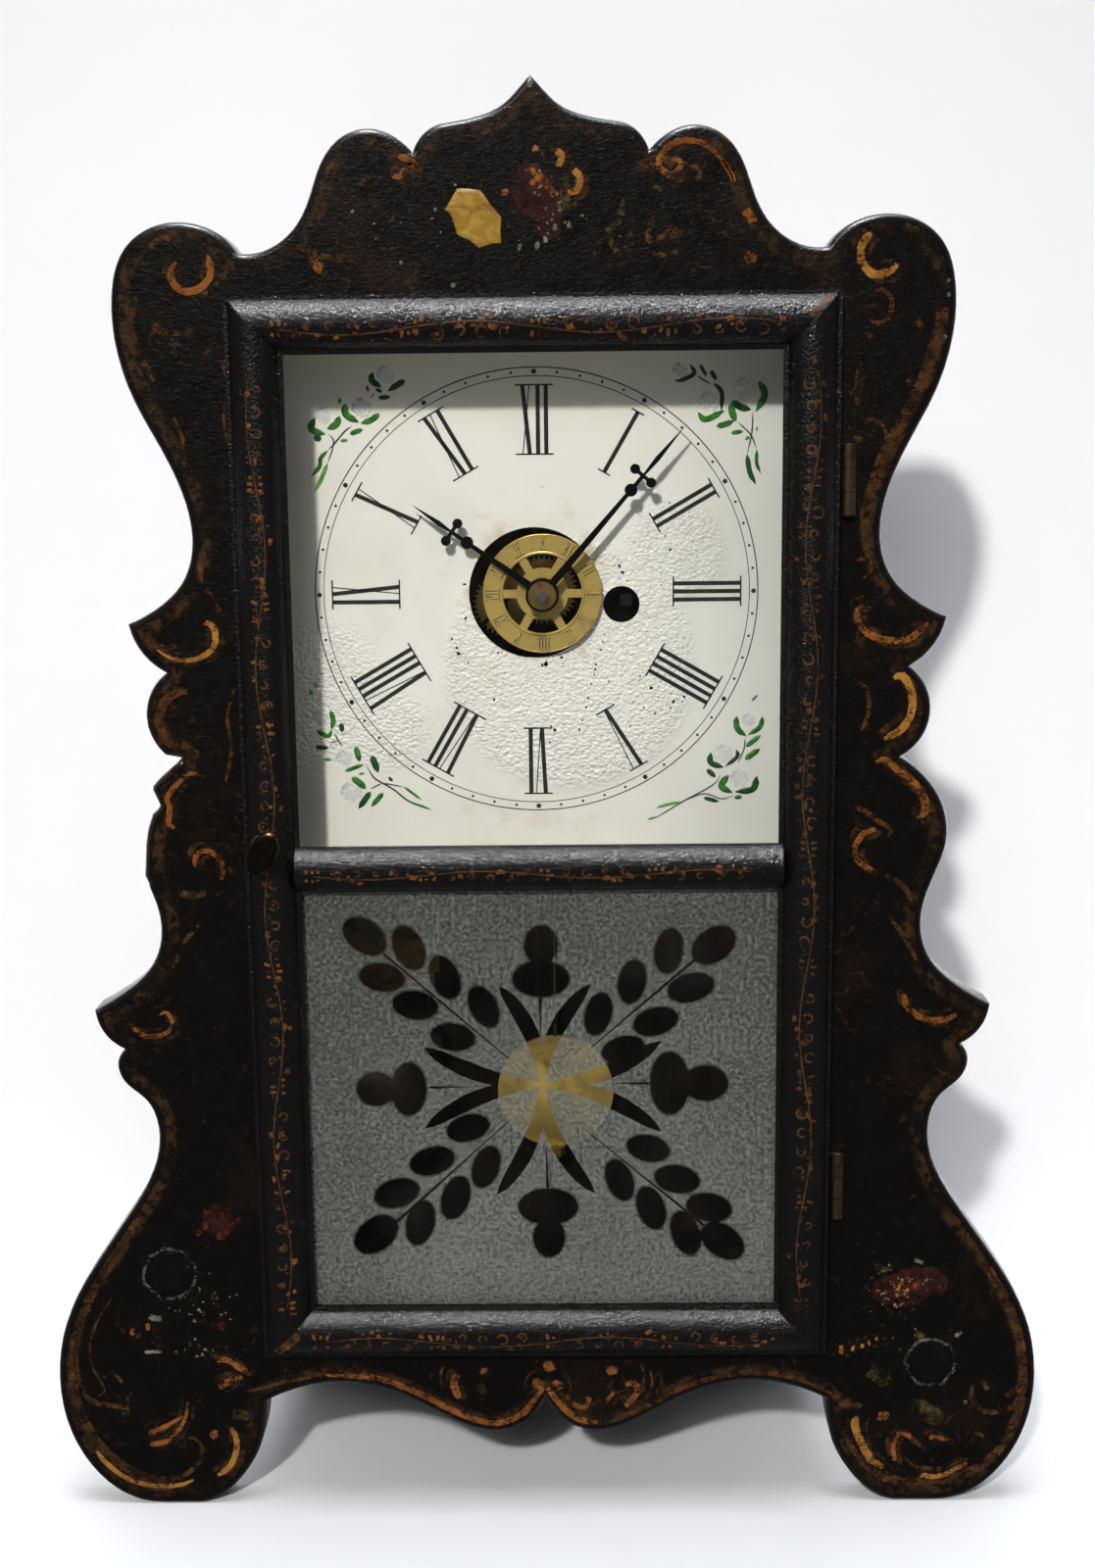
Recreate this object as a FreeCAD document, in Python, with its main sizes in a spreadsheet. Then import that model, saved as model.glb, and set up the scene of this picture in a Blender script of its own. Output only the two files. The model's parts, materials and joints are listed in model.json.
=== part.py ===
import FreeCAD, Part
import Sketcher
import math
import os
import re

Vector = FreeCAD.Vector
Rotation = FreeCAD.Rotation
Placement = FreeCAD.Placement

doc = FreeCAD.newDocument("scroll_front_clock")
sheet = doc.addObject("Spreadsheet::Sheet", "Sizes")

# Driving dimensions, in millimetres and degrees.
# X is the viewer's right, the clock faces -Y and it stands on Z = 0.
# A size whose name ends in _deep is measured from the front face of the scroll board into the case.
DRIVING = (
    # Scroll board and case boards
    ("board_width", 290.8),
    ("board_height", 410.5),
    ("board_thickness", 11.0),
    ("case_width", 186.0),
    ("case_crown", 361.0),
    ("crest_land", 12.0),
    ("case_underside", 42.0),
    ("case_depth", 92.0),
    ("side_thickness", 7.5),
    ("crown_thickness", 8.0),
    ("floor_thickness", 8.0),
    ("back_thickness", 8.0),
    ("nail_radius", 0.9),
    ("nail_length", 22.0),
    ("nail_head_radius", 2.0),
    ("nail_head_thickness", 0.8),
    ("nail_margin", 24.0),
    # Door frame of half-round moulding
    ("door_width", 165.3),
    ("door_height", 304.4),
    ("door_bottom", 49.8),
    ("door_thickness", 8.0),
    ("door_gap", 0.3),
    ("side_lap", 3.25),
    ("end_lap", 7.0),
    ("moulding_width", 15.5),
    ("fillet_width", 2.4),
    ("fillet_height", 4.4),
    ("round_width", 10.0),
    ("lip_height", 3.6),
    ("rebate_depth", 3.0),
    ("rebate_width", 4.0),
    ("rail_width", 13.0),
    ("rail_centre", 197.0),
    ("glass_thickness", 2.0),
    ("glass_clearance", 0.4),
    ("bead_thickness", 0.8),
    ("bead_width", 3.0),
    # Butt hinges and turn latch
    ("hinge_upper", 304.0),
    ("hinge_lower", 101.0),
    ("hinge_length", 19.5),
    ("hinge_reach", 2.65),
    ("hinge_proud", 1.4),
    ("knuckle_radius", 2.2),
    ("knuckle_gap", 0.2),
    ("hinge_pin_radius", 1.0),
    ("leaf_thickness", 1.0),
    ("leaf_reach", 5.4),
    ("mortise_fit", 0.25),
    ("latch_inset", 6.25),
    ("latch_height", 204.0),
    ("latch_spindle_radius", 1.4),
    ("rosette_radius", 4.3),
    ("rosette_thickness", 2.2),
    ("rosette_sink", 0.8),
    ("knob_length", 13.0),
    ("knob_width", 7.4),
    ("knob_thickness", 3.6),
    ("knob_neck", 1.4),
    ("knob_tilt", 29.0),
    ("hook_length", 8.5),
    ("hook_width", 3.0),
    ("hook_thickness", 1.5),
    ("hook_boss", 2.0),
    ("hook_clear", 0.4),
    # Dial and hands
    ("dial_height", 272.0),
    ("dial_width", 156.0),
    ("dial_length", 148.0),
    ("dial_deep", 22.0),
    ("dial_thickness", 0.8),
    ("dial_hole", 37.5),
    ("dial_hole_x", -0.9),
    ("winding_hole", 10.5),
    ("winding_hole_x", 24.1),
    ("winding_hole_drop", 3.5),
    ("dial_screw_radius", 1.1),
    ("dial_screw_head", 2.3),
    ("dial_screw_length", 9.0),
    ("dial_screw_top", 1.0),
    ("dial_screw_margin", 5.0),
    ("cleat_width", 15.0),
    ("cleat_depth", 14.0),
    ("minute_hand_length", 62.0),
    ("minute_ball", 38.6),
    ("minute_angle", 40.8),
    ("minute_hand_deep", 13.2),
    ("hour_hand_length", 44.7),
    ("hour_ball", 25.9),
    ("hour_angle", -55.0),
    ("hour_hand_deep", 16.6),
    ("hand_thickness", 0.8),
    ("hand_bar", 2.4),
    ("hand_neck", 1.1),
    ("hand_leaf", 1.4),
    ("hand_hub", 4.7),
    ("hand_ball", 1.8),
    ("bud_radius", 1.4),
    ("bud_spread", 2.95),
    ("bud_step", 5.2),
    ("washer_radius", 4.0),
    ("washer_thickness", 0.8),
    ("alarm_disc_radius", 17.0),
    ("alarm_disc_deep", 19.2),
    ("alarm_disc_thickness", 0.9),
    ("alarm_ring_width", 5.7),
    ("alarm_centre_radius", 7.4),
    ("alarm_hub_radius", 5.0),
    ("alarm_spoke", 2.4),
    ("alarm_cam_radius", 7.0),
    ("alarm_cam_notch", 3.0),
    # Movement frame
    ("movement_x", 1.5),
    ("plate_deep", 36.0),
    ("plate_thickness", 1.5),
    ("plate_gap", 28.5),
    ("plate_left", 38.0),
    ("plate_right", 50.0),
    ("plate_below", 34.0),
    ("plate_above", 54.0),
    ("back_plate_margin", 8.0),
    ("pillar_inset", 5.0),
    ("pillar_radius", 3.0),
    ("tenon_radius", 1.8),
    ("nut_radius", 3.6),
    ("nut_thickness", 2.2),
    ("post_radius", 4.5),
    ("post_screw_radius", 1.5),
    ("post_screw_head", 3.0),
    ("post_screw_top", 1.8),
    ("post_screw_bite", 5.0),
    ("plate_window_width", 20.0),
    ("plate_window_height", 11.0),
    ("running_fit", 0.06),
    # Wheels: numbers of teeth, sizes of teeth and the places of the arbors
    ("winding_x", 24.0),
    ("winding_drop", 2.4),
    ("great_teeth", 48),
    ("centre_leaves", 8),
    ("centre_teeth", 72),
    ("third_leaves", 6),
    ("third_teeth", 60),
    ("escape_leaves", 6),
    ("escape_teeth", 32),
    ("centre_module", 0.55),
    ("third_module", 0.5),
    ("third_bearing", 122.0),
    ("escape_bearing", 38.0),
    ("escape_radius", 10.0),
    ("escape_tooth", 1.5),
    ("wheel_thickness", 1.3),
    ("great_thickness", 1.8),
    ("wheel_rim", 2.2),
    ("wheel_hub", 4.0),
    ("wheel_arm", 2.0),
    ("trundle_share", 0.2),
    ("shroud_thickness", 0.7),
    ("centre_wheel_deep", 39.2),
    ("great_wheel_deep", 43.4),
    ("third_wheel_deep", 50.0),
    ("escape_wheel_deep", 58.0),
    ("arbor_radius", 1.2),
    ("pivot_radius", 0.6),
    ("end_shake", 0.3),
    ("pinion_room", 1.2),
    ("centre_arbor_radius", 1.6),
    ("centre_pivot_radius", 1.0),
    ("centre_arbor_deep", 9.0),
    ("centre_square", 2.3),
    ("winding_arbor_radius", 2.5),
    ("winding_pivot_radius", 1.6),
    ("winding_square", 3.4),
    ("winding_square_deep", 25.0),
    ("ratchet_radius", 8.0),
    ("ratchet_teeth", 18),
    ("ratchet_tooth", 1.3),
    ("ratchet_thickness", 1.4),
    ("ratchet_gap", 0.3),
    ("click_clear", 0.3),
    ("click_reach", 13.0),
    ("click_bearing", 35.0),
    ("click_nose_bearing", 80.0),
    ("click_boss", 2.2),
    ("click_finger", 1.6),
    ("rivet_radius", 0.8),
    ("click_spring_wire", 0.4),
    ("click_spring_gap", 0.9),
    ("click_spring_post", 0.9),
    ("spring_outer", 19.5),
    ("spring_inner", 3.6),
    ("spring_leaf", 0.5),
    ("spring_width", 15.5),
    ("spring_turns", 6),
    ("spring_deep", 47.5),
    # Motion work that carries the hour hand
    ("cannon_leaves", 12),
    ("minute_wheel_teeth", 36),
    ("minute_pinion_leaves", 10),
    ("hour_teeth", 40),
    ("motion_distance", 12.0),
    ("motion_bearing", 200.0),
    ("cannon_radius", 2.1),
    ("hour_pipe_radius", 3.0),
    ("pipe_end", 0.3),
    ("hour_wheel_deep", 30.6),
    ("minute_wheel_deep", 33.6),
    ("stud_radius", 1.2),
    ("stud_end", 1.4),
    ("cannon_deep", 12.8),
    ("cannon_pinion_length", 2.4),
    ("minute_pinion_length", 3.8),
    # Verge, crutch and pendulum
    ("verge_rise", 13.0),
    ("pallet_bearing", 48.0),
    ("pallet_clear", 1.2),
    ("crutch_length", 40.0),
    ("crutch_wire", 0.6),
    ("crutch_deep", 69.8),
    ("crutch_boss", 1.8),
    ("verge_room", 1.6),
    ("verge_arbor_radius", 1.0),
    ("fork_clear", 0.35),
    ("pivot_rise", 8.3),
    ("cock_width", 10.0),
    ("cock_deep", 72.0),
    ("cock_thickness", 1.5),
    ("pendulum_deep", 76.0),
    ("pendulum_length", 218.4),
    ("rod_radius", 0.8),
    ("flex_width", 4.0),
    ("flex_length", 10.0),
    ("flex_thickness", 0.3),
    ("bob_radius", 19.0),
    ("bob_thickness", 9.0),
    ("bob_edge", 1.2),
    ("rating_nut_radius", 3.2),
    ("rating_nut_height", 3.0),
    ("rod_tail", 9.0),
    ("strip_thickness", 1.6),
    ("chops_gap", 0.3),
    ("chops_height", 6.0),
    ("cock_foot", 5.0),
    ("cock_below", 4.0),
    # Alarm: frame, spring, wheel, hammer, bell and let-off wire
    ("alarm_x", -54.0),
    ("alarm_height", 160.0),
    ("alarm_front_deep", 62.0),
    ("alarm_strap", 1.2),
    ("alarm_left", 16.0),
    ("alarm_right", 19.0),
    ("alarm_below", 18.0),
    ("alarm_above", 22.0),
    ("alarm_arbor_radius", 2.0),
    ("alarm_square", 2.8),
    ("alarm_square_deep", 53.0),
    ("alarm_wheel_radius", 11.5),
    ("alarm_wheel_teeth", 16),
    ("alarm_tooth", 2.0),
    ("alarm_wheel_deep", 64.6),
    ("alarm_spring_outer", 11.5),
    ("alarm_spring_turns", 4),
    ("alarm_spring_deep", 67.5),
    ("alarm_spring_width", 12.0),
    ("hammer_x", 13.0),
    ("hammer_rise", 13.0),
    ("hammer_length", 50.4),
    ("hammer_lean", 4.8),
    ("hammer_wire", 0.7),
    ("hammer_arbor_radius", 1.0),
    ("hammer_pallets", 5.5),
    ("hammer_head_radius", 3.5),
    ("hammer_head_length", 9.0),
    ("hammer_deep", 72.0),
    ("bell_x", -56.0),
    ("bell_height", 100.0),
    ("bell_radius", 25.0),
    ("bell_depth", 17.0),
    ("bell_wall", 1.2),
    ("bell_deep", 59.0),
    ("bell_post_radius", 2.5),
    ("bell_collar", 4.0),
    ("let_off_wire", 0.6),
    ("let_off_deep", 27.5),
    ("let_off_x", -22.0),
    ("let_off_drop", 14.0),
    ("let_off_hub", 1.6),
    ("let_off_stud_radius", 0.9),
    ("let_off_gap", 0.6),
    ("catch_gap", 1.2),
    ("catch_height", 12.0),
    ("catch_deep", 59.5),
)

# Sizes that follow from the ones above
FOLLOWING = (
    ("rosette_front", "=door_gap + door_thickness - rosette_sink + rosette_thickness"),
    ("latch_reach", "=rosette_front + knob_neck + knob_thickness"),
    ("front_y", "=-(case_depth - latch_reach) / 2"),
    ("door_top", "=door_bottom + door_height"),
    ("door_back", "=front_y - door_gap"),
    ("opening_width", "=door_width - 2 * side_lap"),
    ("opening_bottom", "=door_bottom + end_lap"),
    ("opening_height", "=door_height - 2 * end_lap"),
    ("crest_base", "=max(case_crown; opening_bottom + opening_height + crest_land)"),
    ("inner_width", "=case_width - 2 * side_thickness"),
    ("inner_depth", "=case_depth - board_thickness - back_thickness"),
    ("wall_height", "=case_crown - case_underside"),
    ("light_width", "=door_width - 2 * moulding_width"),
    ("pane_width", "=light_width + 2 * rebate_width - 2 * glass_clearance"),
    ("rail_web", "=rail_width - 2 * rebate_width"),
    ("upper_pane_bottom", "=rail_centre + rail_web / 2 + glass_clearance"),
    ("upper_pane_top", "=door_top - moulding_width + rebate_width - glass_clearance"),
    ("upper_pane_height", "=upper_pane_top - upper_pane_bottom"),
    ("lower_pane_bottom", "=door_bottom + moulding_width - rebate_width + glass_clearance"),
    ("lower_pane_height", "=rail_centre - rail_web / 2 - glass_clearance - lower_pane_bottom"),
    ("hinge_x", "=door_width / 2 + hinge_reach"),
    ("hinge_y", "=front_y - hinge_proud"),
    ("latch_x", "=latch_inset - door_width / 2"),
    ("dial_bottom", "=dial_height - dial_length / 2"),
    ("back_plate_deep", "=plate_deep + plate_thickness + plate_gap"),
    ("back_inner_deep", "=case_depth - back_thickness"),
    ("pillar_left", "=movement_x - plate_left + pillar_inset"),
    ("pillar_right", "=movement_x + plate_right - pillar_inset"),
    ("pillar_low", "=dial_height - plate_below + pillar_inset"),
    ("pillar_high", "=dial_height + plate_above - pillar_inset"),
    ("post_left", "=pillar_left - back_plate_margin"),
    ("post_right", "=pillar_right + back_plate_margin"),
    ("post_low", "=pillar_low - back_plate_margin"),
    ("post_high", "=pillar_high + back_plate_margin"),
    # Places of the arbors, across and up
    ("centre_px", "=movement_x"),
    ("centre_pz", "=dial_height"),
    ("winding_px", "=movement_x + winding_x"),
    ("winding_pz", "=dial_height - winding_drop"),
    ("great_module", "=2 * sqrt(winding_x ^ 2 + winding_drop ^ 2) / (great_teeth + centre_leaves)"),
    ("third_distance", "=centre_module * (centre_teeth + third_leaves) / 2"),
    ("third_px", "=centre_px + third_distance * cos(third_bearing * 1 deg)"),
    ("third_pz", "=centre_pz + third_distance * sin(third_bearing * 1 deg)"),
    ("escape_distance", "=third_module * (third_teeth + escape_leaves) / 2"),
    ("escape_px", "=third_px + escape_distance * cos(escape_bearing * 1 deg)"),
    ("escape_pz", "=third_pz + escape_distance * sin(escape_bearing * 1 deg)"),
    ("verge_px", "=escape_px"),
    ("verge_pz", "=escape_pz + verge_rise"),
    ("pendulum_px", "=escape_px"),
    ("pendulum_pz", "=verge_pz + pivot_rise"),
    ("motion_px", "=centre_px + motion_distance * cos(motion_bearing * 1 deg)"),
    ("motion_pz", "=centre_pz + motion_distance * sin(motion_bearing * 1 deg)"),
    ("let_off_px", "=centre_px + let_off_x"),
    ("let_off_pz", "=centre_pz - let_off_drop"),
    ("alarm_px", "=alarm_x"),
    ("alarm_pz", "=alarm_height"),
    ("hammer_px", "=alarm_x + hammer_x"),
    ("hammer_pz", "=alarm_height + hammer_rise"),
    ("bell_px", "=bell_x"),
    ("bell_pz", "=bell_height"),
)


def fill_sheet():
    for row, (alias, amount) in enumerate(DRIVING + FOLLOWING, 1):
        sheet.set(f"A{row}", alias)
        sheet.set(f"B{row}", str(amount))
        sheet.setAlias(f"B{row}", alias)
    doc.recompute()


fill_sheet()
ALIASES = {alias for alias, amount in DRIVING + FOLLOWING}


def size(alias):
    """The amount that the sheet holds under an alias."""
    return float(sheet.get(alias))


def in_sheet(word):
    name = word.group()
    return "Sizes." + name if name in ALIASES else name


def formula(text):
    """A formula in the sheet's aliases, as an expression that an object of the document can hold."""
    return re.sub(r"[a-z_]\w*", in_sheet, text)


def bind(item, **sizes):
    """Ties properties to formulas. Two underscores in a name stand for a dot."""
    for name, text in sizes.items():
        item.setExpression(name.replace("__", "."), formula(text))


def place(item, x="0", y="0", z="0"):
    bind(item, Placement__Base__x=x, Placement__Base__y=y, Placement__Base__z=z)


# Bodies, sketches and features


def new_body(label, x="0", y="0", z="0", turn=0):
    body = doc.addObject("PartDesign::Body", label)
    body.Placement = Placement(Vector(0, 0, 0), Rotation(Vector(0, 1, 0), turn))
    place(body, x, y, z)
    return body


def sketch_on(body, role, name):
    sketch = body.newObject("Sketcher::SketchObject", name)
    plane = next(item for item in body.Origin.OriginFeatures if item.Role == role)
    sketch.AttachmentSupport = (plane, "")
    sketch.MapMode = "FlatFace"
    return sketch


def curve(points):
    """A line through two points, an arc through three, a smooth curve through more."""
    points = [Vector(x, z, 0) for x, z in points]
    if len(points) == 2:
        return Part.LineSegment(*points)
    if len(points) == 3:
        return Part.Arc(*points)
    smooth = Part.BSplineCurve()
    smooth.interpolate(points)
    return smooth


def draw(sketch, runs):
    for points in runs:
        sketch.addGeometry(curve(points), False)


def closed_line(points):
    return [[start, end] for start, end in zip(points, points[1:] + points[:1])]


def rectangle(sketch, left, bottom, width, height):
    """A rectangle whose place and size are tied to formulas."""
    first = sketch.GeometryCount
    for points in closed_line([(0, 0), (1, 0), (1, 1), (0, 1)]):
        sketch.addGeometry(curve(points), False)
    for side in range(4):
        sketch.addConstraint(Sketcher.Constraint("Coincident", first + side, 2, first + (side + 1) % 4, 1))
    sketch.addConstraint(Sketcher.Constraint("Horizontal", first))
    sketch.addConstraint(Sketcher.Constraint("Vertical", first + 1))
    sketch.addConstraint(Sketcher.Constraint("Horizontal", first + 2))
    sketch.addConstraint(Sketcher.Constraint("Vertical", first + 3))
    tie(sketch, Sketcher.Constraint("DistanceX", first, 1, first, 2, 1.0), width)
    tie(sketch, Sketcher.Constraint("DistanceY", first + 1, 1, first + 1, 2, 1.0), height)
    tie(sketch, Sketcher.Constraint("DistanceX", -1, 1, first, 1, 0.1), left)
    tie(sketch, Sketcher.Constraint("DistanceY", -1, 1, first, 1, 0.1), bottom)


def circle(sketch, x, z, diameter):
    """A circle whose place and size are tied to formulas."""
    ring = sketch.addGeometry(Part.Circle(Vector(0.1, 0.1, 0), Vector(0, 0, 1), 1.0), False)
    tie(sketch, Sketcher.Constraint("Diameter", ring, 2.0), diameter)
    tie(sketch, Sketcher.Constraint("DistanceX", -1, 1, ring, 3, 0.1), x)
    tie(sketch, Sketcher.Constraint("DistanceY", -1, 1, ring, 3, 0.1), z)


def tie(sketch, constraint, text):
    index = sketch.addConstraint(constraint)
    sketch.setExpression(f"Constraints[{index}]", formula(text))


def pad(body, sketch, length, backwards=True):
    feature = body.newObject("PartDesign::Pad", sketch.Name + "_pad")
    feature.Profile = sketch
    feature.Reversed = backwards
    bind(feature, Length=length)
    body.Tip = feature
    doc.recompute()
    return feature


def pocket(body, sketch, depth=None, flip=False):
    """Cuts a sketch through the body, or to a depth, and checks that it took material away."""
    before = body.Shape.Volume
    feature = body.newObject("PartDesign::Pocket", sketch.Name + "_pocket")
    feature.Profile = sketch
    feature.Reversed = flip
    if depth is None:
        feature.Type = "ThroughAll"
    else:
        bind(feature, Length=depth)
    body.Tip = feature
    doc.recompute()
    if body.Shape.Volume >= before:
        raise RuntimeError(sketch.Name + " cuts nothing")
    return feature


def turned(label, profile, x, y, z):
    """A piece turned about its own Y axis, from runs of (radius, depth) points."""
    body = new_body(label, x, y, z)
    sketch = sketch_on(body, "XY_Plane", label + "_profile")
    draw(sketch, profile)
    feature = body.newObject("PartDesign::Revolution", label + "_turning")
    feature.Profile = sketch
    feature.ReferenceAxis = (sketch, ["V_Axis"])
    feature.Angle = 360
    body.Tip = feature
    return body


def block(label, x, y, z, width, depth, height):
    item = doc.addObject("Part::Box", label)
    bind(item, Length=width, Width=depth, Height=height)
    place(item, x, y, z)
    return item


def bar(label, x, y, z, radius, length):
    """A round bar along Y, from y inwards."""
    item = doc.addObject("Part::Cylinder", label)
    item.Placement = Placement(Vector(0, 0, 0), Rotation(Vector(1, 0, 0), -90))
    bind(item, Radius=radius, Height=length)
    place(item, x, y, z)
    return item


def fused(label, items):
    item = doc.addObject("Part::MultiFuse", label)
    item.Shapes = items
    return item


def cut(label, base, tool):
    item = doc.addObject("Part::Cut", label)
    item.Base = base
    item.Tool = tool
    return item


def group(label, items):
    item = doc.addObject("Part::Compound", label)
    item.Links = items
    return item


def shaped(label, shape, x=0.0, y=0.0, z=0.0):
    """A piece whose form no feature gives, made in its own frame and then placed."""
    item = doc.addObject("Part::Feature", label)
    item.Shape = shape
    item.Placement = Placement(Vector(x, y, z), Rotation()).multiply(shape.Placement)
    return item


# Shapes in a piece's own frame, turned about Y


def disc(radius, start, length, x=0.0, z=0.0):
    return Part.makeCylinder(radius, length, Vector(x, start, z), Vector(0, 1, 0))


def slab(width, start, length, height, x=0.0, z=0.0):
    """A rectangular bar along Y, centred on x and z."""
    return Part.makeBox(width, length, height, Vector(x - width / 2, start, z - height / 2))


def wire_rod(start, end, radius):
    way = end - start
    return Part.makeCylinder(radius, way.Length, start, way)


def around(radius, degrees):
    """A point on a circle about the Y axis, counted anticlockwise from +X as the front sees it."""
    angle = math.radians(degrees)
    return radius * math.cos(angle), radius * math.sin(angle)


def outline_solid(points, start, length):
    corners = [Vector(x, start, z) for x, z in points]
    face = Part.Face(Part.makePolygon(corners + corners[:1]))
    return face.extrude(Vector(0, length, 0))


def toothed(teeth, tooth, start, length, turn=0.0):
    """A toothed disc. tooth lists (radius, distance from the tooth's middle), going round."""
    points = []
    for number in range(int(teeth)):
        middle = 360.0 * number / teeth + turn
        for radius, side in tooth:
            points.append(around(radius, middle + math.degrees(side / radius)))
    return outline_solid(points, start, length)


TOOTH_SHARE = 0.21
TIP_SHARE = 0.35
ADDENDUM_SHARE = 0.275
ROOT_CLEARANCE = 0.2


def lantern_tooth(pitch_radius, teeth):
    """The tooth of a wheel that drives a pinion of round trundles."""
    pitch = 2 * math.pi * pitch_radius / teeth
    half = TOOTH_SHARE * pitch
    root = pitch_radius - size("trundle_share") * pitch - ROOT_CLEARANCE
    tip = pitch_radius + ADDENDUM_SHARE * pitch
    return [(root, -half), (pitch_radius, -half), (tip, -TIP_SHARE * half),
            (tip, TIP_SHARE * half), (pitch_radius, half), (root, half)]


def crossed_out(wheel, rim, hub, start, length, arms):
    """Cuts the windows between a wheel's arms."""
    windows = disc(rim, start, length).cut(disc(hub, start, length))
    for number in range(arms):
        arm = slab(2 * rim, start, length, size("wheel_arm"), rim)
        arm.rotate(Vector(0, 0, 0), Vector(0, 1, 0), 360.0 * number / arms)
        windows = windows.cut(arm)
    return wheel.cut(windows)


def train_wheel(teeth, pitch_radius, bore, start, thickness, turn, arms=5):
    tooth = lantern_tooth(pitch_radius, teeth)
    wheel = toothed(teeth, tooth, start, thickness, turn)
    if arms:
        rim = tooth[0][0] - size("wheel_rim")
        wheel = crossed_out(wheel, rim, size("wheel_hub"), start, thickness, arms)
    return wheel.cut(disc(bore, start, thickness))


def lantern_pinion(leaves, pitch_radius, wheel_pitch, start, length, core, turn):
    """Two shrouds joined by round trundles, on a thin core."""
    trundle = size("trundle_share") * wheel_pitch
    shroud = pitch_radius + 2 * trundle
    thick = size("shroud_thickness")
    pinion = disc(core, start, length)
    pinion = pinion.fuse([disc(shroud, start, thick), disc(shroud, start + length - thick, thick)])
    pins = []
    for number in range(int(leaves)):
        x, z = around(pitch_radius, 360.0 * number / leaves + turn)
        pins.append(disc(trundle, start, length, x, z))
    return pinion.fuse(pins)


def flat_spiral(inner, outer, turns, leaf, width, start):
    """A ribbon wound on edge: half circles of growing radius, thickened and given their width."""
    halves = int(turns) * 2
    growth = (outer - inner - leaf) / halves
    shapes = []
    for number in range(halves):
        radius = inner + growth * (number + 0.5)
        side = 1 if number % 2 == 0 else -1
        centre = -side * growth / 2
        ring = disc(radius + leaf, start, width, centre).cut(disc(radius, start, width, centre))
        half = slab(4 * outer, start, width, 2 * outer, 0, side * outer)
        shapes.append(ring.common(half))
    return shapes[0].fuse(shapes[1:]).removeSplitter()


# Scroll board and case

# The right half of the scroll outline as (distance from the middle, height), from the crest to the skirt.
HALF_SCROLL = (
    # pointed crest and its shoulder
    ((0, 410.5), (3.0, 407.2), (7.4, 403.0), (14.6, 400.0), (22.0, 398.6)),
    ((22.0, 398.6), (28.6, 395.8), (31.4, 391.0)),
    # lobe beside the crest, falling to the valley
    ((31.4, 391.0), (35.2, 394.6), (43.0, 397.4), (51.0, 394.9), (56.4, 388.1), (59.7, 379.1),
     (63.6, 372.2), (69.4, 367.4), (79.0, 365.6)),
    # ear, upper waist and the first horn
    ((79.0, 365.6), (82.8, 370.0), (92.0, 373.8), (103.0, 372.4), (109.9, 366.9), (113.6, 356.0),
     (113.5, 343.7), (108.2, 325.6), (102.7, 315.1), (97.8, 304.5), (94.7, 288.6), (97.8, 277.8),
     (104.0, 271.4), (113.5, 266.2)),
    ((113.5, 266.2), (110.6, 258.9), (103.5, 252.5)),
    # two bulges, lower waist and the second horn
    ((103.5, 252.5), (109.7, 240.0), (101.5, 227.0)),
    ((101.5, 227.0), (107.9, 222.0), (113.6, 213.5), (115.0, 202.3), (111.1, 190.9), (108.4, 179.5),
     (111.0, 168.9), (117.0, 162.2), (128.7, 154.8)),
    ((128.7, 154.8), (126.7, 148.4), (120.6, 143.0)),
    # nub, leg and foot
    ((120.6, 143.0), (122.9, 137.8), (121.2, 133.2), (115.4, 127.8), (111.9, 116.5), (115.1, 103.8),
     (122.5, 91.6), (130.9, 79.4), (138.5, 67.1), (143.4, 54.7), (145.4, 40.0), (143.8, 26.3),
     (138.2, 13.6), (129.4, 4.2), (116.0, 0)),
    ((116.0, 0), (104.0, 0)),
    ((104.0, 0), (96.6, 3.4), (90.8, 9.5), (86.0, 18.0), (84.0, 26.5), (83.4, 33.0)),
    # scalloped skirt
    ((83.4, 33.0), (75.0, 36.6), (63.0, 38.9), (52.0, 37.8), (40.0, 33.4), (28.0, 26.8), (15.0, 22.9),
     (7.0, 25.2), (2.0, 30.0), (0, 34.9)),
)
# Height in the outline above which it belongs to the crest, which rises over the case and the door.
SCROLL_CREST = 361.0


def scroll_height(drawn, top):
    """A height of the outline on the board: below the crest it goes with the door, above with the board."""
    base = size("crest_base")
    if drawn <= SCROLL_CREST:
        return drawn * base / SCROLL_CREST
    return base + (drawn - SCROLL_CREST) * (size("board_height") - base) / (top - SCROLL_CREST)


def scroll_outline():
    """The whole outline: the right half, then its mirror image back to the crest."""
    wide = size("board_width") / 2 / max(x for run in HALF_SCROLL for x, z in run)
    top = max(z for run in HALF_SCROLL for x, z in run)
    right = [[(x * wide, scroll_height(z, top)) for x, z in run] for run in HALF_SCROLL]
    left = [[(-x, z) for x, z in reversed(run)] for run in reversed(right)]
    return right + left


HINGES = ("hinge_upper", "hinge_lower")


def front_board():
    body = new_body("front_board", y="front_y")
    outline = sketch_on(body, "XZ_Plane", "scroll_outline")
    draw(outline, scroll_outline())
    pad(body, outline, "board_thickness")
    opening = sketch_on(body, "XZ_Plane", "door_opening")
    rectangle(opening, "-opening_width / 2", "opening_bottom", "opening_width", "opening_height")
    pocket(body, opening)
    mortises = sketch_on(body, "XZ_Plane", "hinge_mortises")
    for hinge in HINGES:
        rectangle(mortises, "opening_width / 2 - mortise_fit", hinge + " - hinge_length / 2 - mortise_fit",
                  "hinge_x + knuckle_radius + 2 * mortise_fit - opening_width / 2",
                  "hinge_length + 2 * mortise_fit")
    pocket(body, mortises, "leaf_thickness")
    return body


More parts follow.
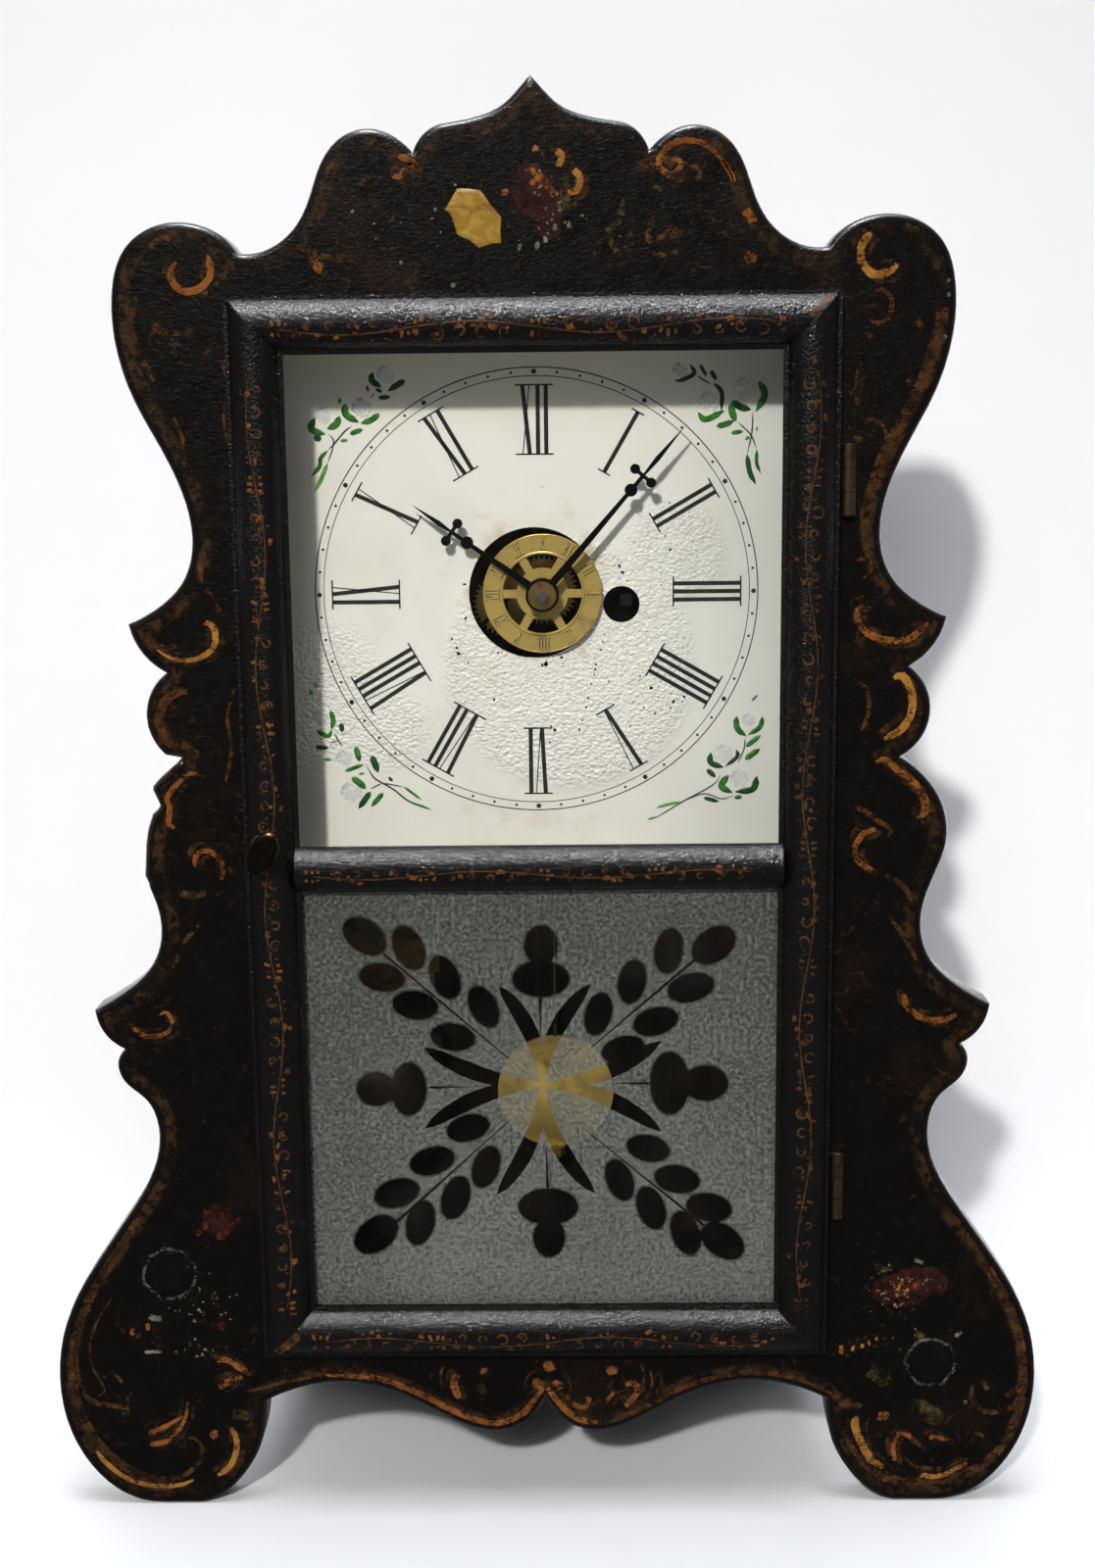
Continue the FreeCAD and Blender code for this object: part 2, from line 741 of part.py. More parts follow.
def case_boards():
    behind = "front_y + board_thickness"
    inner_left = "-inner_width / 2"
    return [
        block("case_side_left", "-case_width / 2", behind, "case_underside",
              "side_thickness", "inner_depth", "wall_height"),
        block("case_side_right", "inner_width / 2", behind, "case_underside",
              "side_thickness", "inner_depth", "wall_height"),
        block("case_top", inner_left, behind, "case_crown - crown_thickness",
              "inner_width", "inner_depth", "crown_thickness"),
        block("case_bottom", inner_left, behind, "case_underside",
              "inner_width", "inner_depth", "floor_thickness"),
        block("case_back", "-case_width / 2", "front_y + back_inner_deep", "0",
              "case_width", "back_thickness", "case_crown"),
    ]


NAILS_PER_SIDE = 4


def case_nails():
    """Nails that hold the backboard to the sides."""
    nails = []
    for side in ("-", ""):
        for number in range(NAILS_PER_SIDE):
            x = side + "(case_width - side_thickness) / 2"
            step = f"{number} / {NAILS_PER_SIDE - 1}"
            z = f"case_underside + nail_margin + {step} * (wall_height - 2 * nail_margin)"
            shank = bar("nail_shank", x, "front_y + case_depth - nail_length", z,
                        "nail_radius", "nail_length")
            head = bar("nail_head", x, "front_y + case_depth - nail_head_thickness", z,
                       "nail_head_radius", "nail_head_thickness")
            nails.append(fused("nail", [shank, head]))
    return group("case_nails", nails)


# Dial


def dial_cleats():
    """Upright strips on the case sides that the dial is screwed to."""
    behind = "front_y + dial_deep + dial_thickness"
    return group("dial_cleats", [
        block("dial_cleat", x, behind, "dial_bottom", "cleat_width", "cleat_depth", "dial_length")
        for x in ("-inner_width / 2", "inner_width / 2 - cleat_width")
    ])


def dial_corners():
    across = "(dial_width / 2 - dial_screw_margin)"
    along = "(dial_length / 2 - dial_screw_margin)"
    return [(side + across, f"dial_height {end} {along}") for side in ("-", "") for end in ("-", "+")]


def dial_plate():
    body = new_body("dial_plate", y="front_y + dial_deep")
    sheet_metal = sketch_on(body, "XZ_Plane", "dial_square")
    rectangle(sheet_metal, "-dial_width / 2", "dial_bottom", "dial_width", "dial_length")
    pad(body, sheet_metal, "dial_thickness")
    holes = sketch_on(body, "XZ_Plane", "dial_holes")
    circle(holes, "dial_hole_x", "dial_height", "dial_hole")
    circle(holes, "winding_hole_x", "dial_height - winding_hole_drop", "winding_hole")
    for x, z in dial_corners():
        circle(holes, x, z, "2 * dial_screw_radius")
    pocket(body, holes)
    return body


def dial_screws():
    screws = []
    for x, z in dial_corners():
        head = bar("dial_screw_cap", x, "front_y + dial_deep - dial_screw_top", z,
                   "dial_screw_head", "dial_screw_top")
        shank = bar("dial_screw_shank", x, "front_y + dial_deep", z,
                    "dial_screw_radius", "dial_screw_length")
        screws.append(fused("dial_screw", [head, shank]))
    return group("dial_screws", screws)


# Hinges


def hinge_half(own, other, leaf_start, bore):
    """Half of a butt hinge about its pin: its own knuckles, and a leaf relieved round the other half's."""
    length = size("hinge_length")
    gap = size("knuckle_gap")
    step = length / 3

    def knuckle(number, room):
        start = Vector(0, 0, number * step - length / 2 + gap / 2 - room)
        return Part.makeCylinder(size("knuckle_radius") + room, step - gap + 2 * room, start)

    half = Part.makeBox(size("leaf_reach"), size("leaf_thickness"), length,
                        Vector(-size("leaf_reach"), leaf_start, -length / 2))
    for number in other:
        half = half.cut(knuckle(number, gap))
    half = half.fuse([knuckle(number, 0) for number in own])
    return half.cut(Part.makeCylinder(bore, length, Vector(0, 0, -length / 2)))


def both_hinges(label, shape):
    """A shape at the upper hinge and again at the lower one."""
    pair = Part.makeCompound([shape.translated(Vector(0, 0, size(hinge))) for hinge in HINGES])
    return shaped(label, pair, size("hinge_x"), size("hinge_y"))


def hinges():
    pin = size("hinge_pin_radius")
    length = size("hinge_length")
    proud = size("hinge_proud")
    door_leaf = proud - size("door_gap") - size("leaf_thickness")
    return [
        both_hinges("hinge_board_leaves", hinge_half((0, 2), (1,), proud, pin)),
        both_hinges("hinge_pins", Part.makeCylinder(pin, length, Vector(0, 0, -length / 2))),
        both_hinges("hinge_door_leaves", hinge_half((1,), (0, 2), door_leaf, pin + size("running_fit"))),
    ]


# Door


def moulding_profile():
    """Section of the door moulding as (depth, distance from its outer edge).

    It is a fillet, a half round, a slope to the glass and the rebate behind it.
    """
    fillet = size("fillet_width")
    crown = fillet + size("round_width")
    width = size("moulding_width")
    low = -size("fillet_height")
    rebate = width - size("rebate_width")
    return [
        [(0, 0), (low, 0)],
        [(low, 0), (low, fillet)],
        [(low, fillet), (-size("door_thickness"), (fillet + crown) / 2), (low, crown)],
        [(low, crown), (-size("lip_height"), width)],
        [(-size("lip_height"), width), (-size("rebate_depth"), width)],
        [(-size("rebate_depth"), width), (-size("rebate_depth"), rebate)],
        [(-size("rebate_depth"), rebate), (0, rebate)],
        [(0, rebate), (0, 0)],
    ]


MITRE_ROOM = 1.0


def moulding(label, length, x, z, turn):
    """One side of the door frame, mitred at both ends.

    Its own X runs along it and its own Z points to the glass.
    """
    body = new_body(label, x, "door_back", z, turn)
    profile = sketch_on(body, "YZ_Plane", label + "_profile")
    draw(profile, moulding_profile())
    pad(body, profile, length, backwards=False)
    long = size(length)
    reach = size("moulding_width") + MITRE_ROOM
    mitres = sketch_on(body, "XZ_Plane", label + "_mitres")
    draw(mitres, closed_line([(0, 0), (reach, reach), (0, reach)]))
    draw(mitres, closed_line([(long, 0), (long, reach), (long - reach, reach)]))
    pocket(body, mitres, flip=True)
    return body


def door_frame():
    half = "door_width / 2"
    left = moulding("door_stile_left", "door_height", "-" + half, "door_top", 90)
    bore = sketch_on(left, "XZ_Plane", "latch_bore")
    circle(bore, "door_top - latch_height", "latch_inset", "2 * (latch_spindle_radius + running_fit)")
    pocket(left, bore, flip=True)
    right = moulding("door_stile_right", "door_height", half, "door_bottom", -90)
    mortises = sketch_on(right, "XZ_Plane", "leaf_mortises")
    for hinge in HINGES:
        rectangle(mortises, hinge + " - hinge_length / 2 - mortise_fit - door_bottom", "-mortise_fit",
                  "hinge_length + 2 * mortise_fit", "leaf_reach - hinge_reach + 2 * mortise_fit")
    pocket(right, mortises, "leaf_thickness", flip=True)
    top = moulding("door_rail_top", "door_width", half, "door_top", 180)
    bottom = moulding("door_rail_bottom", "door_width", "-" + half, "door_bottom", 0)
    return [left, right, top, bottom]


def door_rail_middle():
    """The rail between the two lights: a half round, rebated above and below, with a tongue at each end."""
    body = new_body("door_rail_middle", "-light_width / 2", "door_back", "rail_centre")
    half = size("rail_width") / 2
    crown = half - (size("moulding_width") - size("fillet_width") - size("round_width"))
    web = size("rail_web") / 2
    low = -size("fillet_height")
    lip = -size("lip_height")
    rebate = -size("rebate_depth")
    profile = sketch_on(body, "YZ_Plane", "rail_profile")
    draw(profile, [[(low, -crown), (-size("door_thickness"), 0), (low, crown)]])
    edge = [(low, crown), (lip, half), (rebate, half), (rebate, web), (0, web),
            (0, -web), (rebate, -web), (rebate, -half), (lip, -half), (low, -crown)]
    draw(profile, [[start, end] for start, end in zip(edge, edge[1:])])
    pad(body, profile, "light_width", backwards=False)
    tongue = sketch_on(body, "XZ_Plane", "rail_tongue")
    rectangle(tongue, "-rebate_width", "-rail_web / 2", "light_width + 2 * rebate_width", "rail_web")
    pad(body, tongue, "rebate_depth", backwards=False)
    return body


def door_panes():
    front = "door_back - rebate_depth"
    behind = "door_back - rebate_depth + glass_thickness"
    beads = []
    for pane in ("upper_pane", "lower_pane"):
        bottom = pane + "_bottom"
        height = pane + "_height"
        outer = block("bead_outer", "-pane_width / 2", behind, bottom,
                      "pane_width", "bead_thickness", height)
        inner = block("bead_inner", "bead_width - pane_width / 2", behind, bottom + " + bead_width",
                      "pane_width - 2 * bead_width", "bead_thickness", height + " - 2 * bead_width")
        beads.append(cut("glazing_bead", outer, inner))
    return [
        block("door_glass", "-pane_width / 2", front, "upper_pane_bottom",
              "pane_width", "glass_thickness", "upper_pane_height"),
        block("door_tablet", "-pane_width / 2", front, "lower_pane_bottom",
              "pane_width", "glass_thickness", "lower_pane_height"),
        group("glazing_beads", beads),
    ]


# The rosette's dome: how far out its shoulder and its flat crown reach, and how high the shoulder is.
ROSETTE_SHOULDER = 0.8
ROSETTE_CROWN = 0.45
SHOULDER_HEIGHT = 0.75


def latch():
    """Rosette, thumb turn on its spindle, and the hook behind the board. The hook hangs clear at rest."""
    spindle = size("latch_spindle_radius")
    bore = spindle + size("running_fit")
    radius = size("rosette_radius")
    thick = size("rosette_thickness")
    sunk = size("rosette_sink")
    shoulder = ROSETTE_SHOULDER * radius
    crown = ROSETTE_CROWN * radius
    rosette = turned("latch_rosette", [
        [(bore, 0), (radius, 0)],
        [(radius, 0), (radius, -sunk)],
        [(radius, -sunk), (shoulder, -SHOULDER_HEIGHT * thick), (crown, -thick)],
        [(crown, -thick), (bore, -thick)],
        [(bore, -thick), (bore, 0)],
    ], "latch_x", "door_back - door_thickness + rosette_sink", "latch_height")
    lever_start = size("latch_reach") - size("door_gap")
    thickness = size("knob_thickness")
    oval = Part.Ellipse(Vector(0, 0, 0), size("knob_length") / 2, size("knob_width") / 2)
    lever = Part.Face(Part.Wire(oval.toShape())).extrude(Vector(0, 0, thickness))
    lever = lever.makeFillet(thickness / 3, [edge for edge in lever.Edges if edge.isClosed()])
    lever.rotate(Vector(0, 0, 0), Vector(1, 0, 0), -90)
    lever.rotate(Vector(0, 0, 0), Vector(0, 1, 0), size("knob_tilt") - 90)
    lever.translate(Vector(0, -lever_start, 0))
    hook_start = size("door_gap") + size("board_thickness") + size("hook_clear")
    hook_thick = size("hook_thickness")
    reach = lever_start - thickness / 2 + hook_start + hook_thick
    knob = lever.fuse(disc(spindle, thickness / 2 - lever_start, reach))
    length = size("hook_length")
    hook = slab(size("hook_width"), hook_start, hook_thick, length, 0, -length / 2)
    hook = hook.fuse(disc(size("hook_boss"), hook_start, hook_thick))
    hook = hook.cut(disc(spindle, hook_start, hook_thick))
    at = (size("latch_x"), size("door_back"), size("latch_height"))
    return [rosette, shaped("latch_knob", knob, *at), shaped("latch_hook", hook, *at)]


# Movement frame

PILLARS = [(x, z) for x in ("pillar_left", "pillar_right") for z in ("pillar_low", "pillar_high")]
POSTS = [(x, z) for x in ("post_left", "post_right") for z in ("post_low", "post_high")]


def movement_plate(label, deep, margin, centre_radius, verge_radius):
    """A brass plate with a window and the holes that the arbors turn in."""
    body = new_body(label, y=f"front_y + {deep}")
    outline = sketch_on(body, "XZ_Plane", label + "_outline")
    rectangle(outline, f"movement_x - plate_left - {margin}", f"dial_height - plate_below - {margin}",
              f"plate_left + plate_right + 2 * {margin}", f"plate_below + plate_above + 2 * {margin}")
    pad(body, outline, "plate_thickness")
    holes = sketch_on(body, "XZ_Plane", label + "_holes")
    pivots = (("centre", centre_radius), ("winding", "winding_pivot_radius"), ("third", "pivot_radius"),
              ("escape", "pivot_radius"), ("verge", verge_radius))
    for arbor, radius in pivots:
        circle(holes, arbor + "_px", arbor + "_pz", f"2 * ({radius} + running_fit)")
    for x, z in PILLARS:
        circle(holes, x, z, "2 * tenon_radius")
    rectangle(holes, "pillar_left + 2 * pillar_radius", "pillar_low",
              "plate_window_width", "plate_window_height")
    return body, holes


def movement_front_plate():
    """The front plate with its two riveted studs, for the minute wheel and for the let-off wire."""
    body, holes = movement_plate("movement_front_plate", "plate_deep", "0",
                                 "centre_arbor_radius", "pivot_radius")
    pocket(body, holes)
    stud = sketch_on(body, "XZ_Plane", "minute_wheel_stud")
    circle(stud, "motion_px", "motion_pz", "2 * stud_radius")
    pad(body, stud, "plate_deep - hour_wheel_deep + stud_end", backwards=False)
    pin = sketch_on(body, "XZ_Plane", "let_off_stud")
    circle(pin, "let_off_px", "let_off_pz", "2 * let_off_stud_radius")
    pad(body, pin, "plate_deep - let_off_deep + let_off_hub / 2", backwards=False)
    return body


def movement_back_plate():
    body, holes = movement_plate("movement_back_plate", "back_plate_deep", "back_plate_margin",
                                 "centre_pivot_radius", "verge_room")
    for x, z in POSTS:
        circle(holes, x, z, "2 * post_screw_radius")
    pocket(body, holes)
    return body


def repeated(label, shape, places):
    copies = [shape.translated(Vector(size(x), 0, size(z))) for x, z in places]
    return shaped(label, Part.makeCompound(copies), 0, size("front_y"))


def movement_pillars():
    front = size("plate_deep")
    thick = size("plate_thickness")
    gap = size("plate_gap")
    nut = size("nut_thickness")
    tenon = size("tenon_radius")
    pillar = disc(size("pillar_radius"), front + thick, gap)
    pillar = pillar.fuse([disc(tenon, front - nut, nut + thick), disc(tenon, front + thick + gap, thick)])
    hexagon = [around(size("nut_radius"), 60 * corner) for corner in range(6)]
    pillar_nut = outline_solid(hexagon, front - nut, nut).cut(disc(tenon, front - nut, nut))
    return [repeated("movement_pillars", pillar, PILLARS), repeated("pillar_nuts", pillar_nut, PILLARS)]


def movement_posts():
    """Wooden posts that stand the movement off the backboard, and the screws through them."""
    back = size("back_plate_deep")
    start = back + size("plate_thickness")
    length = size("back_inner_deep") - start
    screw = size("post_screw_radius")
    head = size("post_screw_top")
    post = disc(size("post_radius"), start, length).cut(disc(screw, start, length))
    fixing = disc(size("post_screw_head"), back - head, head)
    fixing = fixing.fuse(disc(screw, back, start - back + length + size("post_screw_bite")))
    return [repeated("movement_posts", post, POSTS), repeated("movement_screws", fixing, POSTS)]


# Time train


def on_arbor(label, shape, arbor):
    """Places a piece that is made about an arbor's own axis."""
    return shaped(label, shape, size(arbor + "_px"), size("front_y"), size(arbor + "_pz"))


def bearing(start, end):
    """The direction from one arbor to another, in degrees anticlockwise from +X."""
    across = size(end + "_px") - size(start + "_px")
    up = size(end + "_pz") - size(start + "_pz")
    return math.degrees(math.atan2(up, across))


def facing_gap(start, end, leaves):
    """How far a pinion is turned so that a gap of it faces the wheel that drives it."""
    return bearing(start, end) + 180 + 180 / leaves


def winding_arbor():
    pivot = size("winding_pivot_radius")
    front = size("plate_deep")
    inside = front + size("plate_thickness") + size("end_shake")
    back = size("back_plate_deep")
    square = size("winding_square")
    ahead = size("winding_square_deep")
    shaft = disc(size("winding_arbor_radius"), inside, back - size("end_shake") - inside)
    key_end = slab(square, ahead, front - ahead, square)
    key_end = key_end.common(disc(pivot + square / 6, ahead, front - ahead))
    shaft = shaft.fuse([disc(pivot, front, back + size("plate_thickness") - front), key_end])
    return on_arbor("winding_arbor", shaft, "winding")


def ratchet_plane():
    """Where the ratchet wheel and the click start, in front of the great wheel."""
    return size("great_wheel_deep") - size("ratchet_gap") - size("ratchet_thickness")


# Share of the pitch that the sloping back of a ratchet tooth takes.
RATCHET_BACK = 0.7


def ratchet_wheel():
    start = ratchet_plane()
    thick = size("ratchet_thickness")
    tip = size("ratchet_radius")
    root = tip - size("ratchet_tooth")
    pitch = 2 * math.pi * root / size("ratchet_teeth")
    tooth = [(root, 0), (tip, 0), (root, RATCHET_BACK * pitch)]
    wheel = toothed(size("ratchet_teeth"), tooth, start, thick)
    return on_arbor("ratchet_wheel", wheel.cut(disc(size("winding_arbor_radius"), start, thick)), "winding")


def great_wheel():
    """The great wheel, loose on the winding arbor, with the rivet that the click turns on."""
    radius = size("great_module") * size("great_teeth") / 2
    start = size("great_wheel_deep")
    bore = size("winding_arbor_radius") + size("running_fit")
    wheel = train_wheel(size("great_teeth"), radius, bore, start,
                        size("great_thickness"), bearing("winding", "centre"), arms=0)
    ahead = ratchet_plane()
    rivet_x, rivet_z = around(size("click_reach"), size("click_bearing"))
    rivet = disc(size("rivet_radius"), ahead, start - ahead, rivet_x, rivet_z)
    return on_arbor("great_wheel", wheel.fuse(rivet), "winding")


def click():
    """The click, riding the tips of the ratchet."""
    start = ratchet_plane()
    thick = size("ratchet_thickness")
    x, z = around(size("click_reach"), size("click_bearing"))
    nose_x, nose_z = around(size("ratchet_radius") + size("click_clear"), size("click_nose_bearing"))
    finger = size("click_finger")
    outline = [(nose_x, nose_z), (x, z), (x, z + finger), (nose_x, nose_z + finger / 2)]
    lever = outline_solid(outline, start, thick)
    lever = lever.fuse(disc(size("click_boss"), start, thick, x, z))
    bore = disc(size("rivet_radius") + size("running_fit"), start, thick, x, z)
    return on_arbor("click", lever.cut(bore), "winding")


def click_spring():
    """A brass wire on a post of the great wheel, reaching over the click."""
    start = ratchet_plane() + size("ratchet_thickness") / 2
    wire = size("click_spring_wire")
    x, z = around(size("click_reach"), size("click_bearing"))
    rise = z + size("click_boss") + size("click_spring_gap") + wire
    post = size("click_spring_post")
    foot = Vector(x + size("click_boss"), start, rise)
    end = Vector(0, start, rise)
    post_length = size("great_wheel_deep") - start + wire
    spring = disc(post, start - wire, post_length, foot.x, foot.z).fuse(wire_rod(foot, end, wire))
    return on_arbor("click_spring", spring, "winding")


def mainspring():
    ribbon = flat_spiral(size("spring_inner"), size("spring_outer"), size("spring_turns"),
                         size("spring_leaf"), size("spring_width"), size("spring_deep"))
    return on_arbor("mainspring", ribbon, "winding")


def centre_arbor():
    """The arbor of the hands: a square front end, and the pinion that the great wheel drives."""
    radius = size("centre_arbor_radius")
    ahead = size("centre_arbor_deep")
    shoulder = size("cannon_deep") - size("washer_thickness")
    back = size("back_plate_deep")
    square = slab(size("centre_square"), ahead, shoulder - ahead, size("centre_square"))
    square.rotate(Vector(0, 0, 0), Vector(0, 1, 0), size("minute_angle"))
    shaft = disc(radius, shoulder, back - size("end_shake") - shoulder)
    shaft = shaft.fuse([square, disc(size("centre_pivot_radius"), back - size("end_shake"),
                                     size("end_shake") + size("plate_thickness"))])
    module = size("great_module")
    leaves = size("centre_leaves")
    room = size("pinion_room")
    start = size("great_wheel_deep") - room
    length = size("great_thickness") + 2 * room
    turn = facing_gap("winding", "centre", leaves)
    pinion = lantern_pinion(leaves, module * leaves / 2, math.pi * module, start, length, radius, turn)
    return on_arbor("centre_arbor", shaft.fuse(pinion), "centre")


def centre_wheel():
    radius = size("centre_module") * size("centre_teeth") / 2
    wheel = train_wheel(size("centre_teeth"), radius, size("centre_arbor_radius"),
                        size("centre_wheel_deep"), size("wheel_thickness"), bearing("centre", "third"))
    return on_arbor("centre_wheel", wheel, "centre")


def pinion_arbor(leaves, module, driver_deep, turn):
    """An arbor between the plates whose lantern pinion meets a wheel at driver_deep."""
    front = size("plate_deep")
    back = size("back_plate_deep") + size("plate_thickness")
    inside = front + size("plate_thickness") + size("end_shake")
    room = size("pinion_room")
    start = driver_deep - room
    length = size("wheel_thickness") + 2 * room
    end = size("back_plate_deep") - size("end_shake")
    core = size("pivot_radius")
    pinion = lantern_pinion(leaves, module * leaves / 2, math.pi * module, start, length, core, turn)
    behind = disc(size("arbor_radius"), start + length, end - start - length)
    shaft = [disc(core, front, back - front), behind]
    if start > inside:
        shaft.append(disc(size("arbor_radius"), inside, start - inside))
    return pinion.fuse(shaft)


def third_wheel():
    arbor = pinion_arbor(size("third_leaves"), size("centre_module"), size("centre_wheel_deep"),
                         facing_gap("centre", "third", size("third_leaves")))
    radius = size("third_module") * size("third_teeth") / 2
    wheel = train_wheel(size("third_teeth"), radius, size("pivot_radius"), size("third_wheel_deep"),
                        size("wheel_thickness"), bearing("third", "escape"))
    return on_arbor("third_wheel", arbor.fuse(wheel), "third")


# An escape tooth leans forward: how far round the pitch its tip and its back foot are.
ESCAPE_TIP = 0.4
ESCAPE_FOOT = 0.55
ESCAPE_HUB = 0.75
ESCAPE_ARMS = 4


def escape_wheel():
    arbor = pinion_arbor(size("escape_leaves"), size("third_module"), size("third_wheel_deep"),
                         facing_gap("third", "escape", size("escape_leaves")))
    tip = size("escape_radius")
    root = tip - size("escape_tooth")
    pitch = 2 * math.pi * root / size("escape_teeth")
    start = size("escape_wheel_deep")
    thick = size("wheel_thickness")
    tooth = [(root, 0), (tip, ESCAPE_TIP * pitch), (root, ESCAPE_FOOT * pitch)]
    wheel = toothed(size("escape_teeth"), tooth, start, thick)
    hub = ESCAPE_HUB * size("wheel_hub")
    wheel = crossed_out(wheel, root - size("wheel_rim") / 2, hub, start, thick, ESCAPE_ARMS)
    return on_arbor("escape_wheel", arbor.fuse(wheel), "escape")


# Motion work and hands


# A straight-sided tooth: its depth, height and half thickness as shares of the pitch,
# and its foot and tip as shares of the half thickness.
PLAIN_DEPTH = 0.4
PLAIN_HEIGHT = 0.26
PLAIN_HALF = 0.2
PLAIN_FOOT = 1.1
PLAIN_TIP = 0.45


def plain_tooth(pitch_radius, teeth):
    """A tooth with straight sides and room on both sides of it."""
    pitch = 2 * math.pi * pitch_radius / teeth
    root = pitch_radius - PLAIN_DEPTH * pitch
    tip = pitch_radius + PLAIN_HEIGHT * pitch
    half = PLAIN_HALF * pitch
    rising = [(root, -PLAIN_FOOT * half), (pitch_radius, -half), (tip, -PLAIN_TIP * half)]
    return rising + [(radius, -side) for radius, side in reversed(rising)]


def plain_gear(teeth, pitch_radius, start, length, turn):
    return toothed(teeth, plain_tooth(pitch_radius, teeth), start, length, turn)


def first_module():
    return 2 * size("motion_distance") / (size("cannon_leaves") + size("minute_wheel_teeth"))


def second_module():
    return 2 * size("motion_distance") / (size("minute_pinion_leaves") + size("hour_teeth"))


def cannon_pinion():
    """The pipe on the centre arbor that carries the minute hand, with the pinion of the motion work."""
    leaves = size("cannon_leaves")
    ahead = size("cannon_deep")
    end = size("plate_deep") - size("end_shake")
    length = size("cannon_pinion_length")
    radius = first_module() * leaves / 2
    pinion = plain_gear(leaves, radius, end - length, length, bearing("centre", "motion"))
    pipe = disc(size("cannon_radius"), ahead, end - ahead).fuse(pinion)
    bore = disc(size("centre_arbor_radius"), ahead, end - ahead)
    return on_arbor("cannon_pinion", pipe.cut(bore), "centre")


def minute_wheel():
    teeth = size("minute_wheel_teeth")
    leaves = size("minute_pinion_leaves")
    start = size("minute_wheel_deep")
    length = size("minute_pinion_length")
    thick = size("wheel_thickness")
    wheel_radius = first_module() * teeth / 2
    wheel = plain_gear(teeth, wheel_radius, start, thick, facing_gap("centre", "motion", teeth))
    pinion_radius = second_module() * leaves / 2
    pinion = plain_gear(leaves, pinion_radius, start - length, length, bearing("motion", "centre"))
    bore = disc(size("stud_radius") + size("running_fit"), start - length, length + thick)
    return on_arbor("minute_wheel", wheel.fuse(pinion).cut(bore), "motion")


def hour_wheel():
    """The hour wheel on its pipe, which turns on the cannon pinion."""
    teeth = size("hour_teeth")
    start = size("hour_wheel_deep")
    thick = size("wheel_thickness")
    ahead = size("hour_hand_deep") - size("pipe_end")
    end = start + thick
    radius = second_module() * teeth / 2
    wheel = plain_gear(teeth, radius, start, thick, facing_gap("motion", "centre", teeth))
    pipe = wheel.fuse(disc(size("hour_pipe_radius"), ahead, end - ahead))
    bore = disc(size("cannon_radius") + size("running_fit"), ahead, end - ahead)
    return on_arbor("hour_wheel", pipe.cut(bore), "centre")


def hand(label, length, ball, angle, deep, bore):
    """A tapered hand with a ball and two buds before its leaf-shaped tip, made at twelve and then turned."""
    thick = size("hand_thickness")
    broad = size("hand_bar") / 2
    neck = size("hand_neck") / 2
    leaf = size("hand_leaf") / 2
    spread = size("bud_spread")
    buds = ball + size("bud_step")
    belly = buds + (length - buds) / 3
    stem = [(-broad, 0), (-neck, ball), (-neck, buds), (neck, buds), (neck, ball), (broad, 0)]
    foot = buds - neck
    tip = [(-neck / 2, foot), (-leaf, belly), (0, length), (leaf, belly), (neck / 2, foot)]
    pieces = [
        outline_solid(stem, deep, thick),
        outline_solid(tip, deep, thick),
        slab(2 * spread, deep, thick, 2 * neck, 0, buds),
        disc(size("hand_ball"), deep, thick, 0, ball),
        disc(size("bud_radius"), deep, thick, spread, buds),
        disc(size("bud_radius"), deep, thick, -spread, buds),
    ]
    shape = disc(size("hand_hub"), deep, thick).fuse(pieces).cut(disc(bore, deep, thick))
    shape.rotate(Vector(0, 0, 0), Vector(0, 1, 0), angle)
    return on_arbor(label, shape, "centre")


def hands():
    washer = size("washer_thickness")
    start = size("cannon_deep") - washer
    ring = disc(size("washer_radius"), start, washer).cut(disc(size("centre_arbor_radius"), start, washer))
    return [
        hand("minute_hand", size("minute_hand_length"), size("minute_ball"), size("minute_angle"),
             size("minute_hand_deep"), size("cannon_radius")),
        hand("hour_hand", size("hour_hand_length"), size("hour_ball"), size("hour_angle"),
             size("hour_hand_deep"), size("hour_pipe_radius")),
        on_arbor("hand_washer", ring, "centre"),
    ]


ALARM_SPOKES = 6


def alarm_disc():
    """The setting disc, a friction fit on the hour pipe, with the notched cam that frees the alarm."""
    start = size("alarm_disc_deep")
    thick = size("alarm_disc_thickness")
    radius = size("alarm_disc_radius")
    inner = radius - size("alarm_ring_width")
    hub = size("alarm_hub_radius")
    windows = disc(inner, start, thick).cut(disc(size("alarm_centre_radius"), start, thick))
    for number in range(ALARM_SPOKES):
        spoke = slab(inner, start, thick, size("alarm_spoke"), inner / 2)
        spoke.rotate(Vector(0, 0, 0), Vector(0, 1, 0), 360 / ALARM_SPOKES * number)
        windows = windows.cut(spoke)
    cam_end = size("let_off_deep") + size("let_off_hub") / 2
    cam_start = size("let_off_deep") - size("let_off_hub") / 2
    notch = size("alarm_cam_notch")
    cam = disc(size("alarm_cam_radius"), cam_start, cam_end - cam_start)
    cam = cam.cut(slab(notch, cam_start, cam_end - cam_start, notch, size("alarm_cam_radius")))
    shape = disc(radius, start, thick).cut(windows).fuse([disc(hub, start, cam_end - start), cam])
    bore = disc(size("hour_pipe_radius") + size("running_fit"), start, cam_end - start)
    return on_arbor("alarm_disc", shape.cut(bore), "centre")


# Verge, crutch and pendulum


